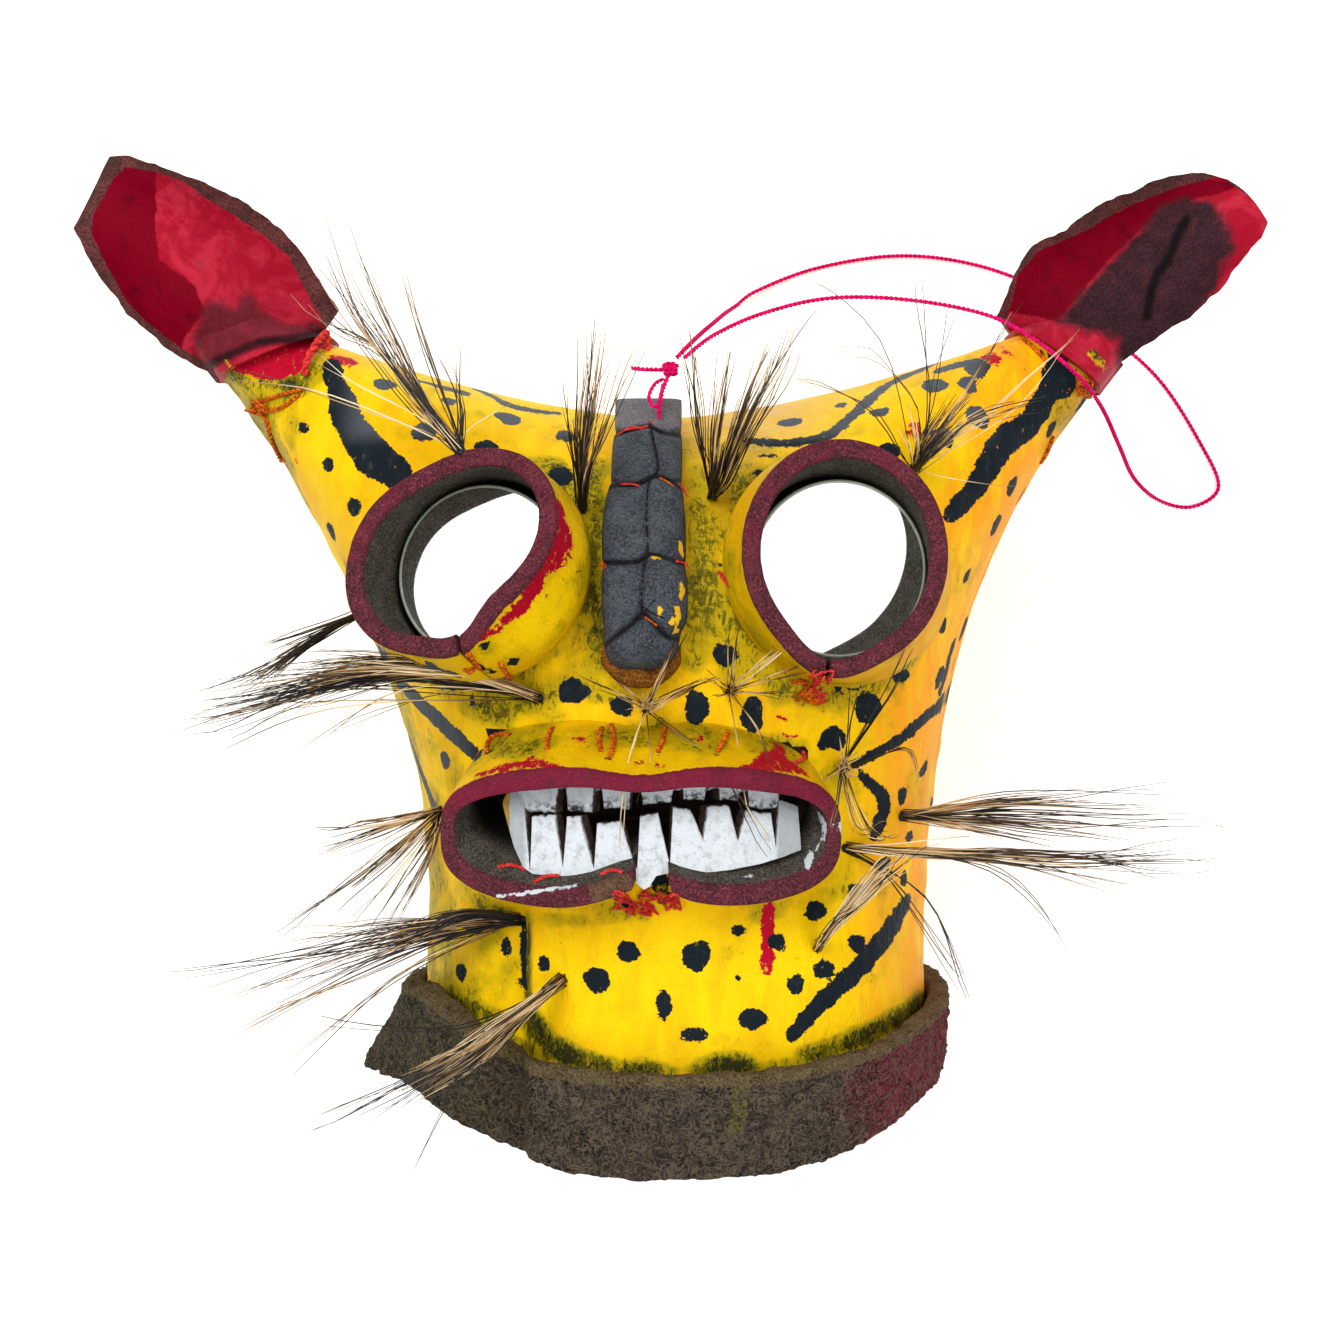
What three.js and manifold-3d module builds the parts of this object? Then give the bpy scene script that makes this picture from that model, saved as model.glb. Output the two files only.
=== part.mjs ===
// A leather feline mask, lying on its back with the face up.
// One thick hide is folded over the crown and sewn down both sides into a helmet. Eye tubes, a mouth
// tube, ears, a nose strip and a collar are sewn on. Units are millimetres, +Z up, +Y to the crown.
import * as THREE from "three";
import { mergeVertices } from "three/addons/utils/BufferGeometryUtils.js";
import Module from "manifold-3d";

const wasm = await Module();
wasm.setup();

// Driving dimensions of the hide
const HIDE = 5;
const TOUCH_GAP = 0.3;
const SLIVER = 0.02;
const JAW_HALF_WIDTH = 90;
const EAR_FLARE = 72;
const FLARE_FROM_Y = -90;
const FLARE_HEIGHT = 200;
const FLARE_POWER = 2.1;
const NECK_Y = -150;
const NECK_RISE = 12;
const CROWN_START_Y = 10;
const CREST_Y = 91;
const EAR_CORNER_Y = 148;
const SIDE_LEAD = 4;
const CREST_SAG_POWER = 1.55;
const FACE_Z = 210;
const CREST_Z = 115;
const MID_Z = 105;
const BACK_Z = -5;
const NECK_BACK_Z = 7.5;
const REST_END_Y = -94;
const NECK_CLEAR_Y = -106;
const FOLD_HALF = 1;
const CORNER_PINCH = 0.52;
const SECTION_ROUNDNESS = 2.5;
const CROWN_ROUNDNESS = 2.2;
const JAW_SHIFT_X = 2.5;
const CROWN_SHIFT_X = -2.5;
const SHIFT_FROM_Y = -50;
const SHIFT_TO_Y = 50;
const HEAD_SIDES = 40;
const LOW_LEVELS = 7;
const CROWN_LEVELS = 10;
const CAVITY_SIDES = 24;
const CAVITY_LOW_LEVELS = 4;
const CAVITY_CROWN_LEVELS = 6;
const CAVITY_START = -0.12;
const CAVITY_END = 1.86;

// The step where the chin panel overlaps the left cheek
const PLEAT_X = -46;
const PLEAT_DEPTH = 10;
const PLEAT_STEP = 5;
const PLEAT_REACH = 38;
const PLEAT_TOP_Y = -72;
const PLEAT_FULL_Y = -86;

// Eye tubes and mirrors
const STRIP = 6.5;
const MIRROR_RADIUS = 30.8;
const MIRROR_ROOM = 0.9;
const MIRROR_THICK = 3;
const EYE_SIDES = 24;
const EYE_BEND_SHARE = 0.55;
const EYE_POINT_WIDTH = 0.35;
const MIRROR_SIDES = 28;
const TUBE_BURIED = 38;
const EYES = {
  left: {
    rim: new THREE.Vector3(-71.2, 39, 233),
    mirror: new THREE.Vector3(-61.2, 32.3, 207.9),
    normal: new THREE.Vector3(-0.36, 0.24, 0.9),
    glass: new THREE.Vector3(-62.2, 32.3, 207.9),
    glassNormal: new THREE.Vector3(-0.15, 0.08, 0.985),
    glassRadius: 29.4,
    rimRadius: 33.9,
    lobe: 5.6,
    lobeAt: 39,
    point: 5,
    pointAt: -78,
    baseSpread: 0,
  },
  right: {
    rim: new THREE.Vector3(57.6, 38.3, 233.7),
    mirror: new THREE.Vector3(56.4, 33.4, 206.4),
    normal: new THREE.Vector3(0.3, 0.22, 0.93),
    glass: new THREE.Vector3(56.4, 33.4, 207.6),
    glassNormal: new THREE.Vector3(0.13, -0.01, 0.991),
    glassRadius: 29.7,
    rimRadius: 37,
    lobe: 1.8,
    lobeAt: 66,
    point: 4.5,
    pointAt: -113,
    baseSpread: 2.2,
  },
};

// Mouth tube and teeth
const MOUTH_X = -9.3;
const MOUTH_Y = -54;
const MOUTH_Z = 240;
const MOUTH_HALF_WIDTH = 65.5;
const MOUTH_HALF_HEIGHT = 21.8;
const MOUTH_PINCH = 3;
const MOUTH_PINCH_WIDTH = 14;
const MOUTH_CURVE = 0.0055;
const MOUTH_SLOPE = 28;
const MOUTH_DEPTH = 48;
const MOUTH_SIDES = 32;
const MOUTH_TAPER = 0.0042;
const MOUTH_ROUNDNESS = 3;
const MOUTH_RING_DEPTHS = [0, 14, 30, MOUTH_DEPTH];
const MOUTH_CUT_DEPTHS = [-12, 10, 32, 62];
const TOOTH_THICK = 4;
const TOOTH_GAP = 1.8;
const TOOTH_LEAN = 0.3;
const GUM_GAP = 0.6;
const SHORT_TOOTH = 0.9;
const TOOTH_START_HEIGHT = 0.94;

// Nose strip, from its rounded tip up to the free tab: [y, z of its top, half width, thickness]
const NOSE_X = -8.2;
const NOSE_STATIONS = [
  [0.5, 221, 10, 9],
  [4, 226, 12.6, 20],
  [13, 227, 13.4, 24],
  [15, 225.6, 13.2, 24],
  [17, 226.6, 13.5, 24],
  [34, 223, 13.5, 24],
  [36.3, 221, 13.2, 24],
  [38.6, 221, 13.4, 24],
  [56, 212.5, 13.1, 24],
  [58.2, 209.8, 12.8, 24],
  [60.4, 209.4, 12.8, 24],
  [70, 201, 12.2, 24],
  [74, 195, 11.8, 22],
  [76, 192, 11.6, 20],
  [85, 181, 11.4, 12],
  [94, 169.5, 11.2, 7],
];
const NOSE_GROOVE = 2.4;
const NOSE_EDGE_ROUND = 12;
const NOSE_FLAT_STATIONS = 4;

// The rough flange under the nose tip
const FLANGE_X = NOSE_X - 1;
const FLANGE_HALF_WIDTH = 14.2;
const FLANGE_TOP_Z = 218.6;
const FLANGE_BEND = 4.2;
const FLANGE_FRONT_Y = -6.5;
const FLANGE_BACK_Y = 8;
const FLANGE_CURL = 3;
const FLANGE_TURN_UP = 0.8;
const FLANGE_THICK = 5.2;

// Ears: distance along the ear, then its two edges across, seen from the front
const EAR_Z = 112;
const EAR_THICK = 5;
const EAR_SOCK = 3.5;
const EAR_CUP = 15;
const EAR_CUP_POWER = 2.2;
const EAR_ROOT_CUP = 0.35;
const EAR_FULL_CUP_AT = 40;
const EAR_TIP_FROM = 62;
const EAR_TIP_TO = 89;
const EAR_TIP_FLATTEN = 0.7;
const EAR_SINK = 9;
const EAR_STEPS = 6;
const EAR_CUT = 4;
const SOCK_FROM = -6;
const SOCK_TO = 8;
const SLAB_REACH = 150;
const SLAB_WIDE = 150;
const SLAB_TALL = 170;
const EARS = {
  left: {
    base: new THREE.Vector3(-144.1, 119.1, EAR_Z),
    along: new THREE.Vector3(-0.769, 0.639, 0),
    seam: new THREE.Vector3(-0.326, 0.945, 0),
    lean: 0.02,
    tipBulge: 1,
    tipSlant: 3.3,
    stations: [
      [-8, -12, 24],
      [2, -19, 27.5],
      [10, -23.5, 31],
      [25, -26.5, 34],
      [49, -26, 31],
      [70, -21, 24.5],
      [84, -16.5, 18.5],
      [89, -15, 14.5],
    ],
  },
  right: {
    base: new THREE.Vector3(140.8, 119.1, EAR_Z),
    along: new THREE.Vector3(0.79, 0.614, 0),
    seam: new THREE.Vector3(0.551, 0.835, 0),
    lean: 0.06,
    tipBulge: 3,
    tipSlant: -1,
    stations: [
      [-8, -12, 21.5],
      [2.6, -18, 27.3],
      [17, -21, 33],
      [29, -21.5, 30.5],
      [45, -23, 29],
      [58, -22, 26],
      [70, -19, 22.5],
      [83, -16.5, 16],
      [89, -13, 8],
    ],
  },
};

// Collar
const COLLAR_LEVEL = 0.12;
const COLLAR_GAP = 0.45;
const COLLAR_THICK = 7.6;
const COLLAR_BACK_THICK = 6.2;
const COLLAR_TOP_Y = -113;
const COLLAR_FRONT_DROP = 20;
const COLLAR_SIDE_HEIGHT = 27;
const COLLAR_FRONT_HEIGHT = 36;
const COLLAR_FRONT_LEAN = 8;
const COLLAR_UNDERLAY_Z = 1.5;
const COLLAR_FLARE = 20;
const COLLAR_FLARE_AT = 188;
const COLLAR_FLARE_WIDTH = 0.42;
const COLLAR_FLARE_POWER = 1.3;
const COLLAR_FLARE_TALL = 6;
const COLLAR_LIFT = 8;
const COLLAR_LIFT_AT = 145;
const COLLAR_LIFT_WIDTH = 0.3;
const COLLAR_SIDES = 36;

// Hanging cord
const CORD_DIAMETER = 1.5;
const CORD_STEPS = 50;
const CORD_KNOT = [0.5, 104, 168];
const KNOT_RADIUS = 2.6;
const KNOT_STRETCH = [0.85, 1.25, 0.85];
const CORD_TIE = [
  [-3.4, 86, 182.5],
  [-3.2, 90, 178.5],
  [-2.6, 95, 173.5],
  [-1.2, 99.5, 169.5],
  CORD_KNOT,
];
const CORD_TAIL = [
  CORD_KNOT,
  [-4.5, 104.2, 167.2],
  [-9, 104.6, 164.5],
  [-13, 105.4, 161],
];
const CORD_ROUTE = [
  [2.8, 108.4, 166.6],
  [7, 114, 156],
  [12, 122, 126],
  [17, 131, 82],
  [22, 140, 38],
  [27.5, 147, 9],
  [36, 153.8, 2.2],
  [60, 163, 1.1],
  [92, 168, 1.1],
  [122, 165, 1.1],
  [150, 155, 1.1],
  [176, 138, 1.1],
  [199, 118, 1.1],
  [216, 92, 1.1],
  [223.5, 74, 1.1],
  [213, 66, 1.4],
  [199, 68, 6],
  [184, 75, 34],
  [170, 84, 84],
  [158, 93.5, 124],
  [148.5, 101.5, 143],
  [140, 108.5, 149],
  [129, 117.5, 147],
  [113, 127, 139],
  [86, 133.5, 129],
  [58, 134, 129],
  [34, 127.5, 138],
  [16, 118, 152],
  [5.5, 108.6, 164.5],
];

const BRISTLE_LEAN = new THREE.Vector3(0.01, 0, 0.02);

// Bristle tufts: root on the hide, tip of the middle bristle, how far the outer ones spread
const BRISTLE_ROOT = 0.8;
const BRISTLE_TIP = 0.3;
const BRISTLE_SIDES = 4;
const BRISTLE_BEND = 0.12;
const BRISTLE_SHORTEN = 0.22;
const BRISTLE_TURN = 2.4;
const TUFT_SLIVER = 0.2;
const KNOB_RADIUS = 1.7;
const TUFTS = [
  { name: "left_brow_tuft", root: [-72, 75.5], tip: [-100, 148, 206], spread: 22, arch: 6, count: 5 },
  { name: "nose_left_tuft", root: [-26.5, 54.5], tip: [-25, 110, 240], spread: 11, arch: 8, count: 5 },
  { name: "nose_right_tuft", root: [14, 56], tip: [22, 112, 236], spread: 17, arch: 8, count: 5 },
  { name: "right_brow_tuft", root: [84, 75], tip: [90, 132, 214], spread: 22, arch: 8, count: 5 },
  { name: "left_cheek_tuft", root: [-42.5, -11.5], tip: [-150, -12, 226], spread: 10, arch: 16, count: 5 },
  { name: "left_eye_side_tuft", root: [-106, 14], tip: [-142, 6, 166], spread: 8, arch: 4, count: 5 },
  { name: "muzzle_middle_tuft", root: [-8, -13], tip: [-14, -14, 246], spread: 24, arch: 0, count: 5 },
  { name: "muzzle_right_tuft", root: [19, -9.5], tip: [25, -16, 246], spread: 18, arch: 0, count: 5 },
  { name: "right_cheek_upper_tuft", root: [60, -32], tip: [98, -18, 222], spread: 17, arch: 6, count: 5 },
  { name: "right_cheek_tuft", root: [62, -62], tip: [160, -58, 196], spread: 14, arch: 6, count: 5 },
  { name: "right_side_tuft", root: [88, -46], tip: [190, -46, 156], spread: 16, arch: 4, count: 5 },
  { name: "right_chin_tuft", root: [52, -94], tip: [84, -64, 226], spread: 12, arch: 4, count: 5 },
  { name: "left_mouth_tuft", root: [-83, -54], tip: [-164, -98, 172], spread: 20, arch: 4, count: 5 },
  { name: "left_jaw_tuft", root: [-57, -81], tip: [-165, -108, 196], spread: 15, arch: 6, count: 5 },
  { name: "chin_tuft", root: [-36, -104], tip: [-84, -144, 240], spread: 11, arch: 4, count: 5 },
];

const FINISH = {
  hide: { color: 0xf0c010, roughness: 0.45 },
  suede: { color: 0x6b2438, roughness: 0.9 },
  mirror: { color: 0xdfe6e4, roughness: 0.05, metalness: 1 },
  black: { color: 0x30383e, roughness: 0.85 },
  tan: { color: 0x8c5518, roughness: 0.95 },
  teeth: { color: 0xdadde0, roughness: 0.6 },
  red: { color: 0xb01630, roughness: 0.4 },
  collar: { color: 0x453a2e, roughness: 0.98 },
  bristle: { color: 0x4a3826, roughness: 0.6 },
  cord: { color: 0xe0186a, roughness: 0.7 },
};

const radians = THREE.MathUtils.degToRad;
const mix = THREE.MathUtils.lerp;
const smooth = (from, to, value) => {
  const share = THREE.MathUtils.clamp((value - from) / (to - from), 0, 1);
  return share * share * (3 - 2 * share);
};
const signedPower = (value, power) => Math.sign(value) * Math.abs(value) ** power;

// Closed surface over rings of equal size, each ring folding flat onto itself at an end
function loft(rings, isLoop = false) {
  const size = rings[0].length;
  const index = [];
  const quad = (a, b, c, d) => index.push(a, b, c, a, c, d);
  const steps = isLoop ? rings.length : rings.length - 1;
  for (let ring = 0; ring < steps; ring += 1) {
    const here = ring * size;
    const above = ((ring + 1) % rings.length) * size;
    for (let side = 0; side < size; side += 1) {
      const next = (side + 1) % size;
      quad(here + side, here + next, above + next, above + side);
    }
  }
  if (!isLoop) {
    const last = (rings.length - 1) * size;
    for (let side = 0; side < size / 2 - 1; side += 1) {
      const far = size - 1 - side;
      quad(far, far - 1, side + 1, side);
      quad(last + side, last + side + 1, last + far - 1, last + far);
    }
  }
  const geometry = new THREE.BufferGeometry();
  const places = rings.flat().flatMap((point) => [point.x, point.y, point.z]);
  geometry.setAttribute("position", new THREE.Float32BufferAttribute(places, 3));
  geometry.setIndex(index);
  if (volumeOf(geometry) < 0) {
    for (let corner = 0; corner < index.length; corner += 3) {
      [index[corner], index[corner + 1]] = [index[corner + 1], index[corner]];
    }
    geometry.setIndex(index);
  }
  return geometry;
}

function volumeOf(geometry) {
  const place = geometry.getAttribute("position");
  const index = geometry.getIndex().array;
  const [a, b, c] = [new THREE.Vector3(), new THREE.Vector3(), new THREE.Vector3()];
  let volume = 0;
  for (let corner = 0; corner < index.length; corner += 3) {
    a.fromBufferAttribute(place, index[corner]);
    b.fromBufferAttribute(place, index[corner + 1]);
    c.fromBufferAttribute(place, index[corner + 2]);
    volume += a.dot(b.cross(c)) / 6;
  }
  return volume;
}

function solidOf(geometry) {
  const bare = new THREE.BufferGeometry();
  bare.setAttribute("position", geometry.getAttribute("position"));
  if (geometry.getIndex()) bare.setIndex(geometry.getIndex());
  const merged = mergeVertices(bare, 1e-5);
  return new wasm.Manifold(new wasm.Mesh({
    numProp: 3,
    vertProperties: new Float32Array(merged.getAttribute("position").array),
    triVerts: new Uint32Array(merged.getIndex().array),
  }));
}

function geometryOf(solid, sliver = SLIVER) {
  const mesh = solid.simplify(sliver).getMesh();
  const geometry = new THREE.BufferGeometry();
  geometry.setAttribute("position", new THREE.Float32BufferAttribute(mesh.vertProperties, 3));
  geometry.setIndex(Array.from(mesh.triVerts));
  return geometry;
}

// Right and up directions in the plane across an axis
function frameAcross(axis) {
  const forward = axis.clone().normalize();
  const right = new THREE.Vector3(0, 1, 0).cross(forward).normalize();
  const up = forward.clone().cross(right);
  return { right, up, forward };
}

// How far the left cheek drops behind the chin panel
function pleatDrop(x, y) {
  const step = smooth(PLEAT_X, PLEAT_X - PLEAT_STEP, x);
  const fade = 1 - smooth(PLEAT_X - PLEAT_STEP, PLEAT_X - PLEAT_REACH, x);
  return PLEAT_DEPTH * step * fade * smooth(PLEAT_TOP_Y, PLEAT_FULL_Y, y);
}

// Half width of the head at a height, from the jaw to the ear corners
function halfWidthAt(y) {
  const rise = Math.max(0, (y - FLARE_FROM_Y) / FLARE_HEIGHT);
  return JAW_HALF_WIDTH + EAR_FLARE * rise ** FLARE_POWER;
}

// A point of the hide. Level 0 is the neck, 1 is where the crown starts, 2 is the crest fold.
// The angle goes round the head from its right side by the face. grow swells the whole head.
function headPoint(level, angle, grow) {
  const crown = Math.max(0, level - 1) * Math.PI / 2;
  const climb = Math.sin(crown) ** (2 / CROWN_ROUNDNESS);
  const keep = Math.max(0, Math.cos(crown)) ** (2 / CROWN_ROUNDNESS);
  const low = Math.min(1, level);
  const middleY = mix(mix(NECK_Y, CROWN_START_Y, low), CREST_Y + grow, climb);
  const sideY = mix(mix(NECK_Y, CROWN_START_Y + SIDE_LEAD, low), EAR_CORNER_Y + grow, climb);
  const middleZ = mix(MID_Z, CREST_Z, climb);
  const across = signedPower(Math.cos(angle), 2 / SECTION_ROUNDNESS);
  const outward = signedPower(Math.sin(angle), 2 / SECTION_ROUNDNESS);
  const centreX = mix(JAW_SHIFT_X, CROWN_SHIFT_X, smooth(SHIFT_FROM_Y, SHIFT_TO_Y, sideY));
  const x = centreX + (halfWidthAt(sideY) + grow) * across;
  const sag = (sideY - middleY) * Math.abs(across) ** CREST_SAG_POWER;
  const y = middleY + sag + NECK_RISE * (1 - outward) * (1 - low) ** 2;
  const reach = outward > 0 ? FACE_Z - middleZ : middleZ - BACK_Z;
  const thin = 1 - CORNER_PINCH * smooth(1.1, 1.7, level) * smooth(0.5, 0.92, Math.abs(across));
  let z = middleZ + (FOLD_HALF + grow + (reach - FOLD_HALF) * keep * thin) * outward;
  if (outward > 0) {
    z -= pleatDrop(x, y) * outward;
  } else {
    const floor = mix(0, NECK_BACK_Z, smooth(REST_END_Y, NECK_CLEAR_Y, y));
    z = Math.max(z, floor - grow);
  }
  return new THREE.Vector3(x, y, z);
}

// The whole head as one closed solid, from a level up to the crest
function headSolid(grow, levels, sides) {
  const rings = levels.map((level) => {
    const ring = [];
    for (let side = 0; side < sides; side += 1) {
      ring.push(headPoint(level, (side + 0.5) / sides * 2 * Math.PI, grow));
    }
    return ring;
  });
  return solidOf(loft(rings));
}

function levelRange(lowSteps, crownSteps, start = 0, end = 2) {
  const levels = [];
  for (let step = 0; step < lowSteps; step += 1) levels.push(mix(start, 1, step / lowSteps));
  for (let step = 0; step <= crownSteps; step += 1) levels.push(mix(1, end, step / crownSteps));
  return levels;
}

// Height of the face over a place, found on the front half of the head
function faceZ(x, y) {
  let [low, high] = [0, 2];
  let point = new THREE.Vector3();
  for (let step = 0; step < 30; step += 1) {
    const level = (low + high) / 2;
    point = facePointAtLevel(level, x);
    if (point.y < y) low = level;
    else high = level;
  }
  return point.z;
}

function facePointAtLevel(level, x) {
  let [low, high] = [0, Math.PI];
  let point = new THREE.Vector3();
  for (let step = 0; step < 30; step += 1) {
    const angle = (low + high) / 2;
    point = headPoint(level, angle, 0);
    if (point.x > x) low = angle;
    else high = angle;
  }
  return point;
}

function faceNormal(x, y) {
  const slopeX = (faceZ(x + 1, y) - faceZ(x - 1, y)) / 2;
  const slopeY = (faceZ(x, y + 1) - faceZ(x, y - 1)) / 2;
  return new THREE.Vector3(-slopeX, -slopeY, 1).normalize();
}

const swollenHead = headSolid(TOUCH_GAP, levelRange(LOW_LEVELS, CROWN_LEVELS), HEAD_SIDES);

// A slab across an ear, between two distances along it
function earSlab(ear, from, to) {
  const box = new THREE.BoxGeometry(to - from, SLAB_WIDE, SLAB_TALL);
  box.rotateZ(Math.atan2(ear.seam.y, ear.seam.x));
  const middle = ear.base.clone().addScaledVector(ear.seam, (from + to) / 2);
  box.translate(middle.x, middle.y, middle.z);
  return solidOf(box);
}

const earCorners = Object.values(EARS).map((ear) => earSlab(ear, EAR_CUT, SLAB_REACH));
const swollenStub = Object.values(EARS).reduce(
  (solid, ear) => solid.subtract(earSlab(ear, EAR_CUT + TOUCH_GAP, SLAB_REACH)), swollenHead);

// Helmet: the folded hide, open at the neck and the mouth
function mouthPoint(angle, depth, inset) {
  const across = signedPower(Math.cos(angle), 2 / MOUTH_ROUNDNESS);
  const upward = signedPower(Math.sin(angle), 2 / MOUTH_ROUNDNESS);
  const taper = 1 - MOUTH_TAPER * Math.min(depth, MOUTH_DEPTH);
  const offset = (MOUTH_HALF_WIDTH * taper - inset) * across;
  const pinch = MOUTH_PINCH * Math.exp(-((offset / MOUTH_PINCH_WIDTH) ** 2));
  const slope = radians(MOUTH_SLOPE);
  return new THREE.Vector3(
    MOUTH_X + offset,
    MOUTH_Y + (MOUTH_HALF_HEIGHT - inset - pinch) * upward + depth * Math.sin(slope),
    MOUTH_Z - MOUTH_CURVE * offset ** 2 - depth * Math.cos(slope),
  );
}

function mouthCut() {
  const rings = MOUTH_CUT_DEPTHS.map((depth) => {
    const ring = [];
    for (let side = 0; side < MOUTH_SIDES; side += 1) {
      ring.push(mouthPoint((side + 0.5) / MOUTH_SIDES * 2 * Math.PI, depth, STRIP + 1));
    }
    return ring;
  });
  return solidOf(loft(rings));
}

function helmetShell() {
  const outside = headSolid(0, levelRange(LOW_LEVELS, CROWN_LEVELS), HEAD_SIDES);
  const levels = levelRange(CAVITY_LOW_LEVELS, CAVITY_CROWN_LEVELS, CAVITY_START, CAVITY_END);
  const inside = headSolid(-HIDE, levels, CAVITY_SIDES);
  let shell = outside.subtract(inside).subtract(mouthCut());
  for (const corner of earCorners) shell = shell.subtract(corner);
  return geometryOf(shell);
}

// Eye tube: a strip of hide bent into a teardrop, round at its base and lobed at its rim
function eyePoint(eye, angle, rise, inset) {
  const { right, up } = frameAcross(eye.normal);
  const tall = eye.rim.distanceTo(eye.mirror);
  const share = Math.max(0, (rise - MIRROR_THICK) / (tall - MIRROR_THICK));
  const centre = eye.mirror.clone().lerp(eye.rim, Math.max(0, rise) / tall);
  const sunk = Math.min(0, rise + MIRROR_THICK);
  centre.addScaledVector(eye.normal, Math.max(-MIRROR_THICK, Math.min(0, rise)));
  centre.z += sunk;
  let gap = angle - radians(eye.pointAt);
  gap = Math.atan2(Math.sin(gap), Math.cos(gap));
  const rimRadius = eye.rimRadius + eye.lobe * Math.cos(2 * (angle - radians(eye.lobeAt)))
    + eye.point * Math.exp(-((gap / EYE_POINT_WIDTH) ** 2));
  const baseRadius = MIRROR_RADIUS + MIRROR_ROOM + STRIP;
  const spread = inset === 0 ? eye.baseSpread : 0;
  const radius = mix(baseRadius + spread, rimRadius, smooth(0, 1, share)) - inset;
  centre.addScaledVector(right, radius * Math.cos(angle));
  return centre.addScaledVector(up, radius * Math.sin(angle));
}

function eyeTube(eye) {
  const height = eye.rim.distanceTo(eye.mirror);
  const rises = [-TUBE_BURIED, -MIRROR_THICK, MIRROR_THICK, height * EYE_BEND_SHARE, height];
  const sections = [];
  for (let side = 0; side < EYE_SIDES; side += 1) {
    const angle = side / EYE_SIDES * 2 * Math.PI;
    const outer = rises.map((rise) => eyePoint(eye, angle, rise, 0));
    const inner = rises.map((rise) => eyePoint(eye, angle, rise, STRIP)).reverse();
    sections.push([...outer, ...inner]);
  }
  return geometryOf(solidOf(loft(sections, true)).subtract(swollenHead));
}

function mirrorDisc(eye) {
  const disc = new THREE.CylinderGeometry(eye.glassRadius, eye.glassRadius, MIRROR_THICK, MIRROR_SIDES);
  const turn = new THREE.Quaternion().setFromUnitVectors(
    new THREE.Vector3(0, 1, 0), eye.glassNormal.clone().normalize());
  disc.applyQuaternion(turn);
  disc.translate(eye.glass.x, eye.glass.y, eye.glass.z);
  return geometryOf(solidOf(disc));
}

// Mouth tube: a strip sewn round the opening, leaning down towards the chin
function mouthLip() {
  const sections = [];
  for (let side = 0; side < MOUTH_SIDES; side += 1) {
    const angle = (side + 0.5) / MOUTH_SIDES * 2 * Math.PI;
    const outer = MOUTH_RING_DEPTHS.map((depth) => mouthPoint(angle, depth, 0));
    const inner = MOUTH_RING_DEPTHS.map((depth) => mouthPoint(angle, depth, STRIP)).reverse();
    sections.push([...outer, ...inner]);
  }
  return geometryOf(solidOf(loft(sections, true)).subtract(swollenHead));
}

// Height of the mouth tube's inner wall above or below its middle line
function mouthWall(offset, side, depth) {
  const pinch = MOUTH_PINCH * Math.exp(-((offset / MOUTH_PINCH_WIDTH) ** 2));
  const halfWidth = MOUTH_HALF_WIDTH * (1 - MOUTH_TAPER * depth) - STRIP;
  const share = Math.abs(offset / halfWidth) ** MOUTH_ROUNDNESS;
  return side * (MOUTH_HALF_HEIGHT - STRIP - pinch) * (1 - share) ** (1 / MOUTH_ROUNDNESS);
}

// A row of teeth cut in one strip: gaps at the free edge, one whole edge at the gum
function toothRow({ fromX, toX, count, side, freeY, gumDepth, freeDepth, notch }) {
  const rings = [];
  const pitch = (toX - fromX) / count;
  const slope = radians(MOUTH_SLOPE);
  const ringAt = (x, share) => {
    const offset = x - MOUTH_X;
    const place = (y, depth) => new THREE.Vector3(
      x, y, MOUTH_Z - MOUTH_CURVE * offset ** 2 - depth * Math.cos(slope));
    const gumAt = (depth) => (
      MOUTH_Y + mouthWall(offset, side, depth) - side * GUM_GAP + depth * Math.sin(slope));
    const depth = mix(gumDepth, freeDepth, share);
    const free = mix(gumAt(gumDepth), freeY, share);
    return [
      place(gumAt(gumDepth), gumDepth),
      place(free, depth),
      place(free + TOOTH_THICK * TOOTH_LEAN, depth + TOOTH_THICK),
      place(gumAt(gumDepth + TOOTH_THICK), gumDepth + TOOTH_THICK),
    ];
  };
  for (let tooth = 0; tooth < count; tooth += 1) {
    const start = fromX + tooth * pitch;
    const end = start + pitch;
    const tall = tooth % 3 === 1 ? SHORT_TOOTH : 1;
    if (tooth > 0) rings.push(ringAt(start + TOOTH_GAP / 5, notch));
    rings.push(ringAt(start + TOOTH_GAP / 2, tall * TOOTH_START_HEIGHT));
    rings.push(ringAt(end - TOOTH_GAP / 2, tall));
    if (tooth < count - 1) rings.push(ringAt(end - TOOTH_GAP / 5, notch));
  }
  return loft(rings);
}

// Nose: a folded strip with a groove down its middle, sewn across into segments
function noseRing([y, topZ, halfWidth, thick], slopeAngle) {
  const profile = [
    [-1, -1], [-1, -0.3], [-0.82, -0.06], [-0.5, 0], [-0.2, -0.03], [0, -0.2],
    [0.2, -0.03], [0.5, 0], [0.82, -0.06], [1, -0.3], [1, -1], [0, -1],
  ];
  return profile.map(([across, height]) => {
    const isUnder = height === -1;
    const isMiddle = across === 0 && !isUnder;
    const drop = isMiddle ? -NOSE_GROOVE : height * NOSE_EDGE_ROUND;
    const lift = isUnder ? -thick : drop;
    return new THREE.Vector3(
      NOSE_X + halfWidth * across,
      y + lift * Math.sin(slopeAngle),
      topZ + lift * Math.cos(slopeAngle),
    );
  });
}

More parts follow.
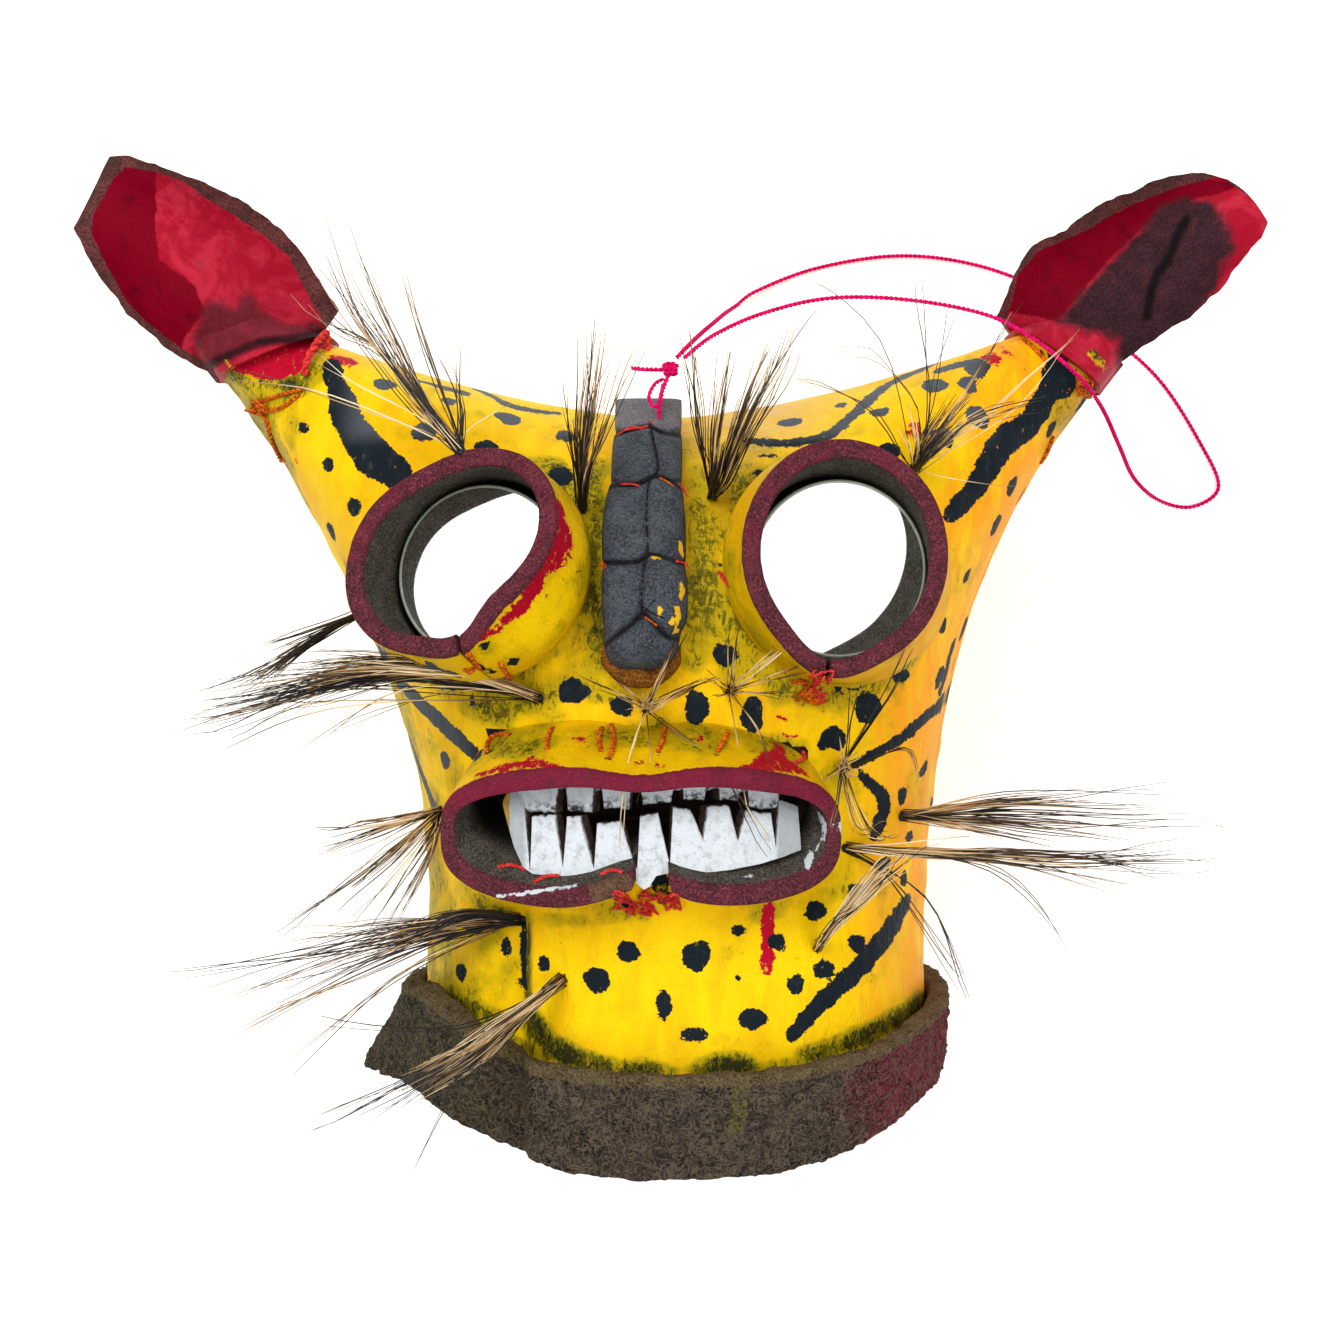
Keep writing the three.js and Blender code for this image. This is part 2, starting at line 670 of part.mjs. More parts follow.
function noseStrip() {
  const rings = NOSE_STATIONS.map((station, place) => {
    const before = NOSE_STATIONS[Math.max(0, place - 2)];
    const after = NOSE_STATIONS[Math.min(NOSE_STATIONS.length - 1, place + 2)];
    const fall = Math.atan2(before[1] - after[1], after[0] - before[0]);
    return noseRing(station, place < NOSE_FLAT_STATIONS ? 0 : fall);
  });
  return solidOf(loft(rings)).subtract(swollenHead).subtract(solidOf(noseFlange(TOUCH_GAP)));
}

// The rough flange that sticks out under the nose tip, bent down at both nostrils
function noseFlange(grow) {
  const rings = [];
  for (let step = -4; step <= 4; step += 1) {
    const across = step / 4;
    const x = FLANGE_X + (FLANGE_HALF_WIDTH + grow) * across;
    const top = FLANGE_TOP_Z - FLANGE_BEND * across ** 2;
    const frontY = FLANGE_FRONT_Y + FLANGE_CURL * Math.abs(across) ** 3;
    const frontTop = top + FLANGE_TURN_UP;
    rings.push([
      new THREE.Vector3(x, FLANGE_BACK_Y + grow, top + grow),
      new THREE.Vector3(x, frontY - grow, frontTop + grow),
      new THREE.Vector3(x, frontY - grow, frontTop - FLANGE_THICK - grow),
      new THREE.Vector3(x, FLANGE_BACK_Y + grow, top - FLANGE_THICK - grow),
    ]);
  }
  return loft(rings);
}

// Ear: a cupped blade of hide on a sock that wraps the corner of the helmet
function earBlade(ear) {
  const side = new THREE.Vector3(ear.along.y, -ear.along.x, 0);
  if (side.y < 0) side.negate();
  const rings = ear.stations.map(([reach, low, high]) => {
    const front = [];
    const back = [];
    const tip = smooth(EAR_TIP_FROM, EAR_TIP_TO, reach);
    const root = mix(EAR_ROOT_CUP, 1, smooth(0, EAR_FULL_CUP_AT, reach));
    const cup = EAR_CUP * root * (1 - EAR_TIP_FLATTEN * tip);
    for (let step = 0; step <= EAR_STEPS; step += 1) {
      const across = step / EAR_STEPS * 2 - 1;
      const tipShape = ear.tipBulge * (1 - across ** 2) + ear.tipSlant * across;
      const point = ear.base.clone().addScaledVector(ear.along, reach + tip * tipShape);
      point.addScaledVector(side, mix(low, high, (across + 1) / 2));
      point.z += ear.lean * reach - EAR_SINK + cup * Math.abs(across) ** EAR_CUP_POWER;
      front.push(point);
      back.push(point.clone().setZ(point.z - EAR_THICK));
    }
    return [...front, ...back.reverse()];
  });
  return solidOf(loft(rings));
}

function earPiece(ear) {
  const around = headSolid(TOUCH_GAP + EAR_SOCK, levelRange(LOW_LEVELS, CROWN_LEVELS), HEAD_SIDES);
  const sock = around.intersect(earSlab(ear, SOCK_FROM, SOCK_TO));
  return geometryOf(sock.add(earBlade(ear)).subtract(swollenStub));
}

// How near an angle round the neck is to a marked direction: 1 at it, falling off with distance
const nearness = (angle, degrees, width) => Math.exp(-(((angle - radians(degrees)) / width) ** 2));

// Collar: a strip round the neck, leaning out at the front and flared at the left cheek
function collarPoint(angle, height, isOutside) {
  const neck = headPoint(COLLAR_LEVEL, angle, 0);
  const front = Math.max(0, Math.sin(angle));
  const back = Math.max(0, -Math.sin(angle));
  const flared = nearness(angle, COLLAR_FLARE_AT, COLLAR_FLARE_WIDTH);
  const lift = COLLAR_LIFT * nearness(angle, COLLAR_LIFT_AT, COLLAR_LIFT_WIDTH);
  const thick = mix(COLLAR_THICK, COLLAR_BACK_THICK, smooth(0, 0.5, back));
  const lean = COLLAR_FRONT_LEAN * front * height;
  const flare = COLLAR_FLARE * flared * (1 - height) ** COLLAR_FLARE_POWER;
  const grow = COLLAR_GAP + lean + flare + (isOutside ? thick : 0);
  const point = headPoint(COLLAR_LEVEL, angle, grow);
  const underlay = neck.z < MID_Z && !isOutside ? COLLAR_UNDERLAY_Z : 0;
  point.z = Math.max(point.z, underlay);
  const top = COLLAR_TOP_Y - COLLAR_FRONT_DROP * front ** 2 + lift;
  const tall = mix(COLLAR_SIDE_HEIGHT, COLLAR_FRONT_HEIGHT, front ** 2) + COLLAR_FLARE_TALL * flared + lift;
  point.y = top - (1 - height) * tall;
  return point;
}

function collar() {
  const heights = [0, 0.35, 0.7, 1];
  const sections = [];
  for (let side = 0; side < COLLAR_SIDES; side += 1) {
    const angle = (side + 0.5) / COLLAR_SIDES * 2 * Math.PI;
    const outer = heights.map((height) => collarPoint(angle, height, true));
    const inner = heights.map((height) => collarPoint(angle, height, false)).reverse();
    sections.push([...outer, ...inner]);
  }
  return geometryOf(solidOf(loft(sections, true)).subtract(swollenHead));
}

// One bristle, four sided and tapering. The small lean keeps its frame off its own axis.
function bristle(root, tip, bend) {
  const middle = root.clone().lerp(tip, 0.5).add(bend);
  const curve = new THREE.QuadraticBezierCurve3(root, middle, tip);
  const { right, up } = frameAcross(tip.clone().sub(root).add(BRISTLE_LEAN));
  const rings = [0, 0.5, 1].map((share) => {
    const centre = curve.getPoint(share);
    const radius = mix(BRISTLE_ROOT, BRISTLE_TIP, share);
    const ring = [];
    for (let side = 0; side < BRISTLE_SIDES; side += 1) {
      const angle = (side + 0.5) / BRISTLE_SIDES * 2 * Math.PI;
      const point = centre.clone().addScaledVector(right, radius * Math.cos(angle));
      ring.push(point.addScaledVector(up, radius * Math.sin(angle)));
    }
    return ring;
  });
  return solidOf(loft(rings));
}

// A tuft: bristles fanned round a middle one, all from one small knob on the hide
function tuft({ root, tip, spread, arch, count }) {
  const foot = new THREE.Vector3(root[0], root[1], faceZ(root[0], root[1]));
  foot.addScaledVector(faceNormal(root[0], root[1]), KNOB_RADIUS + TOUCH_GAP * 3);
  const goal = new THREE.Vector3(...tip);
  const { right, up, forward } = frameAcross(goal.clone().sub(foot));
  const knob = new THREE.OctahedronGeometry(KNOB_RADIUS);
  knob.translate(foot.x, foot.y, foot.z);
  let solid = solidOf(knob);
  const length = goal.distanceTo(foot);
  for (let hair = 0; hair < count; hair += 1) {
    const turn = hair * BRISTLE_TURN;
    const out = spread * Math.sqrt((hair + 0.5) / count);
    const end = goal.clone().addScaledVector(right, out * Math.cos(turn));
    end.addScaledVector(up, out * Math.sin(turn));
    end.addScaledVector(forward, -length * BRISTLE_SHORTEN * ((hair * 5) % 7) / 7);
    const bend = right.clone().multiplyScalar(-BRISTLE_BEND * out * Math.cos(turn));
    bend.z += arch;
    solid = solid.add(bristle(foot, end, bend));
  }
  return geometryOf(solid, TUFT_SLIVER);
}

// Cord: a round tube along its route, eight sided
function cordTube(points, steps) {
  const route = new THREE.CatmullRomCurve3(points.map((point) => new THREE.Vector3(...point)));
  const section = new THREE.Shape();
  section.absarc(0, 0, CORD_DIAMETER / 2, 0, Math.PI * 2);
  const geometry = new THREE.ExtrudeGeometry(section, {
    steps, extrudePath: route, bevelEnabled: false, curveSegments: 4,
  });
  geometry.deleteAttribute("normal");
  geometry.deleteAttribute("uv");
  return mergeVertices(geometry, 1e-4);
}

// Knot with its short tail and the tie that goes down to the hole in the nose tab
function cordKnot() {
  const ball = new THREE.IcosahedronGeometry(KNOT_RADIUS, 1);
  ball.scale(...KNOT_STRETCH);
  ball.translate(...CORD_KNOT);
  const tie = solidOf(cordTube(CORD_TIE, CORD_TIE.length));
  const tail = solidOf(cordTube(CORD_TAIL, CORD_TAIL.length));
  return geometryOf(solidOf(ball).add(tie).add(tail));
}

const mask = new THREE.Group();
function place(name, geometry, finish) {
  geometry.deleteAttribute("normal");
  geometry.computeVertexNormals();
  const mesh = new THREE.Mesh(geometry, new THREE.MeshStandardMaterial(finish));
  mesh.name = name;
  mask.add(mesh);
  return mesh;
}

place("helmet_shell", helmetShell(), FINISH.hide);
for (const [side, eye] of Object.entries(EYES)) {
  place(`${side}_eye_tube`, eyeTube(eye), FINISH.suede);
  place(`${side}_mirror`, mirrorDisc(eye), FINISH.mirror);
}
place("mouth_lip", mouthLip(), FINISH.suede);
place("lower_teeth", toothRow({
  fromX: -48, toX: 42, count: 9, side: -1, freeY: -47.5, gumDepth: 8, freeDepth: 14, notch: 0.42,
}), FINISH.teeth);
place("upper_teeth", toothRow({
  fromX: -46, toX: 38, count: 8, side: 1, freeY: -45.6, gumDepth: 15, freeDepth: 16, notch: 0.4,
}), FINISH.teeth);
place("nose_strip", geometryOf(noseStrip()), FINISH.black);
place("nose_flange", geometryOf(solidOf(noseFlange(0)).subtract(swollenHead)), FINISH.tan);
for (const [side, ear] of Object.entries(EARS)) place(`${side}_ear`, earPiece(ear), FINISH.red);
place("collar", collar(), FINISH.collar);
for (const bundle of TUFTS) place(bundle.name, tuft(bundle), FINISH.bristle);
place("cord_knot", cordKnot(), FINISH.cord);
place("hanging_cord", cordTube(CORD_ROUTE, CORD_STEPS), FINISH.cord);

// The origin goes under the middle of the mask, measured without the cord
const bounds = new THREE.Box3();
for (const mesh of mask.children) {
  if (!mesh.name.includes("cord")) bounds.expandByObject(mesh);
}
const middle = bounds.getCenter(new THREE.Vector3());
mask.position.set(-middle.x, -middle.y, -bounds.min.z);

export default mask;
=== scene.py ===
"""A painted leather feline mask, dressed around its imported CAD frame.

Lengths are millimetres in the mask's drawing frame and become metres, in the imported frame, when a
mesh is made. The drawing frame has the camera over x = 0, y = 0.
"""
import math

import bmesh
import bpy
import numpy as np
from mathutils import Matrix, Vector
from mathutils.bvhtree import BVHTree


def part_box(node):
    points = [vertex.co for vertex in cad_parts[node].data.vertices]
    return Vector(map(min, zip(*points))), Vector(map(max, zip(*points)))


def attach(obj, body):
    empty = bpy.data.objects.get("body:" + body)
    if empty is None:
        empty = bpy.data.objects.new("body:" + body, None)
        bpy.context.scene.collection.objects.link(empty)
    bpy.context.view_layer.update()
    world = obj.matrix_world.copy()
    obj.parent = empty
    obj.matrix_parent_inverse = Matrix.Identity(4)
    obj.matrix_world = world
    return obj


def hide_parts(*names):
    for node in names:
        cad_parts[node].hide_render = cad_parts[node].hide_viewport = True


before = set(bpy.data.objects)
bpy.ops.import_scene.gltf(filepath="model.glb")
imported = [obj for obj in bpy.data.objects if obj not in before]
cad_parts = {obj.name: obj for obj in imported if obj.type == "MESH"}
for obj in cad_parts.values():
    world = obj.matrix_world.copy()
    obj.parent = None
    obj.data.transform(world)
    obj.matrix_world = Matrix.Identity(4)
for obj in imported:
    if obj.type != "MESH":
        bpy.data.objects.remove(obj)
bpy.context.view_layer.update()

# The drawing frame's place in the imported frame, read from the left mirror
MM = 0.001
LEFT_GLASS = np.array([-62.2, 32.3, 207.9])
mirror_low, mirror_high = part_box("left_mirror")
SHIFT = np.array((mirror_low + mirror_high) / 2) / MM - LEFT_GLASS

# The photo's frame and camera
PHOTO_PIXELS = 1338
CAMERA_HEIGHT = 1150.0
LENS = 76.0
SENSOR = 36.0
PIXELS_PER_SLOPE = LENS / SENSOR * PHOTO_PIXELS
MIDDLE_PIXEL = PHOTO_PIXELS / 2

# Driving dimensions of the hide, as in the CAD part
HIDE = 5.0
STRIP = 6.5
JAW_HALF_WIDTH = 90.0
EAR_FLARE = 72.0
FLARE_FROM_Y = -90.0
FLARE_HEIGHT = 200.0
FLARE_POWER = 2.1
NECK_Y = -150.0
NECK_RISE = 12.0
CROWN_START_Y = 10.0
CREST_Y = 91.0
EAR_CORNER_Y = 148.0
SIDE_LEAD = 4.0
CREST_SAG_POWER = 1.55
FACE_Z = 210.0
CREST_Z = 115.0
MID_Z = 105.0
BACK_Z = -5.0
NECK_BACK_Z = 7.5
FOLD_HALF = 1.0
CORNER_PINCH = 0.52
SECTION_ROUNDNESS = 2.5
CROWN_ROUNDNESS = 2.2
PLEAT_X = -46.0
PLEAT_DEPTH = 10.0
PLEAT_STEP = 3.0
PLEAT_REACH = 38.0
PLEAT_STARTS_Y = -72.0
PLEAT_FULL_Y = -86.0
CENTRE_DRIFT = 2.5
CENTRE_DRIFT_Y = 50.0
PINCH_LEVELS = (1.1, 1.7)
PINCH_ACROSS = (0.5, 0.92)
NECK_BACK_Y = (-94.0, -106.0)
EAR_Z = 112.0


def mix(start, end, share):
    return start + (end - start) * share


def smooth(start, end, value):
    share = np.clip((value - start) / (end - start), 0, 1)
    return share * share * (3 - 2 * share)


def signed_power(value, power):
    return np.sign(value) * np.abs(value) ** power


def unit(vector):
    vector = np.asarray(vector, float)
    return vector / np.maximum(np.linalg.norm(vector, axis=-1, keepdims=True), 1e-9)


def noise(points, size, seed=0):
    """Smooth random values from -1 to 1 over space, with features of a size in mm."""
    spread = np.asarray(points, float) / size + 1000.0
    cell = np.floor(spread).astype(np.int64)
    part = spread - cell
    part = part * part * (3 - 2 * part)
    total = np.zeros(len(spread))
    for corner in range(8):
        step = np.array([corner & 1, corner >> 1 & 1, corner >> 2 & 1])
        x, y, z = (cell + step).T
        mixed = (x * 73856093) ^ (y * 19349663) ^ (z * 83492791) ^ (seed * 2654435761 + 97)
        mixed = (mixed ^ (mixed >> 13)) * 1274126177
        value = ((mixed ^ (mixed >> 16)) & 0xFFFF) / 32767.5 - 1
        weight = np.prod(np.where(step == 1, part, 1 - part), axis=1)
        total += weight * value
    return total


def layered_noise(points, size, seed=0, octaves=3):
    total = 0
    for octave in range(octaves):
        total = total + noise(points, size / 2 ** octave, seed + octave) / 2 ** octave
    return total / 1.6


def to_pixels(points):
    scale = PIXELS_PER_SLOPE / (CAMERA_HEIGHT - points[..., 2])
    return np.stack([MIDDLE_PIXEL + points[..., 0] * scale, MIDDLE_PIXEL - points[..., 1] * scale], -1)


def from_pixels(x, y, z):
    scale = (CAMERA_HEIGHT - z) / PIXELS_PER_SLOPE
    return np.array([(x - MIDDLE_PIXEL) * scale, (MIDDLE_PIXEL - y) * scale, z])


def spline(points, steps):
    """Catmull-Rom curve through points, as an array of steps + 1 points."""
    points = np.asarray(points, float)
    last = len(points) - 1
    curve = []
    for place in np.linspace(0, last, steps + 1):
        index = min(int(place), last - 1)
        t = place - index
        before = points[max(index - 1, 0)]
        start, end = points[index], points[index + 1]
        after = points[min(index + 2, last)]
        lead, trail = (end - before) / 2, (after - start) / 2
        cubic = (2 * start - 2 * end + lead + trail) * t ** 3
        square = (-3 * start + 3 * end - 2 * lead - trail) * t ** 2
        curve.append(cubic + square + lead * t + start)
    return np.array(curve)


# Meshes
def make_object(name, points, faces, material, attributes=None, sharp=None, in_metres=True):
    mesh = bpy.data.meshes.new(name)
    points = np.asarray(points, float)
    if in_metres:
        points = (points + SHIFT) * MM
    mesh.from_pydata(points.tolist(), [], [list(face) for face in faces])
    for key, values in (attributes or {}).items():
        layer = mesh.attributes.new(key, "FLOAT", "POINT")
        layer.data.foreach_set("value", np.asarray(values, np.float32))
    if material:
        mesh.materials.append(material)
    mesh.validate()
    piece = bpy.data.objects.new(name, mesh)
    bpy.context.scene.collection.objects.link(piece)
    face_out(mesh)
    shade(mesh, sharp)
    return piece


def face_out(mesh):
    work = bmesh.new()
    work.from_mesh(mesh)
    bmesh.ops.recalc_face_normals(work, faces=work.faces)
    work.to_mesh(mesh)
    work.free()


def shade(mesh, sharp_degrees=None):
    mesh.polygons.foreach_set("use_smooth", [True] * len(mesh.polygons))
    if sharp_degrees:
        mesh.set_sharp_from_angle(angle=math.radians(sharp_degrees))


def grid_faces(rows, columns, wrap_rows=False):
    """Faces between rings of points, each a row."""
    faces = []
    for row in range(rows if wrap_rows else rows - 1):
        here, above = row * columns, (row + 1) % rows * columns
        for column in range(columns):
            beside = (column + 1) % columns
            faces.append((here + column, here + beside, above + beside, above + column))
    return faces


def capped_faces(rows, columns):
    """Faces of a tube of rings with a flat cap on each end."""
    faces = grid_faces(rows, columns)
    faces.append(tuple(range(columns)))
    faces.append(tuple(range(rows * columns - 1, (rows - 1) * columns - 1, -1)))
    return faces


def even_angles(count):
    """Angles round a full turn, each in the middle of its step."""
    return (np.arange(count) + 0.5) / count * 2 * math.pi


def fold_faces(first, count):
    """Faces that close a ring of points flat onto itself."""
    faces = []
    for side in range(count // 2 - 1):
        far = count - 1 - side
        faces.append((first + far, first + far - 1, first + side + 1, first + side))
    return faces


def join_parts(parts):
    """Joins [(points, faces, attributes)] into one set."""
    points, faces, attributes, start = [], [], {}, 0
    for part_points, part_faces, part_attributes in parts:
        points.append(part_points)
        faces += [tuple(start + index for index in face) for face in part_faces]
        for key, values in part_attributes.items():
            attributes.setdefault(key, []).append(np.broadcast_to(values, len(part_points)))
        start += len(part_points)
    return np.concatenate(points), faces, {key: np.concatenate(v) for key, v in attributes.items()}


# A direction that no tube runs along, which sets how its section is turned
FRAME_HINT = np.array([0.13, 0.29, 0.95])
PLY_OFFSET = 0.28
PLY_RADIUS = 0.31


def tube_part(line, radius, sides=6, **attributes):
    """A closed round tube along a line. Radius is one number or one for each point."""
    line = np.asarray(line, float)
    count = len(line)
    along = unit(np.gradient(line, axis=0))
    across = unit(np.cross(along, FRAME_HINT))
    other = np.cross(along, across)
    angles = np.arange(sides) / sides * 2 * math.pi
    reach = np.broadcast_to(radius, count)[:, None, None]
    ring = across[:, None] * np.cos(angles)[None, :, None] + other[:, None] * np.sin(angles)[None, :, None]
    points = (line[:, None] + ring * reach).reshape(-1, 3)
    faces = grid_faces(count, sides)
    faces.append(tuple(range(sides - 1, -1, -1)))
    faces.append(tuple(range((count - 1) * sides, count * sides)))
    return points, faces, attributes


def twisted_parts(line, diameter, pitch, steps_per_turn=10):
    """Two plies wound round each other along a line."""
    line = np.asarray(line, float)
    lengths = np.concatenate([[0], np.cumsum(np.linalg.norm(np.diff(line, axis=0), axis=1))])
    steps = max(6, int(lengths[-1] / pitch * steps_per_turn))
    places = np.linspace(0, lengths[-1], steps)
    even = np.stack([np.interp(places, lengths, line[:, axis]) for axis in range(3)], 1)
    along = unit(np.gradient(even, axis=0))
    across = unit(np.cross(along, FRAME_HINT))
    other = np.cross(along, across)
    parts = []
    for ply in range(2):
        turn = (places / pitch + ply / 2) * 2 * math.pi
        wind = across * np.cos(turn)[:, None] + other * np.sin(turn)[:, None]
        parts.append(tube_part(even + wind * diameter * PLY_OFFSET, diameter * PLY_RADIUS))
    return parts


def cut_with(target, tool, operation="DIFFERENCE"):
    """Boolean of two objects. The tool is removed."""
    modifier = target.modifiers.new("cut", "BOOLEAN")
    modifier.object = tool
    modifier.operation = operation
    modifier.solver = "MANIFOLD"
    bpy.context.view_layer.update()
    result = target.evaluated_get(bpy.context.evaluated_depsgraph_get())
    mesh = bpy.data.meshes.new_from_object(result)
    target.modifiers.clear()
    old = target.data
    target.data = mesh
    bpy.data.meshes.remove(old)
    bpy.data.objects.remove(tool)
    return target


def finish_cut(piece, attributes, sharp_degrees):
    """Gives a piece that was cut in the drawing frame its attributes, its final place and its shading."""
    mesh = piece.data
    points = points_of(mesh)
    for key, values in attributes.items():
        mesh.attributes.new(key, "FLOAT", "POINT").data.foreach_set("value", np.asarray(values, np.float32))
    mesh.vertices.foreach_set("co", ((points + SHIFT) * MM).reshape(-1))
    shade(mesh, sharp_degrees)
    mesh.update()


def points_of(mesh):
    points = np.zeros(len(mesh.vertices) * 3)
    mesh.vertices.foreach_get("co", points)
    return points.reshape(-1, 3)


# Shape of the head
def pleat_drop(x, y):
    step = smooth(PLEAT_X, PLEAT_X - PLEAT_STEP, x)
    fade = 1 - smooth(PLEAT_X - PLEAT_STEP, PLEAT_X - PLEAT_REACH, x)
    return PLEAT_DEPTH * step * fade * smooth(PLEAT_STARTS_Y, PLEAT_FULL_Y, y)


def half_width_at(y):
    rise = np.maximum(0, (y - FLARE_FROM_Y) / FLARE_HEIGHT)
    return JAW_HALF_WIDTH + EAR_FLARE * rise ** FLARE_POWER


def head_point(level, angle, grow):
    """Points of the hide. Level 0 is the neck, 1 is where the crown starts, 2 is the crest fold."""
    crown = np.maximum(0, level - 1) * math.pi / 2
    climb = np.sin(crown) ** (2 / CROWN_ROUNDNESS)
    keep = np.maximum(0, np.cos(crown)) ** (2 / CROWN_ROUNDNESS)
    low = np.minimum(1, level)
    middle_y = mix(mix(NECK_Y, CROWN_START_Y, low), CREST_Y + grow, climb)
    side_y = mix(mix(NECK_Y, CROWN_START_Y + SIDE_LEAD, low), EAR_CORNER_Y + grow, climb)
    middle_z = mix(MID_Z, CREST_Z, climb)
    across = signed_power(np.cos(angle), 2 / SECTION_ROUNDNESS)
    outward = signed_power(np.sin(angle), 2 / SECTION_ROUNDNESS)
    centre_x = mix(CENTRE_DRIFT, -CENTRE_DRIFT, smooth(-CENTRE_DRIFT_Y, CENTRE_DRIFT_Y, side_y))
    x = centre_x + (half_width_at(side_y) + grow) * across
    sag = (side_y - middle_y) * np.abs(across) ** CREST_SAG_POWER
    y = middle_y + sag + NECK_RISE * (1 - outward) * (1 - low) ** 2
    reach = np.where(outward > 0, FACE_Z - middle_z, middle_z - BACK_Z)
    thin = 1 - CORNER_PINCH * smooth(*PINCH_LEVELS, level) * smooth(*PINCH_ACROSS, np.abs(across))
    z = middle_z + (FOLD_HALF + grow + (reach - FOLD_HALF) * keep * thin) * outward
    floor = mix(0, NECK_BACK_Z, smooth(*NECK_BACK_Y, y)) - grow
    z = np.where(outward > 0, z - pleat_drop(x, y) * outward, np.maximum(z, floor))
    return np.stack(np.broadcast_arrays(x, y, z), -1)


HEAD_LOW_ROWS = 96
HEAD_CROWN_ROWS = 84
HEAD_FRONT_COLUMNS = 210
HEAD_BACK_COLUMNS = 84


def head_grid():
    low = np.linspace(0, 1, HEAD_LOW_ROWS, endpoint=False)
    crown = np.linspace(1, 2, HEAD_CROWN_ROWS + 1)
    front = (np.arange(HEAD_FRONT_COLUMNS) + 0.5) / HEAD_FRONT_COLUMNS * math.pi
    back = math.pi + (np.arange(HEAD_BACK_COLUMNS) + 0.5) / HEAD_BACK_COLUMNS * math.pi
    return np.concatenate([low, crown]), np.concatenate([front, back])


# Relief of the hide, each as its height, its size in mm and its seed
HIDE_DENTS = ((0.9, 34, 3), (0.45, 13, 5))
CREASE_HEIGHT = 0.18
SEAM_RIDGE = 1.6
SEAM_RIDGE_WIDTH = 0.035
# The relief is weaker past this level, towards the crest, and fades to nothing on the floor
CALM_FROM_LEVEL = 1.8
CALM_SHARE = 0.85
RESTING_Z = (3.0, 14.0)


def waves(points, *layers):
    """Sum of noises, each as its height, its size in mm and its seed."""
    return sum(height * noise(points, size, seed) for height, size, seed in layers)


def hide_relief(points, angle):
    """How far the worked hide stands off its plain form: dents, wrinkles and the sewn side ridges."""
    creases = CREASE_HEIGHT * layered_noise(points * [1, 0.5, 1], 5, 7)
    side = np.exp(-((np.sin(angle) / SEAM_RIDGE_WIDTH) ** 2))
    ridge = SEAM_RIDGE * side * (1 + 0.3 * noise(points, 7, 11))
    return waves(points, *HIDE_DENTS) + creases + ridge


def relieved_head(grow):
    levels, angles = head_grid()
    level, angle = levels[:, None], angles[None, :]
    points = head_point(level, angle, grow)
    plain = head_point(level, angle, 0.0)
    around = np.roll(plain, -1, 1) - np.roll(plain, 1, 1)
    upward = np.gradient(plain, axis=0)
    normal = unit(np.cross(around, upward))
    centre = np.array([0, 0, MID_Z])
    flip = np.sign(np.sum(normal * (plain - centre), -1, keepdims=True))
    normal = normal * np.where(flip == 0, 1, flip)
    flat = plain.reshape(-1, 3)
    relief = hide_relief(flat, np.broadcast_to(angle, plain.shape[:2]).reshape(-1))
    calm = 1 - CALM_SHARE * smooth(CALM_FROM_LEVEL, 2, level)
    relief = relief.reshape(plain.shape[:2]) * calm
    return points + normal * (relief * smooth(*RESTING_Z, plain[..., 2]))[..., None]


def zip_faces(first, points):
    """Triangles between the front and the back run of a ring that starts at its right end."""
    turn = int(np.argmin(points[:, 0]))
    front = list(range(turn + 1))
    back = list(range(len(points) - 1, turn, -1))
    faces = []
    ahead, behind = 0, 0
    while ahead < len(front) - 1 or behind < len(back) - 1:
        next_front = points[front[ahead + 1], 0] if ahead < len(front) - 1 else -math.inf
        next_back = points[back[behind + 1], 0] if behind < len(back) - 1 else -math.inf
        if next_front >= next_back:
            faces.append((first + front[ahead], first + front[ahead + 1], first + back[behind]))
            ahead += 1
        else:
            faces.append((first + front[ahead], first + back[behind + 1], first + back[behind]))
            behind += 1
    return faces


def head_mesh(points):
    rows, columns = points.shape[:2]
    faces = grid_faces(rows, columns)
    faces += zip_faces(0, points[0])
    faces += zip_faces((rows - 1) * columns, points[-1])
    return points.reshape(-1, 3), faces


def loft_mesh(points):
    rows, columns = points.shape[:2]
    faces = grid_faces(rows, columns)
    faces += fold_faces(0, columns)
    faces += fold_faces((rows - 1) * columns, columns)
    return points.reshape(-1, 3), faces


head_points, head_faces = head_mesh(relieved_head(0.0))
head_tree = BVHTree.FromPolygons([tuple(p) for p in head_points], head_faces)


def face_height(x, y):
    hit = head_tree.ray_cast(Vector((x, y, 500)), Vector((0, 0, -1)))
    return hit[0].z if hit[0] else MID_Z


# Shape of the eye tubes
EYES = {
    "left": {
        "rim": np.array([-71.2, 39, 233]), "mirror": np.array([-61.2, 32.3, 207.9]),
        "normal": unit([-0.36, 0.24, 0.9]), "rim_radius": 33.9, "lobe": 5.6, "lobe_at": 39, "point": 5,
        "point_at": -78, "bulge": 4.2, "bulge_at": 146, "base_spread": 0, "seam_step": -1,
        "glass": LEFT_GLASS, "glass_normal": unit([-0.28, 0.13, 0.95]), "glass_radius": 29.4,
    },
    "right": {
        "rim": np.array([57.6, 38.3, 233.7]), "mirror": np.array([56.4, 33.4, 206.4]),
        "normal": unit([0.3, 0.22, 0.93]), "rim_radius": 37, "lobe": 1.8, "lobe_at": 66, "point": 4.5,
        "point_at": -104, "bulge": 0, "bulge_at": 90, "base_spread": 2.2, "seam_step": 1,
        "glass": np.array([56.4, 33.4, 207.6]), "glass_normal": unit([0.13, -0.01, 0.991]),
        "glass_radius": 29.7,
    },
}
MIRROR_RADIUS = 30.8
MIRROR_ROOM = 0.9
MIRROR_THICK = 3.0
MIRROR_BORDER = 1.1
MIRROR_BEVEL = 0.5
MIRROR_SIDES = 120
EYE_POINT_WIDTH = 0.35
